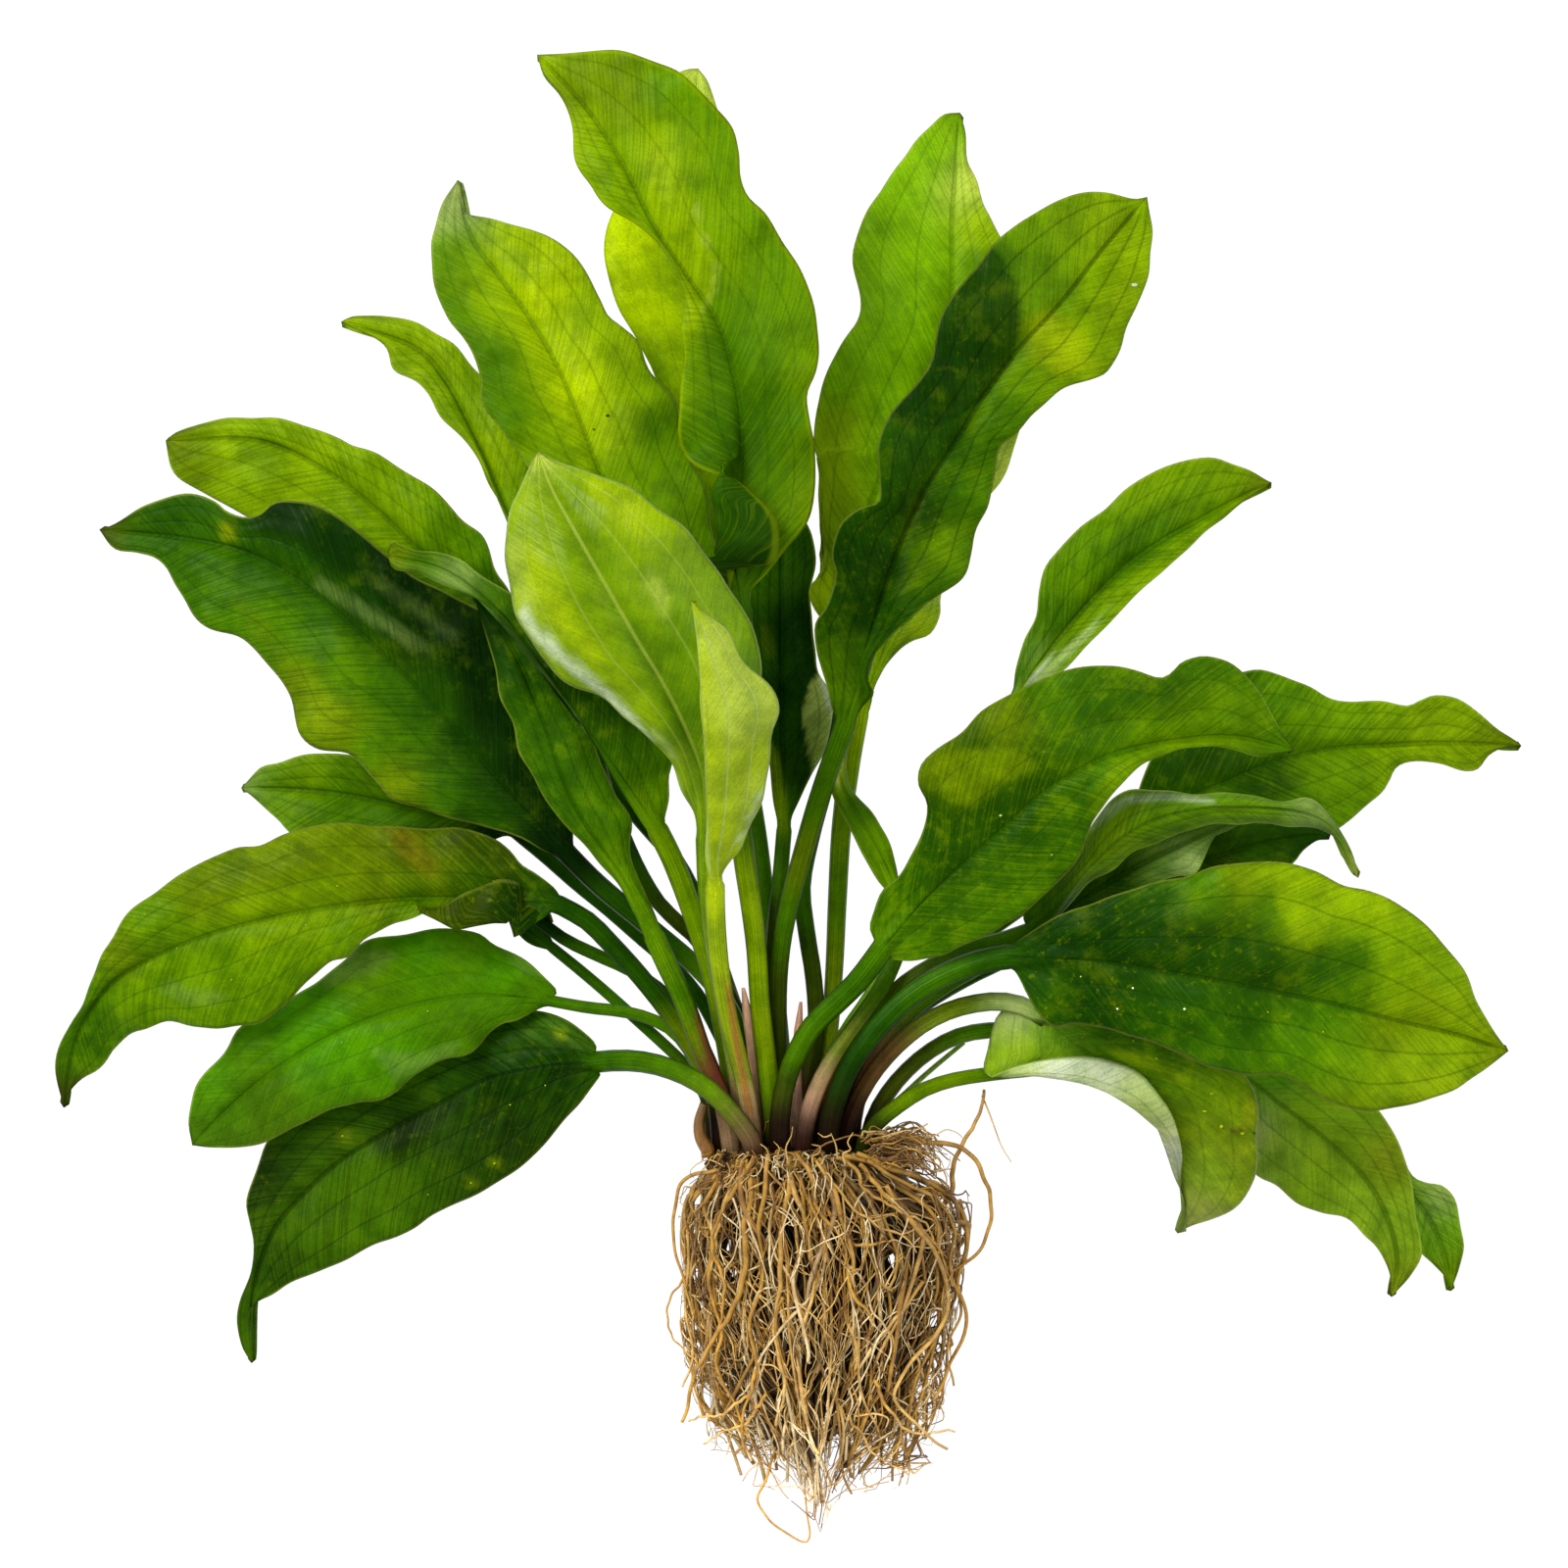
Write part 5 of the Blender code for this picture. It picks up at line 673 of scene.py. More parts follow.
# Small specks on the blades, drawn as low domes: place, half size and tone
SPECKS = {
    "leaf_right_broad": [
        (83.7, 58.1, 0.32, 0.3, "white"), (79.8, 52.8, 0.3, 0.28, "white"), (96.8, 52.8, 0.32, 0.32, "white"),
        (70.5, 61, 0.2, 0.2, "mint"), (118, 52, 0.25, 0.2, "lemon"), (132, 47, 0.25, 0.2, "lemon")],
    "leaf_upper_right_dark": [(84.2, 237, 0.85, 0.45, "white"), (33, 172, 0.2, 0.2, "lemon")],
    "leaf_right_front": [(50, 102, 0.4, 0.28, "mint"), (63, 92, 0.22, 0.2, "pale")],
    "leaf_left_lowest": [
        (-62, 46, 0.3, 0.25, "lemon"), (-79, 13, 0.3, 0.22, "lemon"), (-85, 8, 0.3, 0.22, "lemon"),
        (-118, 20, 0.3, 0.2, "pale"), (-75, 28, 0.22, 0.2, "pale"), (-96, 5, 0.25, 0.2, "lemon"),
        (-66, 33, 0.2, 0.2, "pale")],
    "leaf_left_bright": [(-118, 44, 0.2, 0.18, "mint"), (-96, 52, 0.2, 0.18, "mint")],
    "leaf_left_broad": [
        (-127, 74, 0.22, 0.18, "pale"), (-119, 84, 0.25, 0.2, "yellow"), (-146, 60, 0.2, 0.18, "pale"),
        (-160, 68, 0.2, 0.18, "yellow")],
    "leaf_top_left": [(-50, 204, 0.5, 0.35, "moss"), (-53.5, 200.5, 0.3, 0.25, "moss")],
    "leaf_right_curled": [
        (84, 44.5, 0.3, 0.2, "lemon"), (90, 40, 0.3, 0.2, "lemon"), (104, 31, 0.3, 0.2, "yellow"),
        (102.3, 26.5, 0.6, 0.25, "yellow"), (106.6, 22.6, 0.5, 0.4, "yellow"),
        (112, 20.8, 0.5, 0.3, "yellow"), (109.3, 21.6, 0.6, 0.25, "umber"), (115, 20.9, 0.5, 0.3, "moss")],
}
SPECK_SIDES = 8
SPECK_NEIGHBOURS = 8
# A speck's rings: size as a share of its own, and height over the skin
SPECK_RINGS = ((1.0, -0.25), (1.0, 0.02), (0.7, 0.1))
SPECK_HEIGHT = 0.14
# Where a speck's points count as lying on the blade, for its material: level, width and run
SPECK_PLACE = (0.2, 0.0, 0.0)

# Colours given as they look on a screen, turned into light values below
SCREEN_TONES = {
    "lime": (198, 218, 0), "yellow": (194, 206, 6), "lemon": (172, 198, 2), "pale": (196, 214, 80),
    "mint": (198, 218, 132), "grey": (168, 188, 104), "spring": (152, 184, 2), "bright": (132, 170, 0),
    "vivid": (88, 160, 0), "grass": (108, 155, 0), "green": (82, 134, 0), "middle": (62, 114, 0),
    "deep": (38, 86, 0), "dark": (16, 58, 0), "black": (4, 30, 0), "olive": (116, 142, 2),
    # The sheen tone is painted sheen on the leaves
    "moss": (66, 86, 4), "fresh": (132, 186, 0), "glare": (150, 206, 26), "sheen": (150, 182, 84),
    # The near-black tone of the stalks' very feet is their own dark base and partly painted shade among the
    # roots
    "white": (226, 236, 204), "wine": (132, 62, 46), "amber": (184, 122, 52), "dark_foot_and_shade": (26, 13, 8),
    "blush": (208, 164, 132), "rust": (132, 104, 14), "umber": (112, 82, 40), "brown": (70, 46, 22),
    "maroon": (62, 34, 26), "pink": (172, 122, 92), "flesh": (200, 164, 118), "root_gold": (182, 136, 46),
    "root_tan": (210, 172, 98), "root_pale": (242, 218, 166), "root_brown": (134, 90, 22),
    # The core's dark brown stands for the shade deep inside the root ball
    "root_shade_brown": (56, 34, 6),
}
# How softly the tones that are set at places run into each other
SHADE_SOFTNESS = 6.0
# Where a leaf's underside has no tones of its own: how much it keeps of its upper side's, and
# the light value that it turns to
UNDER_SHARE = 0.72
UNDER_LIGHT = (0.16, 0.26, 0.06)
# How brown a blade's very tip is
TIP_BROWN = 0.35
# The light that passes through a blade, over the light that it sends back
THROUGH_TINT = (1.1, 1.15, 0.3, 1.0)
# How strong a side vein is beside the midrib, and the spacing of the fine strokes
SIDE_VEIN = 0.6
STROKE_SPACING = 0.85


def light_value(tone):
    return tuple(((c / 255 + 0.055) / 1.055) ** 2.4 if c > 10 else c / 3295 for c in tone)


TONES = {name: light_value(tone) for name, tone in SCREEN_TONES.items()}


class Look(NamedTuple):
    """How a leaf looks. What isn't a tone, a size or a list is a strength from 0 to 1."""
    # Tones and the places, read from above, where they are; some are painted shade where other leaves lie
    # above or behind, and the sheen tone is painted sheen
    shades: dict
    # Patches with a clear edge: tone, strength, softness and outline; some are painted shade or painted
    # highlights
    patches: list = ()
    # Tones of the underside, where they are known
    under_shades: dict = None
    # Height of the margin's ruffles in millimetres
    ruffle: float = 0.55
    mottle: float = 0.12
    mottle_tone: str = "lemon"
    speck: float = 0.08
    # Fine strokes, dark and pale
    fine: float = 0.38
    fine_tone: str = "deep"
    pale_stroke: str = "spring"
    vein: float = 0.35
    vein_tone: str = "deep"
    # The pale rim, and its width in millimetres
    rim: float = 0.45
    rim_tone: str = "pale"
    rim_width: float = 0.75
    rough: float = 0.34
    gloss: float = 0.04
    # The share of light that passes through
    glow: float = 0.45
    # How brown the stalk is near the crown, and how dark at its very foot, partly as painted shade among the
    # roots
    base_shade: float = 0.45
    foot_dark: float = 0.88


LOOKS = {
    "leaf_left_large": Look(
        {"moss": [(-178, 175)],
         "middle": [(-168, 172), (-150, 172), (-152, 160), (-125, 150), (-108, 135), (-100, 122),
             (-92, 110)],
         "deep": [(-160, 176), (-142, 168), (-130, 165), (-96, 130), (-82, 104), (-40, 74)],
         # The black places are partly painted shade from the leaves above and behind
         "black": [(-135, 178), (-105, 165), (-100, 146), (-95, 158), (-84, 140), (-80, 128), (-74, 112),
             (-68, 125), (-62, 97)],
         "green": [(-143, 154), (-134, 148), (-118, 138), (-110, 120), (-20, 54)],
         "olive": [(-128, 134), (-118, 124), (-104, 110), (-15, 30)],
         "dark": [(-120, 170), (-112, 155), (-88, 120)]},
        mottle=0.12, mottle_tone="bright", speck=0.1, fine=0.42, fine_tone="dark", pale_stroke="deep",
        vein_tone="dark", rim=0.4, rough=0.3, glow=0.28,
        patches=[
            ("yellow", 0.4, 1.6, [(-149, 176), (-146, 177), (-145, 173), (-148, 172)]),
            ("lemon", 0.4, 2.2, [(-128, 131), (-122, 133), (-116, 127), (-120, 123), (-127, 126)]),
            ("olive", 0.3, 2.2, [(-146, 158), (-136, 152), (-128, 140), (-132, 136), (-142, 150)]),
            # Painted sheen along the veins
            ("sheen", 0.3, 0.8, [(-124, 163), (-110, 155), (-99, 147.5), (-94, 142), (-99, 144.5),
                (-112, 152), (-125, 160)]),
            ("sheen", 0.22, 0.6, [(-108, 163), (-96, 155), (-88, 147), (-90, 146.5), (-98, 153),
                (-109, 160.6)]),
            # Painted shade from the leaves above and behind
            ("black", 0.5, 1.8, [(-128, 183), (-100, 167), (-78, 152), (-70, 140), (-66, 118), (-60, 100),
                (-72, 116), (-82, 132), (-96, 148), (-118, 164), (-130, 172)]),
        ]),
    "leaf_left_upper": Look(
        {"olive": [(-160, 198)], "spring": [(-150, 200), (-125, 196), (-132, 184)],
         "bright": [(-138, 196), (-118, 188), (-110, 190), (-106, 178), (-98, 186), (-120, 174)],
         "grass": [(-90, 182), (-92, 170)], "green": [(-84, 172), (-98, 162)],
         "deep": [(-80, 158), (-60, 125), (-30, 85)], "dark": [(-75, 148)], "moss": [(-10, 35)]},
        mottle=0.14, mottle_tone="lemon", speck=0.12, fine=0.26),
    "leaf_top_left_slender": Look(
        {"spring": [(-118, 228), (-105, 225), (-95, 215), (-80, 195)], "bright": [(-88, 205), (-74, 180)],
         "green": [(-66, 160)], "deep": [(-50, 110)], "moss": [(-20, 58)], "brown": [(-10, 25)]},
        fine=0.18, rim=0.5),
    "leaf_top_left": Look(
        {"grey": [(-92, 258)], "grass": [(-90, 245), (-36, 188), (-40, 170)],
         "green": [(-88, 230), (-80, 218), (-76, 204), (-38, 200), (-30, 160), (-25, 125)],
         "bright": [(-68, 195), (-42, 212), (-48, 185)], "spring": [(-80, 235), (-54, 232), (-48, 220)],
         "lemon": [(-72, 245), (-62, 225), (-50, 202)], "lime": [(-66, 235), (-56, 212)],
         "olive": [(-12, 70)], "brown": [(-12, 25)]},
        ruffle=0.7, mottle=0.05, fine=0.3, fine_tone="green", vein=0.45, vein_tone="middle"),
    "leaf_top_center": Look(
        {"spring": [(-67, 294), (-54, 276), (-30, 226), (-13, 75), (-11, 50)],
         "olive": [(-60, 288), (-46, 284)],
         "grass": [(-34, 286), (-24, 280), (-20, 268), (-12, 255), (-12, 243), (-4, 240), (-20, 232),
             (-10, 230), (0, 228), (-3, 218), (0, 194), (-4, 172), (-8, 24)],
         "bright": [(-47, 272), (-28, 270), (-50, 262), (-42, 258), (-34, 256), (-22, 255), (-36, 244),
             (-28, 240), (-20, 243), (2, 214), (-29, 210), (0, 182)], "lemon": [(-37, 269)],
         "green": [(-20, 222), (-12, 218), (-22, 212), (-2, 205), (-24, 202), (-8, 184), (-8, 165)],
         "middle": [(-16, 206), (-9, 206), (-9, 194), (-17, 150), (-16, 110)], "deep": [(-16, 196)]},
        # The folded foot's outer face: darker greens, partly painted shade
        under_shades={"bright": [(-31, 205)], "green": [(-28, 196)], "middle": [(-24, 190)],
            "deep": [(-18, 184), (-14, 176), (-14, 150)], "dark": [(-12, 166)], "olive": [(-10, 40)],
            "spring": [(-40, 260)]},
        ruffle=0.75, mottle=0.1, mottle_tone="green", fine=0.3, fine_tone="middle", vein_tone="deep",
        rim=0.6, rim_tone="lemon", rim_width=1.6,
        patches=[
            # A paler strip by the bent left margin, partly painted light where the bend catches it
            ("lemon", 0.6, 0.7, [(-38, 277), (-32, 267), (-28, 257), (-25, 248), (-22.3, 242), (-22.8, 236),
                (-26, 230), (-29, 225), (-30, 234), (-32, 242), (-36, 248), (-40, 260), (-39, 270)]),
            # Painted highlight along the ridge
            ("pale", 0.5, 0.5, [(-28.4, 257), (-25.4, 248), (-22.7, 242), (-23.2, 236), (-26.4, 229.5),
                (-25.6, 229.5), (-22.2, 236), (-21.7, 242), (-24.6, 248.3), (-27.5, 257.4)]),
            ("middle", 0.3, 1.2, [(-21, 240), (-12, 232), (-14, 215), (-22, 205), (-27, 222), (-24, 231)]),
        ]),
    "leaf_top_behind": Look(
        {"lime": [(-45, 248), (-42, 235), (-40, 265)], "spring": [(-36, 240), (-33, 215)],
         "pale": [(-28, 290)], "lemon": [(-28, 200)], "bright": [(-20, 170)], "green": [(-10, 90)],
         "olive": [(-5, 25)]},
        mottle=0.04, fine=0.06, fine_tone="bright", vein=0.12, vein_tone="bright", rim_tone="lime"),
    "leaf_top_right": Look(
        {"grass": [(38, 282), (18, 248), (45, 240), (17, 232), (40, 225)],
         "fresh": [(34, 272), (24, 262), (32, 245), (28, 228), (12, 215), (22, 208), (20, 190)],
         "pale": [(43, 265)], "spring": [(46, 252), (8, 200), (10, 185)], "green": [(34, 210), (12, 165)],
         "deep": [(42, 212), (8, 140)], "lemon": [(4, 165)], "middle": [(0, 90)], "moss": [(3, 50)],
         "maroon": [(-2, 22)]},
        mottle=0.03, fine=0.34, fine_tone="green", vein=0.4, vein_tone="middle", glow=0.34),
    "leaf_upper_right_dark": Look(
        {"bright": [(86, 256), (66, 252), (74, 242), (70, 225), (64, 212)],
         "spring": [(78, 254), (85, 242), (80, 228), (72, 216)],
         "grass": [(58, 248), (62, 240), (62, 228), (56, 212), (38, 170), (8, 138)],
         "middle": [(50, 240), (42, 232), (44, 206), (38, 186), (32, 166), (30, 156)],
         "deep": [(45, 222), (34, 218), (36, 200), (26, 200), (21, 188), (14, 175), (22, 152), (6, 150),
             (15, 140)], "green": [(54, 204), (48, 194), (45, 183), (6, 120), (3, 105), (-4, 74)],
         "dark": [(30, 180), (24, 165), (11, 168), (15, 155)], "olive": [(0, 92)],
         "moss": [(-6, 56), (-6, 40)], "brown": [(-6, 20)]},
        mottle=0.1, mottle_tone="lemon", speck=0.14, fine=0.22, fine_tone="black", pale_stroke="deep",
        vein=0.55, vein_tone="black", rim=0.3,
        patches=[
            # Painted shade where the leaf beneath shows through darker
            ("dark", 0.75, 0.6, [(40, 250), (48, 247.5), (54, 238), (55.5, 228), (53, 217), (46, 208),
                (38, 202), (28, 200), (20, 205), (22, 225)]),
            ("yellow", 0.45, 2.2, [(56, 227), (62, 231), (71, 225), (73, 217), (66, 214), (58, 218)]),
            ("bright", 0.35, 2.0, [(24, 158), (30, 160), (38, 168), (42, 176), (36, 176), (28, 168)]),
        ]),
    "leaf_right_upper": Look(
        {"olive": [(118, 187), (45, 118), (8, 42)], "bright": [(108, 189), (95, 189), (85, 184), (80, 155)],
         "grass": [(100, 182), (75, 177), (65, 164)],
         "green": [(90, 175), (76, 165), (62, 150), (58, 138), (30, 90), (20, 60)],
         "middle": [(84, 168), (66, 152)], "sheen": [(64, 140)], "flesh": [(4, 35)], "blush": [(0, 27)],
         "wine": [(-1, 20)]},
        mottle=0.06, fine=0.28, rim=0.6, base_shade=0.12,
        patches=[
            # The paler underside along the lower margin near the foot, with painted sheen on it
            ("bright", 0.7, 0.8, [(54, 133), (63.9, 147.8), (79.4, 160), (95, 172.5), (110, 181),
                (96, 167.5), (86, 158.5), (72.8, 145), (63.5, 137)]),
            ("mint", 0.7, 0.5, [(56, 131), (60, 138), (68, 146), (76, 153), (74, 149), (66, 141),
                (60, 134)]),
            ("white", 0.6, 0.4, [(55, 131.5), (57.5, 137), (64, 144), (62.5, 141), (58, 135)]),
        ]),
    "leaf_right_far": Look(
        {"olive": [(180, 121)], "spring": [(170, 128), (160, 122)], "bright": [(150, 126), (148, 114)],
         "grass": [(140, 122), (130, 128), (135, 112), (138, 104)],
         "green": [(120, 132), (125, 102), (40, 68)],
         "deep": [(110, 130), (100, 120), (118, 112), (80, 97)], "middle": [(105, 105)], "moss": [(10, 35)],
         "brown": [(6, 20)]},
        mottle=0.22, mottle_tone="spring", speck=0.15, fine=0.3),
    "leaf_right_front": Look(
        {"green": [(122, 121), (106, 137), (78, 114), (62, 132), (58, 84), (22, 74), (46, 76), (28, 68),
             (-2, 42)], "grass": [(114, 126), (100, 130), (108, 121), (94, 122), (88, 122)],
         "middle": [(98, 140), (80, 133), (70, 126), (68, 108), (66, 97), (50, 88), (30, 84), (36, 74),
             (12, 57)],
         "deep": [(90, 134), (58, 114), (44, 116), (46, 102), (56, 100), (33, 102), (38, 90)],
         "olive": [(52, 126), (36, 114)], "moss": [(-5, 32)], "maroon": [(-6, 20)]},
        mottle=0.3, mottle_tone="spring", speck=0.3, fine=0.26, vein_tone="deep", rim=0.3,
        patches=[
            ("lemon", 0.35, 1.5, [(33, 116), (38, 118), (46, 119), (56, 118), (60, 114), (50, 110),
                (42, 104), (36, 106), (38, 112)]),
            ("bright", 0.5, 1.5, [(72, 106), (80, 115), (90, 121), (104, 123), (116, 120), (104, 118),
                (90, 116), (80, 108), (75, 100)]),
        ]),
    "leaf_right_arched": Look(
        {"pale": [(141, 88)], "grass": [(138, 96), (118, 105), (105, 103), (95, 103), (88, 98), (76, 88)],
         "sheen": [(130, 103)], "bright": [(78, 98), (72, 92)], "green": [(62, 80), (50, 70)],
         "deep": [(66, 78)], "olive": [(20, 52)], "pink": [(4, 22)]},
        mottle=0.05, rim=0.6, gloss=0.08,
        patches=[
            # Painted highlight along the drooping upper margin
            ("white", 0.5, 0.8, [(73, 98), (76, 103.5), (82, 107), (92, 107.6), (104, 106.2), (104, 105),
                (92, 106), (82, 105), (77, 101)]),
        ]),
    "leaf_right_under": Look(
        {"deep": [(66, 78), (80, 86)], "green": [(92, 90), (100, 96), (40, 60)], "mint": [(98, 90)],
         "pink": [(13, 24)]},
        fine=0.2),
    "leaf_right_under_low": Look(
        {"deep": [(85, 84), (100, 90), (122, 92), (130, 96)], "middle": [(115, 92), (40, 58)],
         "moss": [(110, 86)], "brown": [(10, 24)]},
        mottle=0.3, mottle_tone="olive", fine=0.15),
    "leaf_right_broad": Look(
        {"olive": [(176, 43), (112, 87), (158, 54), (148, 46)],
         "spring": [(168, 52), (146, 79), (136, 84), (165, 42), (158, 34)],
         "bright": [(166, 62), (156, 72), (124, 87), (128, 76), (150, 62), (146, 32)],
         "green": [(102, 84), (142, 66), (124, 42)],
         "deep": [(90, 82), (132, 62), (100, 55), (112, 50), (90, 50), (62, 56), (50, 66), (18, 47)],
         "middle": [(120, 78), (138, 54), (130, 50), (105, 42), (36, 61)], "grass": [(138, 42)],
         "dark": [(120, 62), (112, 70), (100, 68), (90, 74), (78, 72), (75, 54), (65, 68), (10, 34)],
         "black": [(6, 20)]},
        mottle=0.1, mottle_tone="lemon", speck=0.25, fine=0.26, fine_tone="deep", pale_stroke="green",
        vein=0.5, vein_tone="dark", rim=0.35, glow=0.32,
        patches=[
            ("spring", 0.6, 1.5, [(112, 89), (122, 90), (134, 86), (136, 80), (133, 73), (129, 66),
                (125, 70), (121, 77), (119, 84)]),
            ("deep", 0.5, 1.8, [(96, 66), (120, 62), (140, 60), (147, 64), (142, 70), (134, 70), (124, 68),
                (112, 72)]),
        ]),
    "leaf_right_curled": Look(
        {"pale": [(97, -2), (103, 1)], "glare": [(106, 8), (100, 12)],
         "bright": [(112, 6), (106, 20), (98, 22), (49, 40), (52, 44), (58, 42)], "spring": [(113, 16)],
         "grass": [(104, 32), (112, 30)], "green": [(94, 34), (62, 46)], "deep": [(96, 42)],
         "middle": [(84, 42), (75, 46)], "mint": [(53, 50)], "olive": [(40, 53)], "umber": [(20, 38)],
         "maroon": [(12, 22)]},
        under_shades={"bright": [(48, 36), (96, 5)], "mint": [(55, 37), (84, 32), (90, 25), (72, 33)],
            "white": [(66, 38), (76, 36), (95, 15)], "sheen": [(86, 26)], "olive": [(40, 53)],
            "umber": [(20, 38)], "maroon": [(12, 22)]},
        mottle=0.22, mottle_tone="lemon", speck=0.3, fine=0.16, rim_tone="mint", rough=0.3, glow=0.16,
        patches=[
            ("yellow", 0.55, 0.8, [(112.5, 30), (115.5, 29), (115.5, 24), (113.5, 23)]),
            ("brown", 0.6, 0.5, [(103, 23.5), (108, 21.5), (113, 20.5), (115.5, 20), (115.5, 21.3),
                (108, 22.6)]),
            ("lemon", 0.35, 1.0, [(76, 43), (84, 42), (92, 38), (98, 35), (99, 33), (90, 36), (80, 40)]),
        ]),
    "leaf_right_low": Look(
        {"spring": [(150, -18), (150, 14)], "glare": [(148, -8), (154, 0), (140, 4), (120, 14), (138, 28)],
         "fresh": [(132, 8), (140, 20), (128, 24), (108, 30)], "mint": [(112, 20)], "vivid": [(118, 36)],
         "middle": [(102, 38)], "green": [(60, 47)], "moss": [(20, 30)]},
        mottle=0.1, fine=0.16, vein=0.5, glow=0.16),
    "leaf_right_lowest": Look(
        {"bright": [(166, -16), (30, 32)], "fresh": [(167, -4)], "mint": [(162, 4)],
         "glare": [(156, 2), (160, -6)], "grass": [(148, 12), (16, 20)], "middle": [(130, 30)],
         "green": [(60, 37)]},
        glow=0.55, base_shade=0.15),
    "leaf_left_broad": Look(
        {"moss": [(-190, 30), (-102, 97), (-92, 97), (-86, 94), (-76, 90)],
         "green": [(-188, 42), (-182, 58), (-100, 80)], "middle": [(-182, 46), (-84, 86)],
         "olive": [(-176, 66), (-154, 82), (-140, 88), (-126, 92), (-112, 94), (-108, 82), (-96, 90),
             (-26, 38)],
         "grass": [(-170, 54), (-166, 74), (-160, 60), (-150, 66), (-145, 54), (-132, 62), (-116, 70)],
         "bright": [(-138, 74), (-124, 80)], "deep": [(-70, 86), (-60, 79), (-42, 62)],
         "brown": [(-21, 20)]},
        under_shades={"moss": [(-95, 78), (-85, 82)], "dark": [(-75, 80), (-65, 78)],
            "olive": [(-130, 75), (-26, 38)], "green": [(-170, 55)]},
        mottle=0.16, mottle_tone="lemon", speck=0.25, fine=0.26, rim=0.4,
        patches=[
            ("rust", 0.45, 1.6, [(-106, 99), (-100, 99), (-97, 94), (-93, 90), (-94, 86), (-99, 88),
                (-104, 93)]),
            # Painted sheen
            ("sheen", 0.3, 1.4, [(-162, 60), (-156, 57), (-148, 57), (-150, 54), (-158, 54), (-164, 57)]),
        ]),
    "leaf_left_small": Look(
        {"sheen": [(-144, 109)], "grass": [(-136, 108), (-112, 112)], "bright": [(-128, 112)],
         "green": [(-120, 106), (-104, 106), (-108, 98), (-96, 98)],
         "deep": [(-92, 104), (-60, 86), (-30, 60)], "dark": [(-80, 98)], "brown": [(-12, 22)]},
        mottle=0.06, fine=0.26),
    "leaf_left_bright": Look(
        {"vivid": [(-156, 20), (-150, 28), (-125, 52), (-120, 40), (-98, 68), (-102, 38), (-76, 62)],
         "green": [(-140, 34), (-105, 58), (-88, 66), (-88, 48), (-72, 55), (-60, 54), (-35, 47)],
         "grass": [(-112, 62)], "moss": [(-23, 22)]},
        mottle=0.03, fine=0.16, fine_tone="green", vein=0.4, vein_tone="middle", rim=0.5, rough=0.3,
        patches=[
            # Painted sheen
            ("sheen", 0.5, 1.5, [(-126, 62), (-118, 66), (-108, 68), (-104, 66), (-112, 62), (-122, 58)]),
            ("sheen", 0.35, 1.5, [(-110, 42), (-98, 41), (-88, 44), (-92, 38), (-104, 34)]),
            ("sheen", 0.3, 1.2, [(-78, 68), (-68, 63), (-64, 60), (-72, 62)]),
        ]),
    "leaf_left_lowest": Look(
        {"green": [(-142, -36), (-120, 4), (-110, 8), (-98, 42), (-108, -2), (-124, -10), (-36, 38)],
         "middle": [(-142, -25), (-130, -2), (-128, 15), (-118, 26), (-106, 34), (-92, 46), (-66, 48),
             (-100, 8), (-50, 39)], "deep": [(-135, -14), (-90, 34), (-80, 44), (-88, 16), (-64, 28)],
         "dark": [(-138, 8), (-102, 22), (-80, 32), (-62, 38), (-76, 22), (-70, 38)], "grass": [(-24, 31)],
         "olive": [(-18, 25)], "flesh": [(-14, 20)], "wine": [(-12, 17)]},
        mottle=0.15, mottle_tone="olive", speck=0.35, fine=0.35, fine_tone="black", pale_stroke="middle",
        vein=0.5, vein_tone="black", rim=0.35, base_shade=0.15, foot_dark=0.5,
        patches=[
            ("black", 0.45, 1.6, [(-112, 19), (-100, 25), (-88, 31), (-86, 28), (-96, 20), (-106, 14)]),
            ("lemon", 0.4, 0.9, [(-64, 47), (-61, 48), (-60, 45), (-63, 44)]),
            ("lemon", 0.45, 0.7, [(-80, 14), (-78, 14.5), (-77.5, 12), (-80, 12)]),
            ("lemon", 0.4, 0.8, [(-86, 9), (-84, 9.5), (-83, 7), (-86, 6.5)]),
            ("lemon", 0.35, 1.2, [(-120, 22), (-116, 22), (-115, 18), (-119, 18)]),
        ]),
    "leaf_front_pale_large": Look(
        {"pale": [(-68, 194)],
         "spring": [(-68, 184), (-50, 184), (-38, 174), (-73, 172), (-70, 158), (-66, 147), (-58, 142),
             (-48, 134), (-38, 130), (-30, 116), (-18, 45)],
         "bright": [(-60, 184), (-58, 165), (-52, 152), (-48, 168), (-38, 160), (-30, 166), (-24, 155),
             (-42, 145), (-22, 148), (-26, 104), (-25, 90), (-22, 65)], "lemon": [(-44, 180)],
         "grass": [(-32, 145), (-28, 130)], "green": [(-20, 138)], "flesh": [(-16, 26)]},
        mottle=0.05, mottle_tone="lime", speck=0.05, fine=0.2, fine_tone="grass", vein=0.5,
        vein_tone="pale", rim=0.7, rim_tone="mint", rough=0.24, gloss=0.14,
        patches=[
            ("green", 0.5, 2.6, [(-50, 158), (-44, 155), (-36, 142), (-29, 128), (-24, 113), (-27, 110),
                (-34, 122), (-43, 140)]),
            ("grass", 0.45, 2.4, [(-60, 180), (-54, 176), (-46, 164), (-50, 160), (-58, 170)]),
            ("lime", 0.45, 1.8, [(-56, 188), (-46, 184), (-40, 178), (-40, 170), (-46, 176), (-54, 182)]),
            ("pale", 0.55, 1.0, [(-40, 165), (-37, 163), (-34, 157), (-34, 152), (-38, 156), (-40, 161)]),
            ("lime", 0.5, 1.6, [(-72, 172), (-66, 172), (-60, 156), (-50, 142), (-54, 140), (-64, 150),
                (-70, 160)]),
            ("pale", 0.6, 1.2, [(-76, 172), (-73, 174), (-71, 163), (-67, 152), (-70, 150), (-75, 160)]),
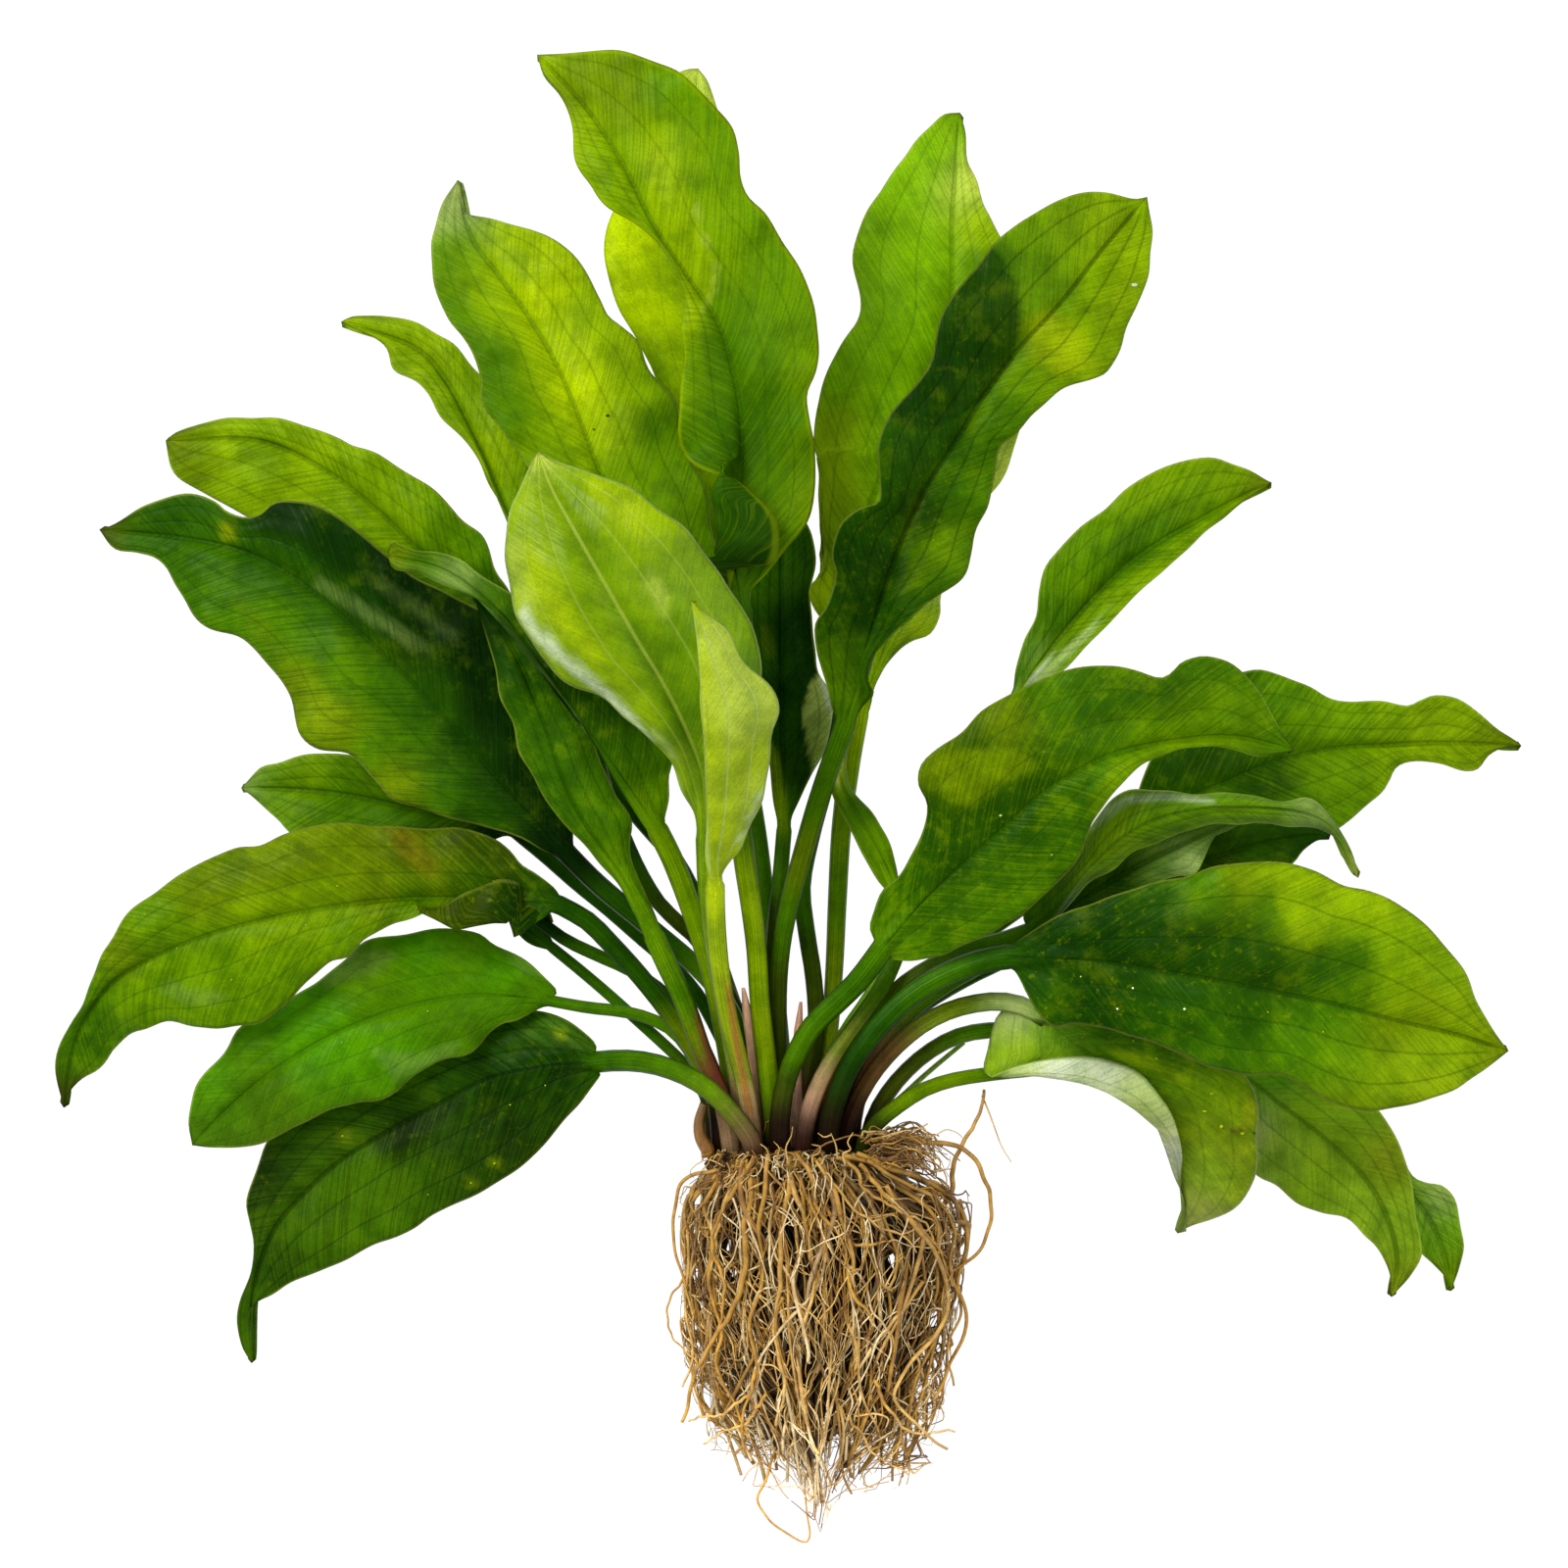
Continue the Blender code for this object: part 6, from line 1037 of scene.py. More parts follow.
            # Painted sheen along the drooping lower-left margin
            ("white", 0.85, 0.8, [(-71, 155), (-67, 149.5), (-63.3, 145.8), (-56.7, 140), (-50, 134.4),
                (-43, 127), (-38, 121), (-38.6, 120.4), (-44, 125.6), (-51, 132), (-57.5, 137.2),
                (-64, 142.5), (-69, 147.5), (-72.5, 153)]),
            ("mint", 0.6, 0.7, [(-38.5, 124.5), (-34, 120), (-32, 116), (-33.5, 116.5), (-36, 120),
                (-39, 123)]),
        ]),
    "leaf_front_pale_small": Look(
        {"lemon": [(-28, 154), (-12, 118), (-17, 108), (-17, 96), (-22, 70), (-19, 52)],
         "lime": [(-27, 140), (-24, 120), (-22, 100), (-21, 86)],
         "pale": [(-22, 145), (-16, 138), (-10, 130), (-16, 124), (-13, 106)], "spring": [(-16, 38)],
         "flesh": [(-14, 28), (-12.5, 19)]},
        mottle=0.06, mottle_tone="pale", speck=0.12, fine=0.14, fine_tone="bright", vein=0.7,
        vein_tone="mint", rim=0.8, rim_tone="mint", rough=0.26, gloss=0.15, base_shade=0.1, foot_dark=0.35,
        patches=[
            ("olive", 0.5, 0.8, [(-23, 62), (-20.8, 62), (-18.8, 47), (-16.8, 35), (-18.8, 35),
                (-21.2, 47)]),
            ("amber", 0.85, 0.8, [(-20.2, 60), (-18.2, 60), (-16.4, 46), (-14.2, 34), (-12.2, 24),
                (-14, 24), (-16.2, 34), (-18.4, 46)]),
            # Painted highlights on the ripples of the right margin
            ("white", 0.6, 0.5, [(-10.6, 108.6), (-9.8, 107), (-12.2, 104.5), (-12.8, 106)]),
            ("white", 0.55, 0.5, [(-12.4, 104), (-11.8, 102.4), (-14.4, 99.6), (-15, 101.2)]),
            ("white", 0.5, 0.5, [(-14.8, 99), (-14.4, 97.6), (-16.8, 94.4), (-17.4, 96)]),
        ]),
    "leaf_front_folded": Look(
        {"olive": [(-104, 168)], "green": [(-96, 167), (-80, 158), (-36, 120)], "sheen": [(-88, 163)],
         "deep": [(-74, 152), (-50, 128)], "dark": [(-60, 140)], "middle": [(-44, 115)],
         "grass": [(-36, 106)], "bright": [(-34, 92), (-26, 70), (-20, 45)], "brown": [(-18, 22)]},
        mottle=0.2, fine=0.2),
    "leaf_front_dark": Look(
        {"dark": [(-80, 150)], "deep": [(-70, 140)],
         "middle": [(-70, 125), (-60, 125), (-62, 112), (-56, 100)],
         "green": [(-54, 112), (-48, 100), (-30, 54)], "grass": [(-50, 92), (-45, 86), (-38, 71)],
         "olive": [(-27, 45)], "wine": [(-23, 34)], "umber": [(-21, 26)], "flesh": [(-20, 21), (-18, 18)]},
        mottle=0.34, mottle_tone="bright", speck=0.2, fine=0.2, pale_stroke="middle", vein_tone="dark",
        base_shade=0.1, foot_dark=0.4,
        patches=[
            ("wine", 0.8, 0.9, [(-28.4, 53), (-26, 53), (-22.6, 43), (-19, 33), (-16.6, 26), (-20.5, 26),
                (-22.8, 34), (-26, 44)]),
        ]),
    "leaf_inner_narrow": Look(
        {"spring": [(15, 138), (10, 124), (7, 112), (24, 74)], "green": [(11, 108), (12, 49)],
         "middle": [(13, 101)], "fresh": [(18, 95), (24, 82)], "grass": [(21, 88)], "pink": [(1, 22)]},
        mottle=0.06, mottle_tone="lime", fine=0.1, rim=0.95, rim_tone="pale", glow=0.25,
        patches=[
            # Painted highlight
            ("pale", 0.8, 0.4, [(8, 110), (9, 119), (11, 124), (12, 123), (10.2, 117), (9, 109)]),
        ]),
    "leaf_center_dark": Look(
        {"middle": [(-8, 165)], "deep": [(-8, 140), (-8, 120), (4, 128), (4, 120), (0, 112)],
         "green": [(-5, 105), (-7, 90)], "dark": [(0, 150), (1, 135)], "moss": [(-7, 70)],
         "brown": [(-7, 22)]},
        mottle=0.15, mottle_tone="green", fine=0.25, fine_tone="black", pale_stroke="deep", vein=0.5,
        vein_tone="dark", glow=0.35,
        patches=[
            ("pale", 1.0, 0.35, [(4.5, 139), (2, 136), (0.4, 131.5), (-0.4, 127), (0.8, 122.5),
                (1.4, 117.5), (2.6, 114), (10, 114), (10, 139)]),
            ("white", 0.13, 0.6, [(4.5, 139), (2, 136), (0.4, 131.5), (-0.4, 127), (0.8, 122.5),
                (1.4, 117.5), (2.6, 114), (10, 114), (10, 139)]),
            ("white", 0.95, 0.35, [(4.4, 138), (8.8, 129), (8.4, 122), (6.4, 116), (2.6, 112), (1.6, 113),
                (5, 118), (6.6, 123), (6.9, 127.5), (4, 135.6)]),
            ("spring", 0.7, 1.0, [(-10, 122), (-6.5, 118), (-4.5, 108), (-4, 98), (-9, 98)]),
            ("olive", 0.45, 1.0, [(-11, 151), (-9, 150), (-7.4, 145), (-7.6, 142), (-9.4, 142.5),
                (-10.8, 146)]),
        ]),
    "leaf_upper_right_hidden": Look(
        {"bright": [(20, 138), (55, 205), (10, 105)], "spring": [(32, 152), (14, 125)], "mint": [(35, 165)],
         "pale": [(48, 190)], "green": [(30, 165)], "grass": [(9, 80)], "olive": [(8, 60), (5, 25)]},
        mottle=0.1, fine=0.12, glow=0.3),
    "leaf_left_under_small": Look(
        {"deep": [(-70, 72), (-80, 80), (-95, 83)], "middle": [(-66, 69), (-45, 52)], "brown": [(-21, 20)]}),
    "leaf_left_under_narrow": Look(
        {"dark": [(-68, 78)], "deep": [(-85, 85), (-110, 86)], "middle": [(-50, 65)], "brown": [(-18, 22)]}),
}


def smooth_line(points):
    """A dense polyline on the Catmull-Rom curve through the points."""
    p = np.array(points, float)
    p = np.vstack([2 * p[0] - p[1], p, 2 * p[-1] - p[-2]])
    t = np.linspace(0, 1, CURVE_STEPS, endpoint=False)[:, None]
    spans = []
    for a, b, c, d in zip(p, p[1:], p[2:], p[3:]):
        spans.append(0.5 * (2 * b + (c - a) * t + (2 * a - 5 * b + 4 * c - d) * t**2
                            + (3 * b - a - 3 * c + d) * t**3))
    return np.vstack(spans + [p[-2:-1]])


def along(line, shares):
    """Points at the given shares of a polyline's length, measured in X and Y."""
    steps = np.linalg.norm(np.diff(line[:, :2], axis=0), axis=1)
    reached = np.concatenate([[0], np.cumsum(steps)])
    reached /= reached[-1]
    return np.column_stack([np.interp(shares, reached, axis) for axis in line.T])


def along_space(points, count):
    """So many points at even steps, measured in space, on the smooth line through points."""
    line = smooth_line(points)
    steps = np.linalg.norm(np.diff(line, axis=0), axis=1)
    reached = np.concatenate([[0], np.cumsum(steps)]) / steps.sum()
    return np.column_stack([np.interp(np.linspace(0, 1, count), reached, axis) for axis in line.T])


def profile(values, shares):
    """Values spread evenly over 0..1, read smoothly at the given shares."""
    knots = smooth_line([(10 * i / (len(values) - 1), value) for i, value in enumerate(values)])
    return np.interp(shares, knots[:, 0] / 10, knots[:, 1])


def read_table(table, x):
    """The value of a table of pairs at x, evenly between its rows."""
    rows = np.array(table, float)
    return np.interp(x, rows[:, 0], rows[:, 1])


def unit(vectors):
    return vectors / np.maximum(np.linalg.norm(vectors, axis=-1, keepdims=True), 1e-9)


def smooth_step(x):
    x = np.clip(x, 0, 1)
    return x * x * (3 - 2 * x)


def roll_reach(roll, shares):
    """How far the fold reaches beyond the margin, 0 outside its stretch."""
    if roll is None:
        return np.zeros_like(shares)
    start, end, reach, _ = roll
    half = (end - start) / 2
    return reach * smooth_step(1.35 * (1 - np.abs(shares - start - half) / half))


def directions(line):
    """The unit direction of a polyline at each of its points."""
    steps = unit(np.diff(line, axis=0))
    return unit(np.vstack([steps[:1], steps[:-1] + steps[1:], steps[-1:]]))


def polyline_length(points):
    return np.linalg.norm(np.diff(np.array(points, float), axis=0), axis=1).sum()


def half_blade(leaf, side, shares, rib, flat):
    """A half blade as a grid of points, from the midrib to the margin at each share. Side is 1
    for the left half and -1 for the right."""
    edge, lifts, roll, arch = leaf.left, leaf.lift_left, leaf.roll_left, leaf.arch[0]
    if side < 0:
        edge, lifts, roll, arch = leaf.right, leaf.lift_right, leaf.roll_right, leaf.arch[1]
    outward = side * flat
    foot = np.clip(1 - shares / FOOT_SHARE, 0, 1)
    folded = FOLDS.get((leaf.name, side))
    if folded:
        rows = smooth_line([(100 * row[0], *row[1:]) for row in folded])
        margin, fold_line = (np.column_stack([np.interp(100 * shares, rows[:, 0], rows[:, k])
                                              for k in pair]) for pair in ((1, 2), (3, 4, 5)))
    else:
        margin = along(smooth_line([leaf.rib[0], *edge, leaf.rib[-1]]), shares)
    plain = np.sum((margin - rib[:, :2]) * outward[:, :2], axis=1)
    wanted = np.hypot(np.maximum(plain, 0.0), leaf.radius[1] * foot)
    wanted = np.where((plain < 0) & (foot == 0), plain if roll or folded else LEAST_WIDTH, wanted)
    margin += outward[:, :2] * (wanted - plain)[:, None]
    lift = profile(lifts, shares)
    if folded:
        lift = np.where(shares > FOLD_START, np.maximum(lift, fold_line[:, 2] + FOLD_GAP), lift)
    margin = np.column_stack([margin, rib[:, 2] + lift])
    reach = roll_reach(roll, shares)
    over = np.sum((margin - rib)[:, :2] * outward[:, :2], axis=1)
    fold = np.maximum(over + reach, 0)
    far = fold + np.sqrt(fold * reach)
    blend = smooth_step(reach / ROLL_BLEND)[:, None]
    middle = (rib + margin) / 2
    rolled = rib + outward * far[:, None]
    rolled[:, 2] = middle[:, 2]
    control = middle + (rolled - middle) * blend
    control[:, 2] += 2 * arch * np.sin(np.pi * shares) ** 0.6
    if roll is not None:
        control[:, 2] += 2 * roll[3] * blend[:, 0]
    if folded:
        crest = np.column_stack([fold_line[:, :2], rib[:, 2] + fold_line[:, 2]])
        control = 2 * crest - middle
    t = LEVELS + (np.sin(LEVELS * np.pi / 2) - LEVELS) * foot[:, None]
    t = t[:, :, None]
    return (1 - t) ** 2 * rib[:, None] + 2 * t * (1 - t) * control[:, None] + t**2 * margin[:, None]


def blade_waves(look, lengths, shares, widths, rng):
    """How far a half blade stands off its plain form: margin ruffles, broad swells, and the
    quilting between the veins. All but the levels run down the blade, as columns."""
    fade = smooth_step(shares / 0.16) * smooth_step((1 - shares) / 0.12)
    phases = rng.uniform(0, 2 * np.pi, 4)
    stretch = rng.uniform(0.85, 1.15, 2)
    ruffle = np.sin(2 * np.pi * lengths / (RUFFLE_LENGTHS[0] * stretch[0]) + phases[0])
    ruffle += SECOND_WAVE * np.sin(2 * np.pi * lengths / (RUFFLE_LENGTHS[1] * stretch[1]) + phases[1])
    ruffles = look.ruffle * ruffle * LEVELS**2.4
    across = LEVELS * widths
    first, second = (np.sin(2 * np.pi * (lengths / long + across / wide) + phase)
                     for (long, wide), phase in zip(SWELL_LENGTHS, phases[2:]))
    swells = SWELL_HEIGHT * (first + SECOND_WAVE * second) * smooth_step(LEVELS / 0.25)
    stops = (0.0, *VEINS, 1.0)
    quilt = np.zeros_like(LEVELS)
    for a, b in zip(stops, stops[1:]):
        inside = (LEVELS >= a) & (LEVELS <= b)
        quilt[inside] += np.sin(np.pi * (LEVELS[inside] - a) / (b - a)) ** 2
    quilts = QUILT_HEIGHT * quilt * np.clip(widths / 20, 0.2, 1)
    return (ruffles + swells + quilts) * (fade * np.clip(widths / 9, 0, 1))


def join_halves(left, right):
    """Rows of the two halves as one, from the left margin over the midrib to the right margin."""
    return np.concatenate([left[:, :0:-1], right], axis=1)


def blade_normals(leaf, halves, shares, up):
    """The way up from the blade's skin. At its foot, and where a half is too narrow to tell,
    it is the midrib's own."""
    grid = join_halves(*halves)
    normal = unit(np.cross(np.gradient(grid, axis=1), np.gradient(grid, axis=0)))
    narrow = []
    for half, roll in zip(halves, (leaf.roll_left, leaf.roll_right)):
        width = np.linalg.norm(half[:, -1] - half[:, 0], axis=1)
        amount = (1 - smooth_step(width / NARROW_WIDTH)) * (roll is None)
        narrow.append(np.repeat(amount[:, None], len(LEVELS), axis=1))
    plain = join_halves(*narrow) * smooth_step((0.5 - shares) / 0.2)
    plain = np.maximum(plain, np.clip(1 - shares / FOOT_SHARE, 0, 1))[..., None]
    return unit(normal * (1 - plain) + up[:, None] * plain)


def blade_relief(leaf, look, half, length, shares, rng):
    """How far the skin of a half blade stands above its middle surface, and how far its
    underside lies below: the round midrib with its groove, the side veins and the waves."""
    foot = np.clip(1 - shares / FOOT_SHARE, 0, 1)
    rise = leaf.radius[1] * np.clip(1 - shares / 0.25, 0, 1) ** 1.5
    depth = RIB_THICKNESS + (2 * leaf.radius[1] - RIB_THICKNESS) * np.clip(1 - shares / 0.4, 0, 1) ** 1.3
    reach = leaf.radius[1] * (0.5 + 0.5 * np.clip(1 - shares / 0.3, 0, 1))
    steps = np.linalg.norm(np.diff(half, axis=1), axis=2)
    out = np.concatenate([np.zeros((len(shares), 1)), np.cumsum(steps, axis=1)], axis=1)
    widths = out[:, -1:]
    bump = np.sqrt(np.clip(1 - (out / reach) ** 2, 0, 1))
    waves = blade_waves(look, shares * length, shares, widths, rng)
    veins = sum(np.exp(-(((LEVELS - v) * widths) / VEIN_HALF_WIDTH) ** 2) for v in VEINS)
    veins = veins * smooth_step((shares - 0.1) / 0.2) * np.clip(widths / 12, 0, 1)
    groove = np.exp(-((out / RIB_GROOVE_WIDTH) ** 2)) * smooth_step((shares - 0.12) / 0.2)
    groove = groove * np.clip((1 - shares) / 0.3, 0, 1)
    edge = np.clip((1 - LEVELS) * widths / 1.2, 0, 1) ** 0.5 * (1 - foot)
    above = waves + rise * bump - VEIN_GROOVE * veins - RIB_GROOVE * groove
    below = (depth - rise - THICKNESS) * bump + THICKNESS * edge
    return above, below + VEIN_RIDGE_BELOW * veins * edge - waves


def stalk_rings(leaf, stalk, shares, flat, up):
    """Round rings along the stalk, finely ridged, and wider at its foot."""
    turn = np.concatenate([-LEVELS[:0:-1], LEVELS]) * np.pi / 2
    turn = np.concatenate([turn, np.pi - turn[-2:0:-1]])
    radius = leaf.radius[0] + (leaf.radius[1] - leaf.radius[0]) * shares
    wide = 1 + STALK_FLARE * (1 - smooth_step(shares / 0.3))
    fade = smooth_step(np.minimum(shares, 1 - shares) / 0.15)
    ridges = 1 + RIDGE_HEIGHT * np.cos(STALK_RIDGES * turn) * fade
    side_way = -np.sin(turn) * radius * ridges * wide
    up_way = np.cos(turn) * radius * ridges
    around = side_way[..., None] * flat[:, None] + up_way[..., None] * up[:, None]
    return stalk[:, None] + around


def leaf_surface(leaf, look, rng):
    """Rings of points from the stalk's foot to the tip, each from the left margin over the top
    to the right margin and back under the blade, with the place of each point on the leaf:
    level from midrib to margin, share of the blade's length, half width, and run from the
    stalk's foot in millimetres."""
    stalk_length, length = polyline_length(leaf.stalk), polyline_length(leaf.rib)
    count = int(np.ceil(stalk_length / STALK_SPACING))
    stalk_shares = np.linspace(0, 1, count, endpoint=False)
    stalk = along(smooth_line(leaf.stalk), stalk_shares)
    stalk = np.column_stack([stalk, profile(leaf.stalk_z, stalk_shares)])
    stalk[0, 1] -= STALK_EXTRA
    shares = np.append(np.linspace(0, LAST_SHARE, int(np.ceil(length / BLADE_SPACING))), TIP_SHARE)
    rib = along(smooth_line(leaf.rib), shares)
    rib = np.column_stack([rib, profile(leaf.rib_z, shares)])
    tangent = directions(np.vstack([stalk, rib]))
    tangent[0] = (0, 1, 0)
    flat = unit(np.column_stack([-tangent[:, 1], tangent[:, 0], np.zeros(len(tangent))]))
    up = np.cross(tangent, flat)
    foot_rings = stalk_rings(leaf, stalk, stalk_shares[:, None], flat[:count], up[:count])

    flat, up = flat[count:], up[count:]
    bank = np.radians(leaf.bank) * smooth_step(shares / BANK_SHARE)[:, None]
    flat, up = flat * np.cos(bank) - up * np.sin(bank), up * np.cos(bank) + flat * np.sin(bank)
    halves = [half_blade(leaf, side, shares, rib, flat) for side in (1, -1)]
    grid = join_halves(*halves)
    normal = blade_normals(leaf, halves, shares[:, None], up)
    reliefs = [blade_relief(leaf, look, half, length, shares[:, None], rng) for half in halves]
    above, below = (join_halves(*pair)[..., None] for pair in zip(*reliefs))
    top, under = grid + normal * above, grid - normal * below
    for end in (0, -1):
        under[:, end] = top[:, end]
    rings = np.concatenate([foot_rings, np.concatenate([top, under[:, -2:0:-1]], axis=1)])

    side_count = len(LEVELS) - 1
    place = np.zeros((*rings.shape[:2], 4))
    place[:, :, 0] = np.concatenate([LEVELS[:0:-1], LEVELS, LEVELS[-2:0:-1], LEVELS[:-1]])
    place[count:, :, 1] = shares[:, None]
    on_left = np.repeat([True, False, True], [side_count, 2 * side_count, side_count])
    steps = np.linalg.norm(np.diff(grid, axis=1), axis=2)
    left_width, right_width = steps[:, :side_count].sum(1), steps[:, side_count:].sum(1)
    place[count:, :, 2] = np.where(on_left, left_width[:, None], right_width[:, None])
    place[:, :, 3] = np.concatenate([stalk_shares * stalk_length, stalk_length + shares * length])[:, None]
    return rings, place


def side_quads(rings, size):
    """Quads round the rows of points that lie one after the other, size points to a row."""
    start = np.arange(rings - 1)[:, None] * size
    k = np.arange(size)[None]
    a, b = start + k, start + (k + 1) % size
    return [tuple(quad) for quad in np.stack([a, b, b + size, a + size], axis=-1).reshape(-1, 4).tolist()]


def ring_faces(rings, size):
    """Quads between the rings, a cap on the first ring, and a fan to the tip point."""
    faces = [tuple(reversed(range(size)))] + side_quads(rings, size)
    last, tip = (rings - 1) * size, rings * size
    return faces + [(last + k, last + (k + 1) % size, tip) for k in range(size)]


def add_mesh(name, points, faces, material):
    mesh = bpy.data.meshes.new(name)
    mesh.from_pydata((np.asarray(points, float) * MM).tolist(), [], faces)
    mesh.shade_smooth()
    item = bpy.data.objects.new(name, mesh)
    bpy.context.scene.collection.objects.link(item)
    mesh.materials.append(material)
    return item


def paint(item, name, colours):
    """A colour for each vertex, linear values."""
    layer = item.data.color_attributes.new(name, "FLOAT_COLOR", "POINT")
    rgba = np.ones((len(colours), 4), np.float32)
    rgba[:, : colours.shape[1]] = colours
    layer.data.foreach_set("color", rgba.ravel())


def mark(item, name, vectors):
    """A vector for each vertex, which a material reads."""
    layer = item.data.attributes.new(name, "FLOAT_VECTOR", "POINT")
    layer.data.foreach_set("vector", np.asarray(vectors, np.float32).ravel())


def shade_at(xy, shades):
    """Colours at places, blended from tones that are set at given places."""
    spots = np.array([place for places in shades.values() for place in places], float)
    tones = np.array([TONES[tone] for tone, places in shades.items() for _ in places], float)
    weights = 1 / (((xy[:, None] - spots[None]) ** 2).sum(-1) + SHADE_SOFTNESS**2) ** 2
    return (weights[..., None] * tones).sum(1) / weights.sum(1)[:, None]


def toward(colours, tone, amount):
    """Colours drawn toward a tone, by an amount for each."""
    amount = amount[:, None]
    return colours * (1 - amount) + np.array(TONES[tone]) * amount


class Graph:
    """A short way to add and join a material's nodes."""

    def __init__(self, name):
        self.material = bpy.data.materials.new(name)
        self.material.use_nodes = True
        self.nodes = self.material.node_tree.nodes
        self.links = self.material.node_tree.links
        self.nodes.clear()
        self.output = self.add("ShaderNodeOutputMaterial")

    def add(self, kind, inputs=None, **settings):
        node = self.nodes.new(kind)
        for key, value in settings.items():
            setattr(node, key, value)
        for key, value in (inputs or {}).items():
            if isinstance(value, bpy.types.NodeSocket):
                self.links.new(value, node.inputs[key])
            else:
                node.inputs[key].default_value = value
        return node

    def math(self, operation, first, second=0.0, third=0.0):
        return self.add("ShaderNodeMath", {0: first, 1: second, 2: third}, operation=operation).outputs[0]

    def times(self, first, second):
        return self.math("MULTIPLY", first, second)

    def mix(self, factor, first, second, blend="MIX"):
        inputs = {0: factor, 6: first, 7: second}
        return self.add("ShaderNodeMix", inputs, data_type="RGBA", blend_type=blend).outputs[2]

    def ramp(self, value, low, high, low_out=0.0, high_out=1.0):
        inputs = {0: value, 1: low, 2: high, 3: low_out, 4: high_out}
        return self.add("ShaderNodeMapRange", inputs, interpolation_type="SMOOTHSTEP").outputs[0]

    def noise(self, place, scale, detail, roughness=0.5):
        inputs = {"Vector": place, "Scale": scale, "Detail": detail, "Roughness": roughness}
        return self.add("ShaderNodeTexNoise", inputs).outputs[0]

    def shaded(self, colour, red, green, blue):
        """The colour times a factor for each of its parts."""
        factors = self.add("ShaderNodeCombineColor", {0: red, 1: green, 2: blue}).outputs[0]
        return self.mix(1.0, colour, factors, "MULTIPLY")

    def stretched(self, place, along_y):
        """The place for a noise that runs in long grains along Y."""
        return self.add("ShaderNodeMapping", {"Vector": place, "Scale": (1.0, along_y, 1.0)}).outputs[0]

    def tone_and_place(self):
        """The colour painted on the mesh, and the place in the piece's own frame."""
        tone = self.add("ShaderNodeVertexColor", layer_name="tone").outputs["Color"]
        return tone, self.add("ShaderNodeTexCoord").outputs["Object"]

    def bump(self, height, strength, distance):
        inputs = {"Height": height, "Strength": strength, "Distance": distance}
        return self.add("ShaderNodeBump", inputs).outputs[0]

    def skin(self, colour, normal, rough, gloss=0.5):
        inputs = {"Base Color": colour, "Normal": normal, "Roughness": rough, "Specular IOR Level": gloss}
        return self.add("ShaderNodeBsdfPrincipled", inputs).outputs[0]

    def surfaced(self, shader):
        """The material, with this shader on its surface."""
        self.links.new(shader, self.output.inputs["Surface"])
        return self.material


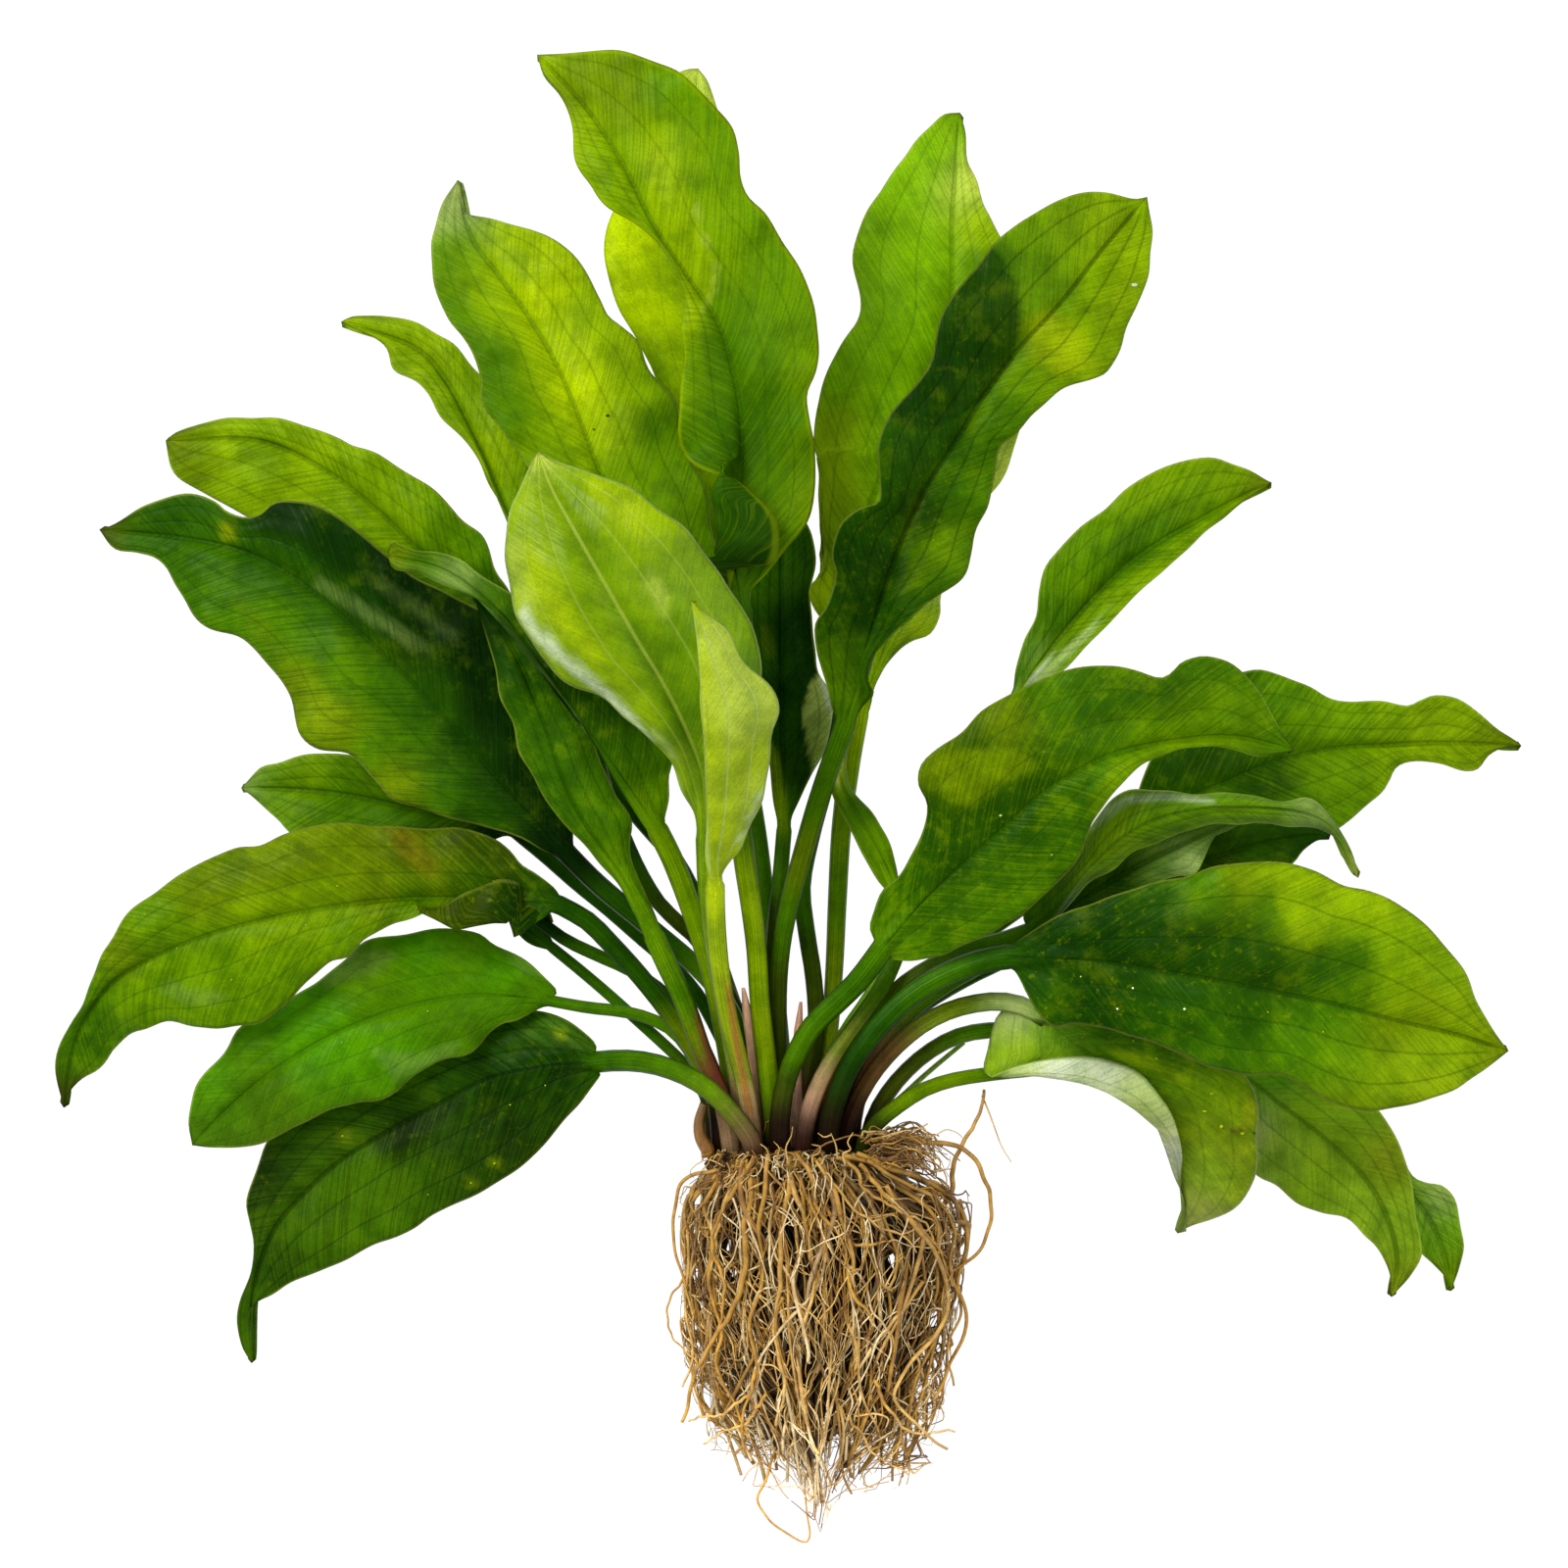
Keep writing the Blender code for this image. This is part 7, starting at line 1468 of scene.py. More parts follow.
def leaf_material(name, look):
    """A thin, satin, light-passing blade: fine slanting strokes between the main veins,
    mottling, and a midrib and side veins that are darker or paler than the blade."""
    g = Graph(name)
    tone, coords = g.tone_and_place()
    place = g.add("ShaderNodeAttribute", attribute_name="place").outputs["Vector"]
    parts = g.add("ShaderNodeSeparateXYZ", {0: place})
    level, width, run = parts.outputs[0], parts.outputs[1], parts.outputs[2]
    blade = g.ramp(width, 2.0, 8.0)
    bare = g.math("SUBTRACT", 1.0, blade)

    across = g.times(level, width)
    slant = g.math("MULTIPLY_ADD", across, -1.15, run)
    stroke_place = g.add("ShaderNodeCombineXYZ", {
        0: g.times(slant, 1 / STROKE_SPACING), 1: g.times(across, 0.055), 2: g.times(run, 0.02)}).outputs[0]
    strokes = g.noise(stroke_place, 1.0, 3.0, 0.6)
    dark_strokes = g.times(g.ramp(strokes, 0.49, 0.62), blade)
    pale_strokes = g.times(g.ramp(strokes, 0.49, 0.36), blade)

    def vein_line(at, half_width):
        away = g.times(g.math("ABSOLUTE", g.math("SUBTRACT", level, at)), width)
        return g.ramp(away, half_width * 0.3, half_width, 1.0, 0.0)

    veins = g.math("MAXIMUM", vein_line(VEINS[0], 0.5), vein_line(VEINS[1], 0.42))
    midrib = g.times(vein_line(0.0, 0.8), g.ramp(width, 2.0, 6.0))
    lines = g.math("MAXIMUM", g.times(g.times(veins, blade), SIDE_VEIN), midrib)

    clouds = g.noise(coords, 120.0, 7.0, 0.68)
    specks = g.noise(coords, 420.0, 4.0, 0.7)
    mottle = g.times(g.ramp(clouds, 0.5, 0.68), look.mottle)
    speck = g.times(g.ramp(specks, 0.55, 0.72), look.speck)
    marks = g.times(g.math("MAXIMUM", mottle, speck), blade)
    colour = g.mix(marks, tone, rgba(look.mottle_tone))
    depth = g.ramp(clouds, 0.3, 0.62, 0.7, 1.17)
    colour = g.shaded(colour, depth, g.ramp(clouds, 0.3, 0.62, 0.76, 1.13), depth)

    # The bare stalk: lengthwise streaks, fine cells, and painted shade on its sides
    grain_place = g.add("ShaderNodeCombineXYZ", {0: g.times(level, 11.0), 1: g.times(run, 0.03)}).outputs[0]
    grain = g.noise(grain_place, 1.0, 3.0)
    cells = g.noise(coords, 1900.0, 2.0)
    # Painted shade: the stalk's flanks, away from its top, are darker
    sides = g.times(g.ramp(level, 0.45, 1.0, 0.0, 0.42), bare)
    body = g.math("SUBTRACT", g.ramp(cells, 0.3, 0.7, 0.9, 1.1), sides)
    streak = g.times(bare, g.ramp(grain, 0.32, 0.64, 0.28, -0.24))
    body = g.math("MULTIPLY_ADD", body, streak, body)
    colour = g.shaded(colour, body, body, body)

    edge = g.times(g.math("SUBTRACT", 1.0, level), width)
    rim = g.times(g.ramp(edge, 0.15, look.rim_width, 1.0, 0.0), blade)
    for amount, strength, tint in ((dark_strokes, look.fine, look.fine_tone),
                                   (pale_strokes, look.fine * 0.6, look.pale_stroke),
                                   (lines, look.vein, look.vein_tone), (rim, look.rim, look.rim_tone)):
        colour = g.mix(g.times(amount, strength), colour, rgba(tint))

    height = g.math("MULTIPLY_ADD", dark_strokes, -0.5, g.times(specks, 0.3))
    bump = g.bump(g.math("MULTIPLY_ADD", lines, -1.0, height), 0.6, 0.0003)
    skin = g.skin(colour, bump, look.rough, look.gloss)
    lit = g.mix(1.0, colour, THROUGH_TINT, "MULTIPLY")
    through = g.add("ShaderNodeBsdfTranslucent", {"Color": lit, "Normal": bump}).outputs[0]
    return g.surfaced(g.add("ShaderNodeMixShader", {0: look.glow, 1: skin, 2: through}).outputs[0])


def rgba(tone):
    return (*TONES[tone], 1.0)


def polygon_amount(xy, polygon, soft):
    """How far inside a polygon each place is: 0 outside, 1 inside, with a soft edge."""
    a = np.array(polygon, float)
    b = np.roll(a, -1, axis=0)
    edge = b - a
    to = xy[:, None] - a[None]
    share = np.clip((to * edge).sum(-1) / (edge**2).sum(-1), 0, 1)
    gap = np.linalg.norm(to - share[..., None] * edge, axis=-1).min(axis=1)
    above_a, above_b = xy[:, None, 1] >= a[None, :, 1], xy[:, None, 1] >= b[None, :, 1]
    slope = edge[:, 0] / np.where(np.abs(edge[:, 1]) < 1e-9, 1e-9, edge[:, 1])
    crossing = a[:, 0] + to[..., 1] * slope
    inside = ((above_a != above_b) & (xy[:, None, 0] < crossing)).sum(axis=1) % 2 == 1
    return smooth_step(0.5 + np.where(inside, gap, -gap) / (2 * soft))


def speck_domes(specks, skin):
    """Points, faces and colours of small flat domes that sit on the skin's highest points. Their
    points come after the skin's own."""
    turn = np.arange(SPECK_SIDES) * 2 * np.pi / SPECK_SIDES
    circle = np.column_stack([np.cos(turn), np.sin(turn), 0 * turn])
    points, faces, colours = [], [], []
    first = len(skin)
    for x, y, half_x, half_y, tone in specks:
        near = np.argsort(np.linalg.norm(skin[:, :2] - (x, y), axis=1))[:SPECK_NEIGHBOURS]
        foot = np.array((x, y, skin[near, 2].max()))
        rings = [foot + circle * (half_x * k, half_y * k, 0) + (0, 0, z) for k, z in SPECK_RINGS]
        points += [*rings, [foot + (0, 0, SPECK_HEIGHT)]]
        dome = ring_faces(len(SPECK_RINGS), SPECK_SIDES)
        faces += [tuple(first + corner for corner in face) for face in dome]
        dome_points = len(SPECK_RINGS) * SPECK_SIDES + 1
        colours += [TONES[tone]] * dome_points
        first += dome_points
    return np.vstack(points), faces, np.array(colours)


def leaf_colours(look, xy, place, under):
    """The tone of each point of a leaf: tones by place, patches, a brown tip and foot, and a near-black very
    foot that is partly painted shade.
    """
    _, share, _, run = place.T
    colours = shade_at(xy, look.shades)
    below = shade_at(xy, look.under_shades or look.shades)
    if look.under_shades is None:
        below = below * UNDER_SHARE + np.array(UNDER_LIGHT) * (1 - UNDER_SHARE)
    colours[under] = below[under]
    for tone, strength, soft, outline in look.patches:
        colours = toward(colours, tone, polygon_amount(xy, outline, soft) * strength * ~under)
    colours = toward(colours, "brown", TIP_BROWN * smooth_step((share - LAST_SHARE) / 0.01))
    near_crown = smooth_step((CROWN_SHADE_TOP - xy[:, 1]) / CROWN_SHADE_DEPTH)
    colours = toward(colours, "brown", near_crown * look.base_shade)
    # The very foot turns near black: its own dark base, and painted shade where it goes in among the roots
    return toward(colours, "dark_foot_and_shade", smooth_step((FOOT_DARK_END - run) / FOOT_DARK_LENGTH) * look.foot_dark)


def add_leaf(leaf, number):
    look = LOOKS[leaf.name]
    rings, place = leaf_surface(leaf, look, np.random.default_rng(100 + number))
    count, size = rings.shape[:2]
    points = np.vstack([rings.reshape(-1, 3), np.append(leaf.rib[-1], leaf.rib_z[-1])])
    faces = ring_faces(count, size)
    place = place.reshape(-1, 4)
    place = np.vstack([place, place[-1]])
    # In each ring the points of the upper side come first; the tip counts as upper
    under = np.append(np.arange(count * size) % size >= 2 * len(LEVELS) - 1, False)
    colours = leaf_colours(look, points[:, :2], place, under)
    marks = place[:, [0, 2, 3]]
    if leaf.name in SPECKS:
        dome_points, dome_faces, dome_colours = speck_domes(SPECKS[leaf.name], points)
        points = np.vstack([points, dome_points])
        faces += dome_faces
        colours = np.vstack([colours, dome_colours])
        marks = np.vstack([marks, np.tile(SPECK_PLACE, (len(dome_points), 1))])
    item = add_mesh(leaf.name + "_fine", points, faces, leaf_material(leaf.name, look))
    item.data.polygons[0].use_smooth = False
    paint(item, "tone", colours)
    mark(item, "place", marks)
    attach(item, "root")
    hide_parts(leaf.name)


def tube(centres, radii, sides):
    """Points and faces of a round bar along the centres, closed at both ends."""
    centres = np.array(centres, float)
    forward = directions(centres)
    side = unit(np.cross(forward, np.roll(forward, 1, axis=1) + (0.1, 0.2, 0.7)))
    for i in range(1, len(side)):
        side[i] = unit(side[i - 1] - forward[i] * np.dot(side[i - 1], forward[i]))
    other = np.cross(forward, side)
    angles = np.arange(sides) * 2 * np.pi / sides
    ring = np.cos(angles)[None, :, None] * side[:, None] + np.sin(angles)[None, :, None] * other[:, None]
    points = (centres[:, None] + ring * np.asarray(radii, float)[:, None, None]).reshape(-1, 3)
    last = (len(centres) - 1) * sides
    ends = tuple(reversed(range(sides))), tuple(range(last, last + sides))
    return points, [ends[0]] + side_quads(len(centres), sides) + [ends[1]]


def taper(radius, share, count):
    """Radii that narrow evenly to a share of the first."""
    return np.linspace(radius, radius * share, count)


class Bundle:
    """Many tubes gathered into one mesh, with a colour for each."""

    def __init__(self, side_shade=0.0):
        self.points, self.faces, self.colours, self.count = [], [], [], 0
        self.side_shade = side_shade

    def add(self, centres, radii, sides, foot_colour, tip_colour):
        points, faces = tube(centres, radii, sides)
        self.points.append(points)
        self.faces += [tuple(v + self.count for v in face) for face in faces]
        share = np.repeat(np.linspace(0, 1, len(centres)), sides)[:, None]
        # Painted shade: vertices low on a tube's section are darker, by side_shade
        upward = (points[:, 2] - np.repeat(centres[:, 2], sides)) / np.repeat(radii, sides)
        lit = smooth_step((upward - SIDE_DARK_BELOW) / SIDE_DARK_SPAN)[:, None]
        colours = np.array(foot_colour) * (1 - share) + np.array(tip_colour) * share
        self.colours.append(colours * (1 - self.side_shade * (1 - lit)))
        self.count += len(points)

    def build(self, name, material, *nodes, shaded=False):
        points = np.vstack(self.points)
        item = add_mesh(name, points, self.faces, material)
        light = skin_light(points)[:, None] if shaded else 1.0
        paint(item, "tone", np.vstack(self.colours) * light)
        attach(item, "root")
        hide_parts(*nodes)


def root_material():
    """Golden-brown root skin: lengthwise grain, darker rings and specks, slightly rough."""
    g = Graph("root_skin")
    tone, coords = g.tone_and_place()
    blotch = g.noise(coords, 260.0, 5.0)
    grain = g.noise(coords, 1400.0, 3.0)
    factors = [g.ramp(blotch, 0.3, 0.7, low, high) for low, high in ((0.68, 1.2), (0.62, 1.2), (0.5, 1.25))]
    colour = g.shaded(tone, *factors)
    dark = g.mix(g.times(g.ramp(grain, 0.5, 0.75), 0.35), colour, (0.10, 0.045, 0.012, 1))
    bump = g.bump(g.math("ADD", blotch, g.times(grain, 0.6)), 0.5, 0.0003)
    return g.surfaced(g.skin(dark, bump, 0.55))


def wiggle(count, rng, sizes):
    """A smooth random offset at each of count points, one amplitude and number of waves a row."""
    t = np.linspace(0, 1, count)
    total = np.zeros((count, 3))
    for amplitude, waves in sizes:
        turns = waves * rng.uniform(0.7, 1.3, 3)
        total += amplitude * np.sin(2 * np.pi * (t[:, None] * turns + rng.uniform(0, 1, 3)))
    return total


def clear_of_holes(points, radius, holes=ROOT_HOLES):
    """Points moved sideways out of the openings that go right through the tangle."""
    for x, y, half_x, half_y in holes:
        size = np.array((half_x + radius, half_y + radius))
        away = (points[:, :2] - (x, y)) / size
        distance = np.linalg.norm(away, axis=1)
        inside = distance < 1
        out = away[inside] / np.maximum(distance[inside], 1e-3)[:, None]
        points[inside, :2] = (x, y) + out * size
    return points


def soften(points, passes):
    """A path with its kinks evened out."""
    for _ in range(passes):
        points[1:-1] = (points[:-2] + 2 * points[1:-1] + points[2:]) / 4
    return points


def bag(share):
    """The root ball at a share of the way down: its centre in X and half width, then its middle
    height and half depth."""
    centre, half = (read_table([(row[0], row[k]) for row in ROOT_WIDTHS], share) for k in (1, 2))
    middle = ROOT_MIDDLE * (1 - share) + ROOT_END_DEPTH * share
    return centre, half, middle, ROOT_HALF_DEPTH * (1 - share**2.2) + ROOT_END_DEPTH


def down_share(points):
    """How far down the root ball each point is, from 0 at its start to 1 at the tips below."""
    reach = read_table(ROOT_TIPS, points[:, 0])
    return np.clip((points[:, 1] - ROOT_START_Y) / (reach - ROOT_START_Y), 0, 1)


def root_path(rng, angle, fill, end, count):
    """The centre line of a root: from the crown's rim out to the bag's skin, or to the given
    fill of it, and down with the others. Half a turn of angles, from 0 to pi, faces up."""
    share = np.linspace(0, 1, count) ** 1.15 * end
    drift = angle + rng.normal(0, ROOT_DRIFT) * share
    centre, half, middle, depth = bag(share)
    spread = smooth_step(share / rng.uniform(0.1, 0.26))
    start_x = CROWN_CENTER[0] + 3 + (CROWN_HALF[0] + 1) * np.cos(angle) * fill
    start_z = CROWN_CENTER[1] + (CROWN_HALF[1] + 1) * np.sin(angle) * fill
    x = start_x + (centre + half * fill * np.cos(drift) - start_x) * spread
    z = start_z + (middle + depth * fill * np.sin(drift) - start_z) * spread
    reach = read_table(ROOT_TIPS, x)
    start_y = rng.uniform(10.5, 14.5) if fill > 0.7 else ROOT_START_Y - 1.0
    hump = rng.uniform(-0.5, 1.9) * np.maximum(np.sin(angle), 0.0) * (fill > 0.7)
    y = start_y + (reach - start_y) * share + hump * np.sin(np.pi * np.clip(share / 0.13, 0, 1)) ** 2
    return np.column_stack([x, y, z])


def crossing_path(rng, count):
    """A thin root on the upper side that runs across the others in loops."""
    first = rng.uniform(0.0, 0.5)
    share = np.linspace(first, first + rng.uniform(0.35, 0.5), count)
    turn = rng.uniform(0.15, 0.85)
    angle = np.linspace(turn, turn + rng.uniform(-0.3, 0.3), count).clip(0.1, 0.9) * np.pi
    centre, half, middle, depth = bag(share)
    x = centre + half * 0.98 * np.cos(angle)
    y = ROOT_START_Y + 3 + (read_table(ROOT_TIPS, x) - ROOT_START_Y - 3) * share
    path = np.column_stack([x, y, middle + depth * np.sin(angle)])
    return path + wiggle(count, rng, ((3.0, 1.2), (1.2, 2.4), (0.35, 6)))


def branch(rng, path, low, high, count):
    """A rootlet that leaves a root sideways and bends down with it."""
    at = rng.integers(3, len(path) - 2)
    run = rng.uniform(low, high)
    heading = unit(unit(path[at + 1] - path[at]) + rng.normal(0, 0.8, 3))
    t = np.linspace(0, 1, count)[:, None]
    line = path[at] + heading * run * t + np.array((0, -1, 0)) * run * 0.35 * t**1.6
    return line + wiggle(count, rng, ((run * 0.085, 1.1), (run * 0.03, 2.5))) * t**0.5


def keep_in_tuft(points):
    """Points of the fibrous shoulder at the right of the crown, kept inside its outline."""
    points[:, 0] = np.minimum(points[:, 0], TUFT_TOP[-1][0])
    points[:, 1] = np.minimum(points[:, 1], read_table(TUFT_TOP, points[:, 0]))
    return points


def keep_in_bag(points, slack=1.03):
    """Points drawn back inside the root ball's own outline seen from above and its depth."""
    reach = read_table(ROOT_TIPS, points[:, 0])
    centre, half, middle, depth = bag(down_share(points))
    half, depth = half * slack, depth * 1.02
    across, upward = (points[:, 0] - centre) / half, (points[:, 2] - middle) / depth
    scale = np.minimum(1, 1 / np.maximum(np.hypot(across, upward), 1e-6))
    points[:, 0] = centre + across * scale * half
    points[:, 2] = middle + upward * scale * depth
    points[:, 1] = np.maximum(points[:, 1], reach - 4)
    return points


def keep_off_floor(points, radius):
    """Lifts the points of a root of that radius so that it lies on the floor, not in it."""
    points[:, 2] = np.maximum(points[:, 2], radius + 0.05)


def skin_light(points):
    """How pale roots are at places: full at the tangle's skin, darkened by painted shade inside it and in its
    hollow.
    """
    share = down_share(points)
    centre, half, middle, depth = bag(share)
    away = np.hypot((points[:, 0] - centre) / half, (points[:, 2] - middle) / depth)
    inside = (1 - smooth_step((away - 0.79) / 0.2)) * smooth_step((17 - points[:, 1]) / 4)
    inside *= 1 - smooth_step((share - 0.6) / 0.3)
    x, y, half_x, half_y = ROOT_HOLLOW
    hollow = np.exp(-(((points[:, 0] - x) / half_x) ** 2) - ((points[:, 1] - y) / half_y) ** 2)
    hollow = hollow * (1 - smooth_step((away - 0.9) / 0.12))
    downward = np.interp(points[:, 1], ROOT_TONE_PLACES, ROOT_TONE_SHARES)
    return downward * (1 - DEPTH_SHADE * inside) * (1 - HOLLOW_SHADE * hollow)


def tone_of(rng, names, low, high):
    return np.array(TONES[rng.choice(names)]) * rng.uniform(low, high)


def add_core(rng, material):
    # Dark tubes deep inside the tangle: painted shade between the outer roots
    core = Bundle(SIDE_SHADE)
    for _ in range(CORE_ROOTS):
        path = root_path(rng, rng.uniform(0, 2 * np.pi), rng.uniform(0.15, 0.74), rng.uniform(0.55, 0.9), 22)
        path += wiggle(22, rng, ((2.5, 1.5), (1.0, 3)))
        path = soften(clear_of_holes(path, 2.4), 1)
        path[:, 2] = np.maximum(path[:, 2], 3.0)
        tone = np.array(TONES["root_shade_brown"]) * rng.uniform(0.6, 1.3)
        core.add(path, np.linspace(2.2, 1.0, 22), 7, tone * 0.6, tone * 1.2)
    core.build("root_shade_core", material, "root_ball")


def main_root(rng, count=40):
    """A random main root: its path, radius, and colours at the foot and the tip."""
    upper = rng.random() < 0.6
    angle = rng.uniform(0.06, 0.94) * np.pi if upper else rng.uniform(1.0, 2.0) * np.pi
    fill = rng.uniform(0.76, 1.0) if upper else rng.uniform(0.6, 0.98)
    end = rng.uniform(0.84, 1.0) if rng.random() < 0.62 else rng.uniform(0.35, 0.84)
    path = root_path(rng, angle, fill, end, count)
    grow = np.linspace(0, 1, count)[:, None] ** 0.7
    curl = rng.choice((0.6, 1.0, 1.5), p=(0.4, 0.4, 0.2))
    path += wiggle(count, rng, ((3.4, 1.1), (1.1 * curl, 2.5), (0.3 * curl, 6))) * grow
    radius = rng.uniform(0.42, 1.0)
    path = soften(clear_of_holes(keep_in_bag(path, rng.uniform(0.94, 1.1)), radius + 0.4), 2)
    path = soften(clear_of_holes(path, radius), 1)
    if upper and fill > 0.8:
        path = soften(clear_of_holes(path, 0.0, [ROOT_HOLLOW]), 3)
    keep_off_floor(path, radius)
    # Painted shade: roots that lie deeper inside the tangle are darker
    deep = 0.45 + 0.6 * (fill - 0.6) / 0.4
    foot = tone_of(rng, ["root_gold", "root_brown", "root_gold"], 0.75, 1.15) * deep
    pale_middle = abs(path[-1, 0] + 2) < 14 and upper
    often = "root_pale" if pale_middle else "root_gold"
    return path, radius, foot, tone_of(rng, ["root_tan", often, often], 0.75, 1.1) * deep


def leading_root(rng, line, count=60):
    """The path of a root drawn from above, laid on the ball's upper skin."""
    line = np.array(line, float)
    centre, half, middle, depth = bag(np.clip((ROOT_START_Y - line[:, 1]) / 80, 0, 1))
    height = middle + depth * np.sqrt(np.clip(1 - ((line[:, 0] - centre) / half) ** 2, 0.06, 1))
    height[0] = min(height[0], CROWN_CENTER[1] + CROWN_HALF[1])
    path = along_space(np.column_stack([line, height]), count)
    return path + wiggle(count, rng, ((0.35, 3), (0.15, 8)))


def add_strands(rng, material):
    """The main roots, in two pieces. Gives their paths, from which the rootlets branch."""
    bundles = [Bundle(SIDE_SHADE), Bundle(SIDE_SHADE)]
    paths = []
    for i in range(MAIN_ROOTS):
        path, radius, foot, tip = main_root(rng)
        bundles[i % 2].add(path, taper(radius, 0.5, len(path)), 7, foot, tip)
        paths.append(path)
    for i in range(CROSSING_ROOTS):
        path = crossing_path(rng, 44)
        radius = rng.uniform(0.25, 0.5)
        path = soften(clear_of_holes(keep_in_bag(path, 1.04), radius + 0.3), 2)
        tone = tone_of(rng, ["root_tan", "root_gold", "root_brown"], 0.8, 1.0)
        bundles[i % 2].add(path, taper(radius, 0.5, len(path)), 7, tone * 0.85, tone)
        paths.append(path)
    gold = np.array(TONES["root_gold"])
    for i, (radius, tip_tone, line) in enumerate(LEADING_ROOTS):
        path = leading_root(rng, line)
        bundles[i % 2].add(path, taper(radius, 0.45, len(path)), 8, gold * 0.95, TONES[tip_tone])
        paths.append(path)
    for radius, line in STRANDS:
        path = along_space(line, 60) + wiggle(60, rng, ((0.3, 2.5), (0.12, 7)))
        bundles[0].add(path, taper(radius * STRAND_THINNING, 0.5, 60), 7, gold, gold * 1.1)
    for i, bundle in enumerate(bundles):
        bundle.build(f"root_strands_{i + 1}", material, "root_ball", shaded=True)
    return paths


def crown_fibre(rng):
    """A short fibre at the crown's upper rim: its path and radius."""
    angle = rng.uniform(0.05, 1.12) * np.pi
    foot = np.array((CROWN_CENTER[0] + 3 + CROWN_HALF[0] * np.cos(angle) * rng.uniform(0.85, 1.05),
                     rng.uniform(11, 17), CROWN_CENTER[1] + (CROWN_HALF[1] + 0.5) * np.sin(angle)))
    heading = unit(np.array((rng.normal(0, 0.7), rng.normal(-0.1, 0.7), rng.uniform(0.2, 1.0))))
    t = np.linspace(0, 1, 9)[:, None]
    run = rng.uniform(2.0, 6.5) + 2.5 * np.exp(-(((foot[0] - 2) / 7) ** 2))
    line = foot + heading * run * t + np.array((0, -1, -0.3)) * run * 0.8 * t**2
    line += wiggle(9, rng, ((0.9, 1.2), (0.35, 2.2))) * t
    return line, rng.uniform(0.16, 0.36)


def tuft_fibre(rng):
    """A fibre of the shoulder at the right of the crown, which arches out and down."""
    foot = np.array((rng.uniform(14, 22), rng.uniform(11, 20), rng.uniform(34, 62)))
    t = np.linspace(0, 1, 16)[:, None]
    run = rng.uniform(8, 20)
    rise = rng.uniform(0.15, 1.4)
    line = foot + np.array((1, rise, 0.1)) * run * t * 0.8
    line += np.array((0.1, -1, -0.2)) * run * rise * 0.9 * t**2.2
    line += wiggle(16, rng, ((1.5, 1.3), (0.7, 3), (0.3, 5))) * t**0.5
    return soften(keep_in_tuft(line), 1), rng.uniform(0.14, 0.42)


def add_hairs(rng, material, paths):
    """Rootlets on the main roots, fibres round the crown and its stubs, in two pieces."""
    bundles = [Bundle(SIDE_SHADE), Bundle(SIDE_SHADE)]
    mixed = ["root_gold", "root_tan", "root_pale", "root_brown"]
    for i in range(ROOTLETS):
        line = keep_in_bag(branch(rng, paths[rng.integers(len(paths))], 9, 34, 15))
        radius = rng.uniform(0.12, 0.36)
        line = clear_of_holes(soften(clear_of_holes(line, radius + 0.3), 1), radius)
        keep_off_floor(line, radius)
        tone = tone_of(rng, mixed, 0.8, 1.1)
        bundles[i % 2].add(line, taper(radius, 0.4, len(line)), 5, tone, tone)
    for i in range(CROWN_FIBRES):
        line, radius = crown_fibre(rng)
        tone = tone_of(rng, mixed, 0.8, 1.1)
        bundles[i % 2].add(line, taper(radius, 0.6, len(line)), 5, tone * 0.8, tone)
    for i in range(TUFT_FIBRES):
        line, radius = tuft_fibre(rng)
        tone = tone_of(rng, ["root_gold", "root_brown", "root_brown", "root_tan"], 0.7, 1.05)
        bundles[i % 2].add(line, taper(radius, 0.5, len(line)), 5, tone, tone)
    for radius, line in STUBS:
        tone = TONES["root_tan"]
        bundles[0].add(along_space(line, 24), taper(radius, 0.4, 24), 5, tone, tone)
    for i, bundle in enumerate(bundles):
        bundle.build(f"root_hairs_{i + 1}", material, "root_ball", shaded=True)


def add_roots():
    material = root_material()
    rng = np.random.default_rng(7)
    add_core(rng, material)
    add_hairs(rng, material, add_strands(rng, material))


def add_crown():
    """The short rhizome: a lumpy, fibrous, dark brown disc that the stalks and roots grow from."""
    rng = np.random.default_rng(3)
    theta = np.arange(CROWN_SIDES) * 2 * np.pi / CROWN_SIDES
    phases = rng.uniform(0, 2 * np.pi, 6)
    points = []
    for i in range(CROWN_ROWS):
        tilt = np.pi * (i + 0.5) / CROWN_ROWS
        scale = np.sin(tilt) ** 0.35
        lump = sum(0.03 * np.sin((3 + 2 * j) * theta + phase + i * 0.3) for j, phase in enumerate(phases))
        ring = scale * (1 + lump + 0.02 * np.sin(23 * theta + phases[0]))
        x = CROWN_CENTER[0] + 0.4 + (CROWN_HALF[0] - 1.6) * ring * np.cos(theta)
        y = CROWN_Y - CROWN_HALF_LENGTH * np.cos(tilt) + 0.5 * np.sin(5 * theta + i)
        z = CROWN_CENTER[1] + CROWN_HALF[1] * ring * np.sin(theta)
        points.append(np.column_stack([x, y, z]))
    faces = [tuple(range(CROWN_SIDES))]
    faces += [(a, d, c, b) for a, b, c, d in side_quads(CROWN_ROWS, CROWN_SIDES)]
    last = (CROWN_ROWS - 1) * CROWN_SIDES
    faces.append(tuple(reversed(range(last, last + CROWN_SIDES))))
    item = add_mesh("crown", np.vstack(points), faces, crown_material())
    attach(item, "root")
    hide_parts("rhizome")


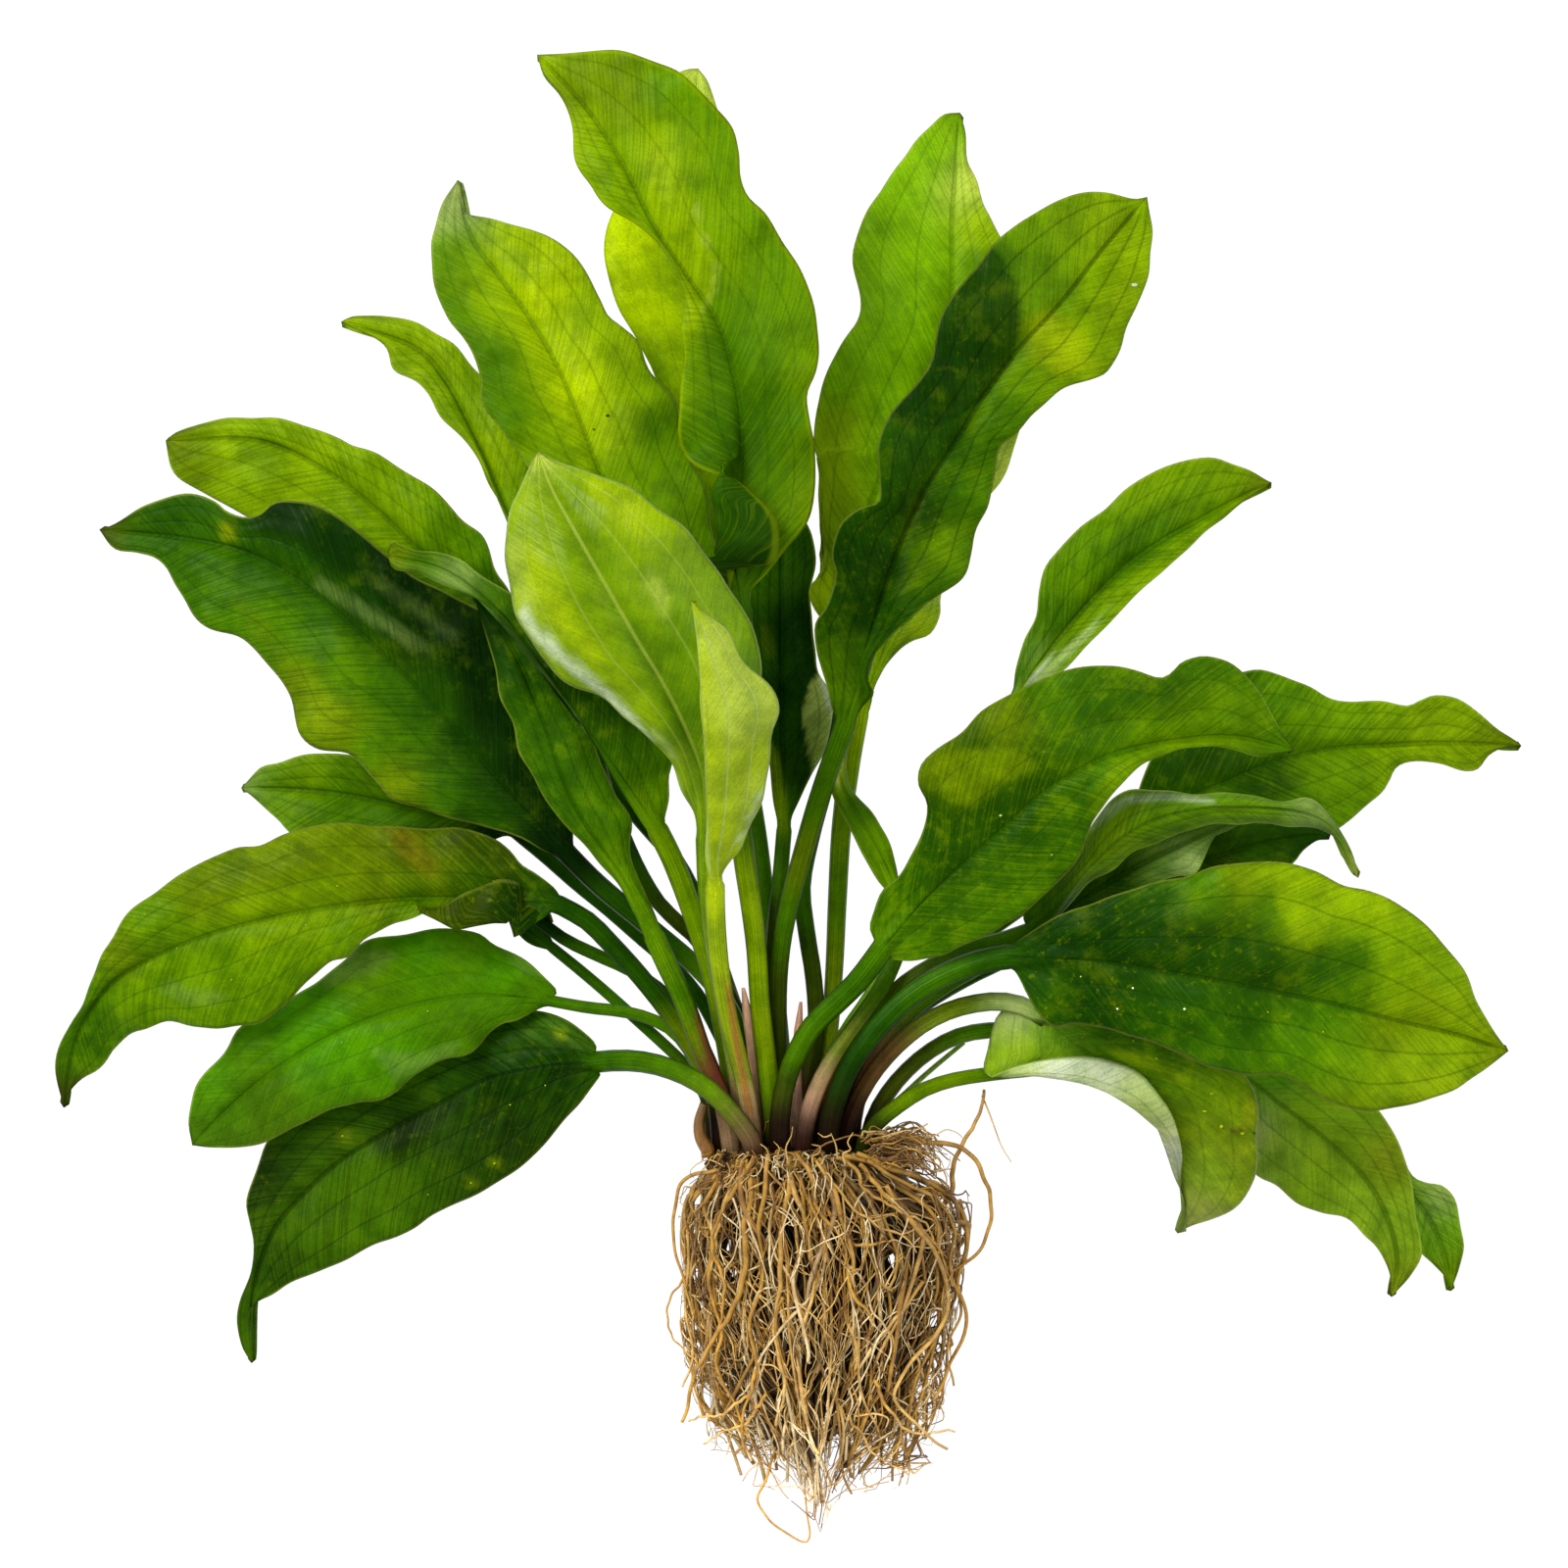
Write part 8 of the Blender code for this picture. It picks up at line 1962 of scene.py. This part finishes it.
def crown_material():
    g = Graph("crown_skin")
    coords = g.add("ShaderNodeTexCoord").outputs["Object"]
    fibre = g.noise(g.stretched(coords, 0.25), 900.0, 5.0)
    lumps = g.noise(coords, 180.0, 4.0)
    colour = g.mix(g.ramp(fibre, 0.42, 0.66), (0.010, 0.005, 0.001, 1), (0.15, 0.08, 0.016, 1))
    colour = g.mix(g.times(g.ramp(lumps, 0.5, 0.7), 0.5), colour, (0.26, 0.15, 0.035, 1))
    bump = g.bump(g.math("ADD", fibre, lumps), 0.9, 0.0012)
    return g.surfaced(g.skin(colour, bump, 0.75, 0.1))


def add_shoots():
    count = 40
    for name, (radii, tones, pointed, line) in SHOOTS.items():
        centres = along_space(line, count)
        centres[0, 1] -= STALK_EXTRA
        radii = np.linspace(*radii, count)
        if pointed:
            radii[-POINT_RINGS:] *= np.linspace(1, 0.25, POINT_RINGS) ** 0.7
        bundle = Bundle()
        bundle.add(centres, radii, 14, TONES[tones[0]], TONES[tones[1]])
        bundle.build(name + "_fine", shoot_material(name), name)


def shoot_material(name):
    g = Graph(name + "_skin")
    tone, coords = g.tone_and_place()
    lines = g.noise(g.stretched(coords, 0.12), 1500.0, 3.0)
    factors = [g.ramp(lines, 0.3, 0.7, low, high) for low, high in ((0.75, 1.15), (0.7, 1.15), (0.7, 1.1))]
    return g.surfaced(g.skin(g.shaded(tone, *factors), g.bump(lines, 0.4, 0.0003), 0.42))


def add_stage():
    """A large pale floor that glows softly, so that light also comes through the leaves."""
    corners = [(x * FLOOR_HALF, y * FLOOR_HALF, FLOOR_Z) for x, y in ((-1, -1), (1, -1), (1, 1), (-1, 1))]
    g = Graph("studio_floor")
    skin = g.add("ShaderNodeBsdfPrincipled", {"Base Color": (FLOOR_ALBEDO, FLOOR_ALBEDO, FLOOR_ALBEDO, 1),
                                              "Roughness": 1.0, "Specular IOR Level": 0.0,
                                              "Emission Color": (1, 1, 1, 1),
                                              "Emission Strength": FLOOR_GLOW})
    floor = add_mesh("floor", corners, [(0, 1, 2, 3)], g.surfaced(skin.outputs[0]))


def add_light(name, direction, strength, angle):
    """A broad distant lamp. Direction points from the plant to the lamp."""
    data = bpy.data.lights.new(name, "SUN")
    data.energy = strength
    data.angle = np.radians(angle)
    lamp = bpy.data.objects.new(name, data)
    lamp.rotation_mode = "QUATERNION"
    lamp.rotation_quaternion = Vector(direction).to_track_quat("Z", "Y")
    bpy.context.scene.collection.objects.link(lamp)


def add_world():
    """Soft light all round: bright near the horizon, dim overhead."""
    world = bpy.data.worlds.new("studio")
    bpy.context.scene.world = world
    world.use_nodes = True
    nodes, links = world.node_tree.nodes, world.node_tree.links
    nodes.clear()
    coords = nodes.new("ShaderNodeTexCoord")
    parts = nodes.new("ShaderNodeSeparateXYZ")
    links.new(coords.outputs["Generated"], parts.inputs[0])
    rise = nodes.new("ShaderNodeMapRange")
    rise.interpolation_type = "SMOOTHSTEP"
    for key, value in enumerate((SKY_LOW, SKY_HIGH, SKY_SIDE, SKY_TOP), 1):
        rise.inputs[key].default_value = value
    links.new(parts.outputs[2], rise.inputs[0])
    sky = nodes.new("ShaderNodeBackground")
    links.new(rise.outputs[0], sky.inputs["Strength"])
    out = nodes.new("ShaderNodeOutputWorld")
    links.new(sky.outputs[0], out.inputs["Surface"])


def add_camera():
    """Straight above the plant, with its leaves' tips at the top of the picture."""
    data = bpy.data.cameras.new("camera")
    data.sensor_width = SENSOR_WIDTH
    data.lens = SENSOR_WIDTH * (CAMERA_HEIGHT - FOCUS_HEIGHT) / VIEW_WIDTH
    data.clip_start = 0.1
    data.clip_end = 100.0
    camera = bpy.data.objects.new("camera", data)
    camera.location = (VIEW_CENTER[0] * MM, VIEW_CENTER[1] * MM, CAMERA_HEIGHT * MM)
    bpy.context.scene.collection.objects.link(camera)
    bpy.context.scene.camera = camera


bpy.context.scene.view_settings.view_transform = "Standard"
add_camera()
add_stage()
add_world()
add_light("key", (-0.55, 0.45, 0.8), KEY_STRENGTH, 35)
add_light("fill", (0.6, 0.1, 0.7), FILL_STRENGTH, 50)
for number, leaf in enumerate(LEAVES):
    add_leaf(leaf, number)
add_crown()
add_shoots()
add_roots()
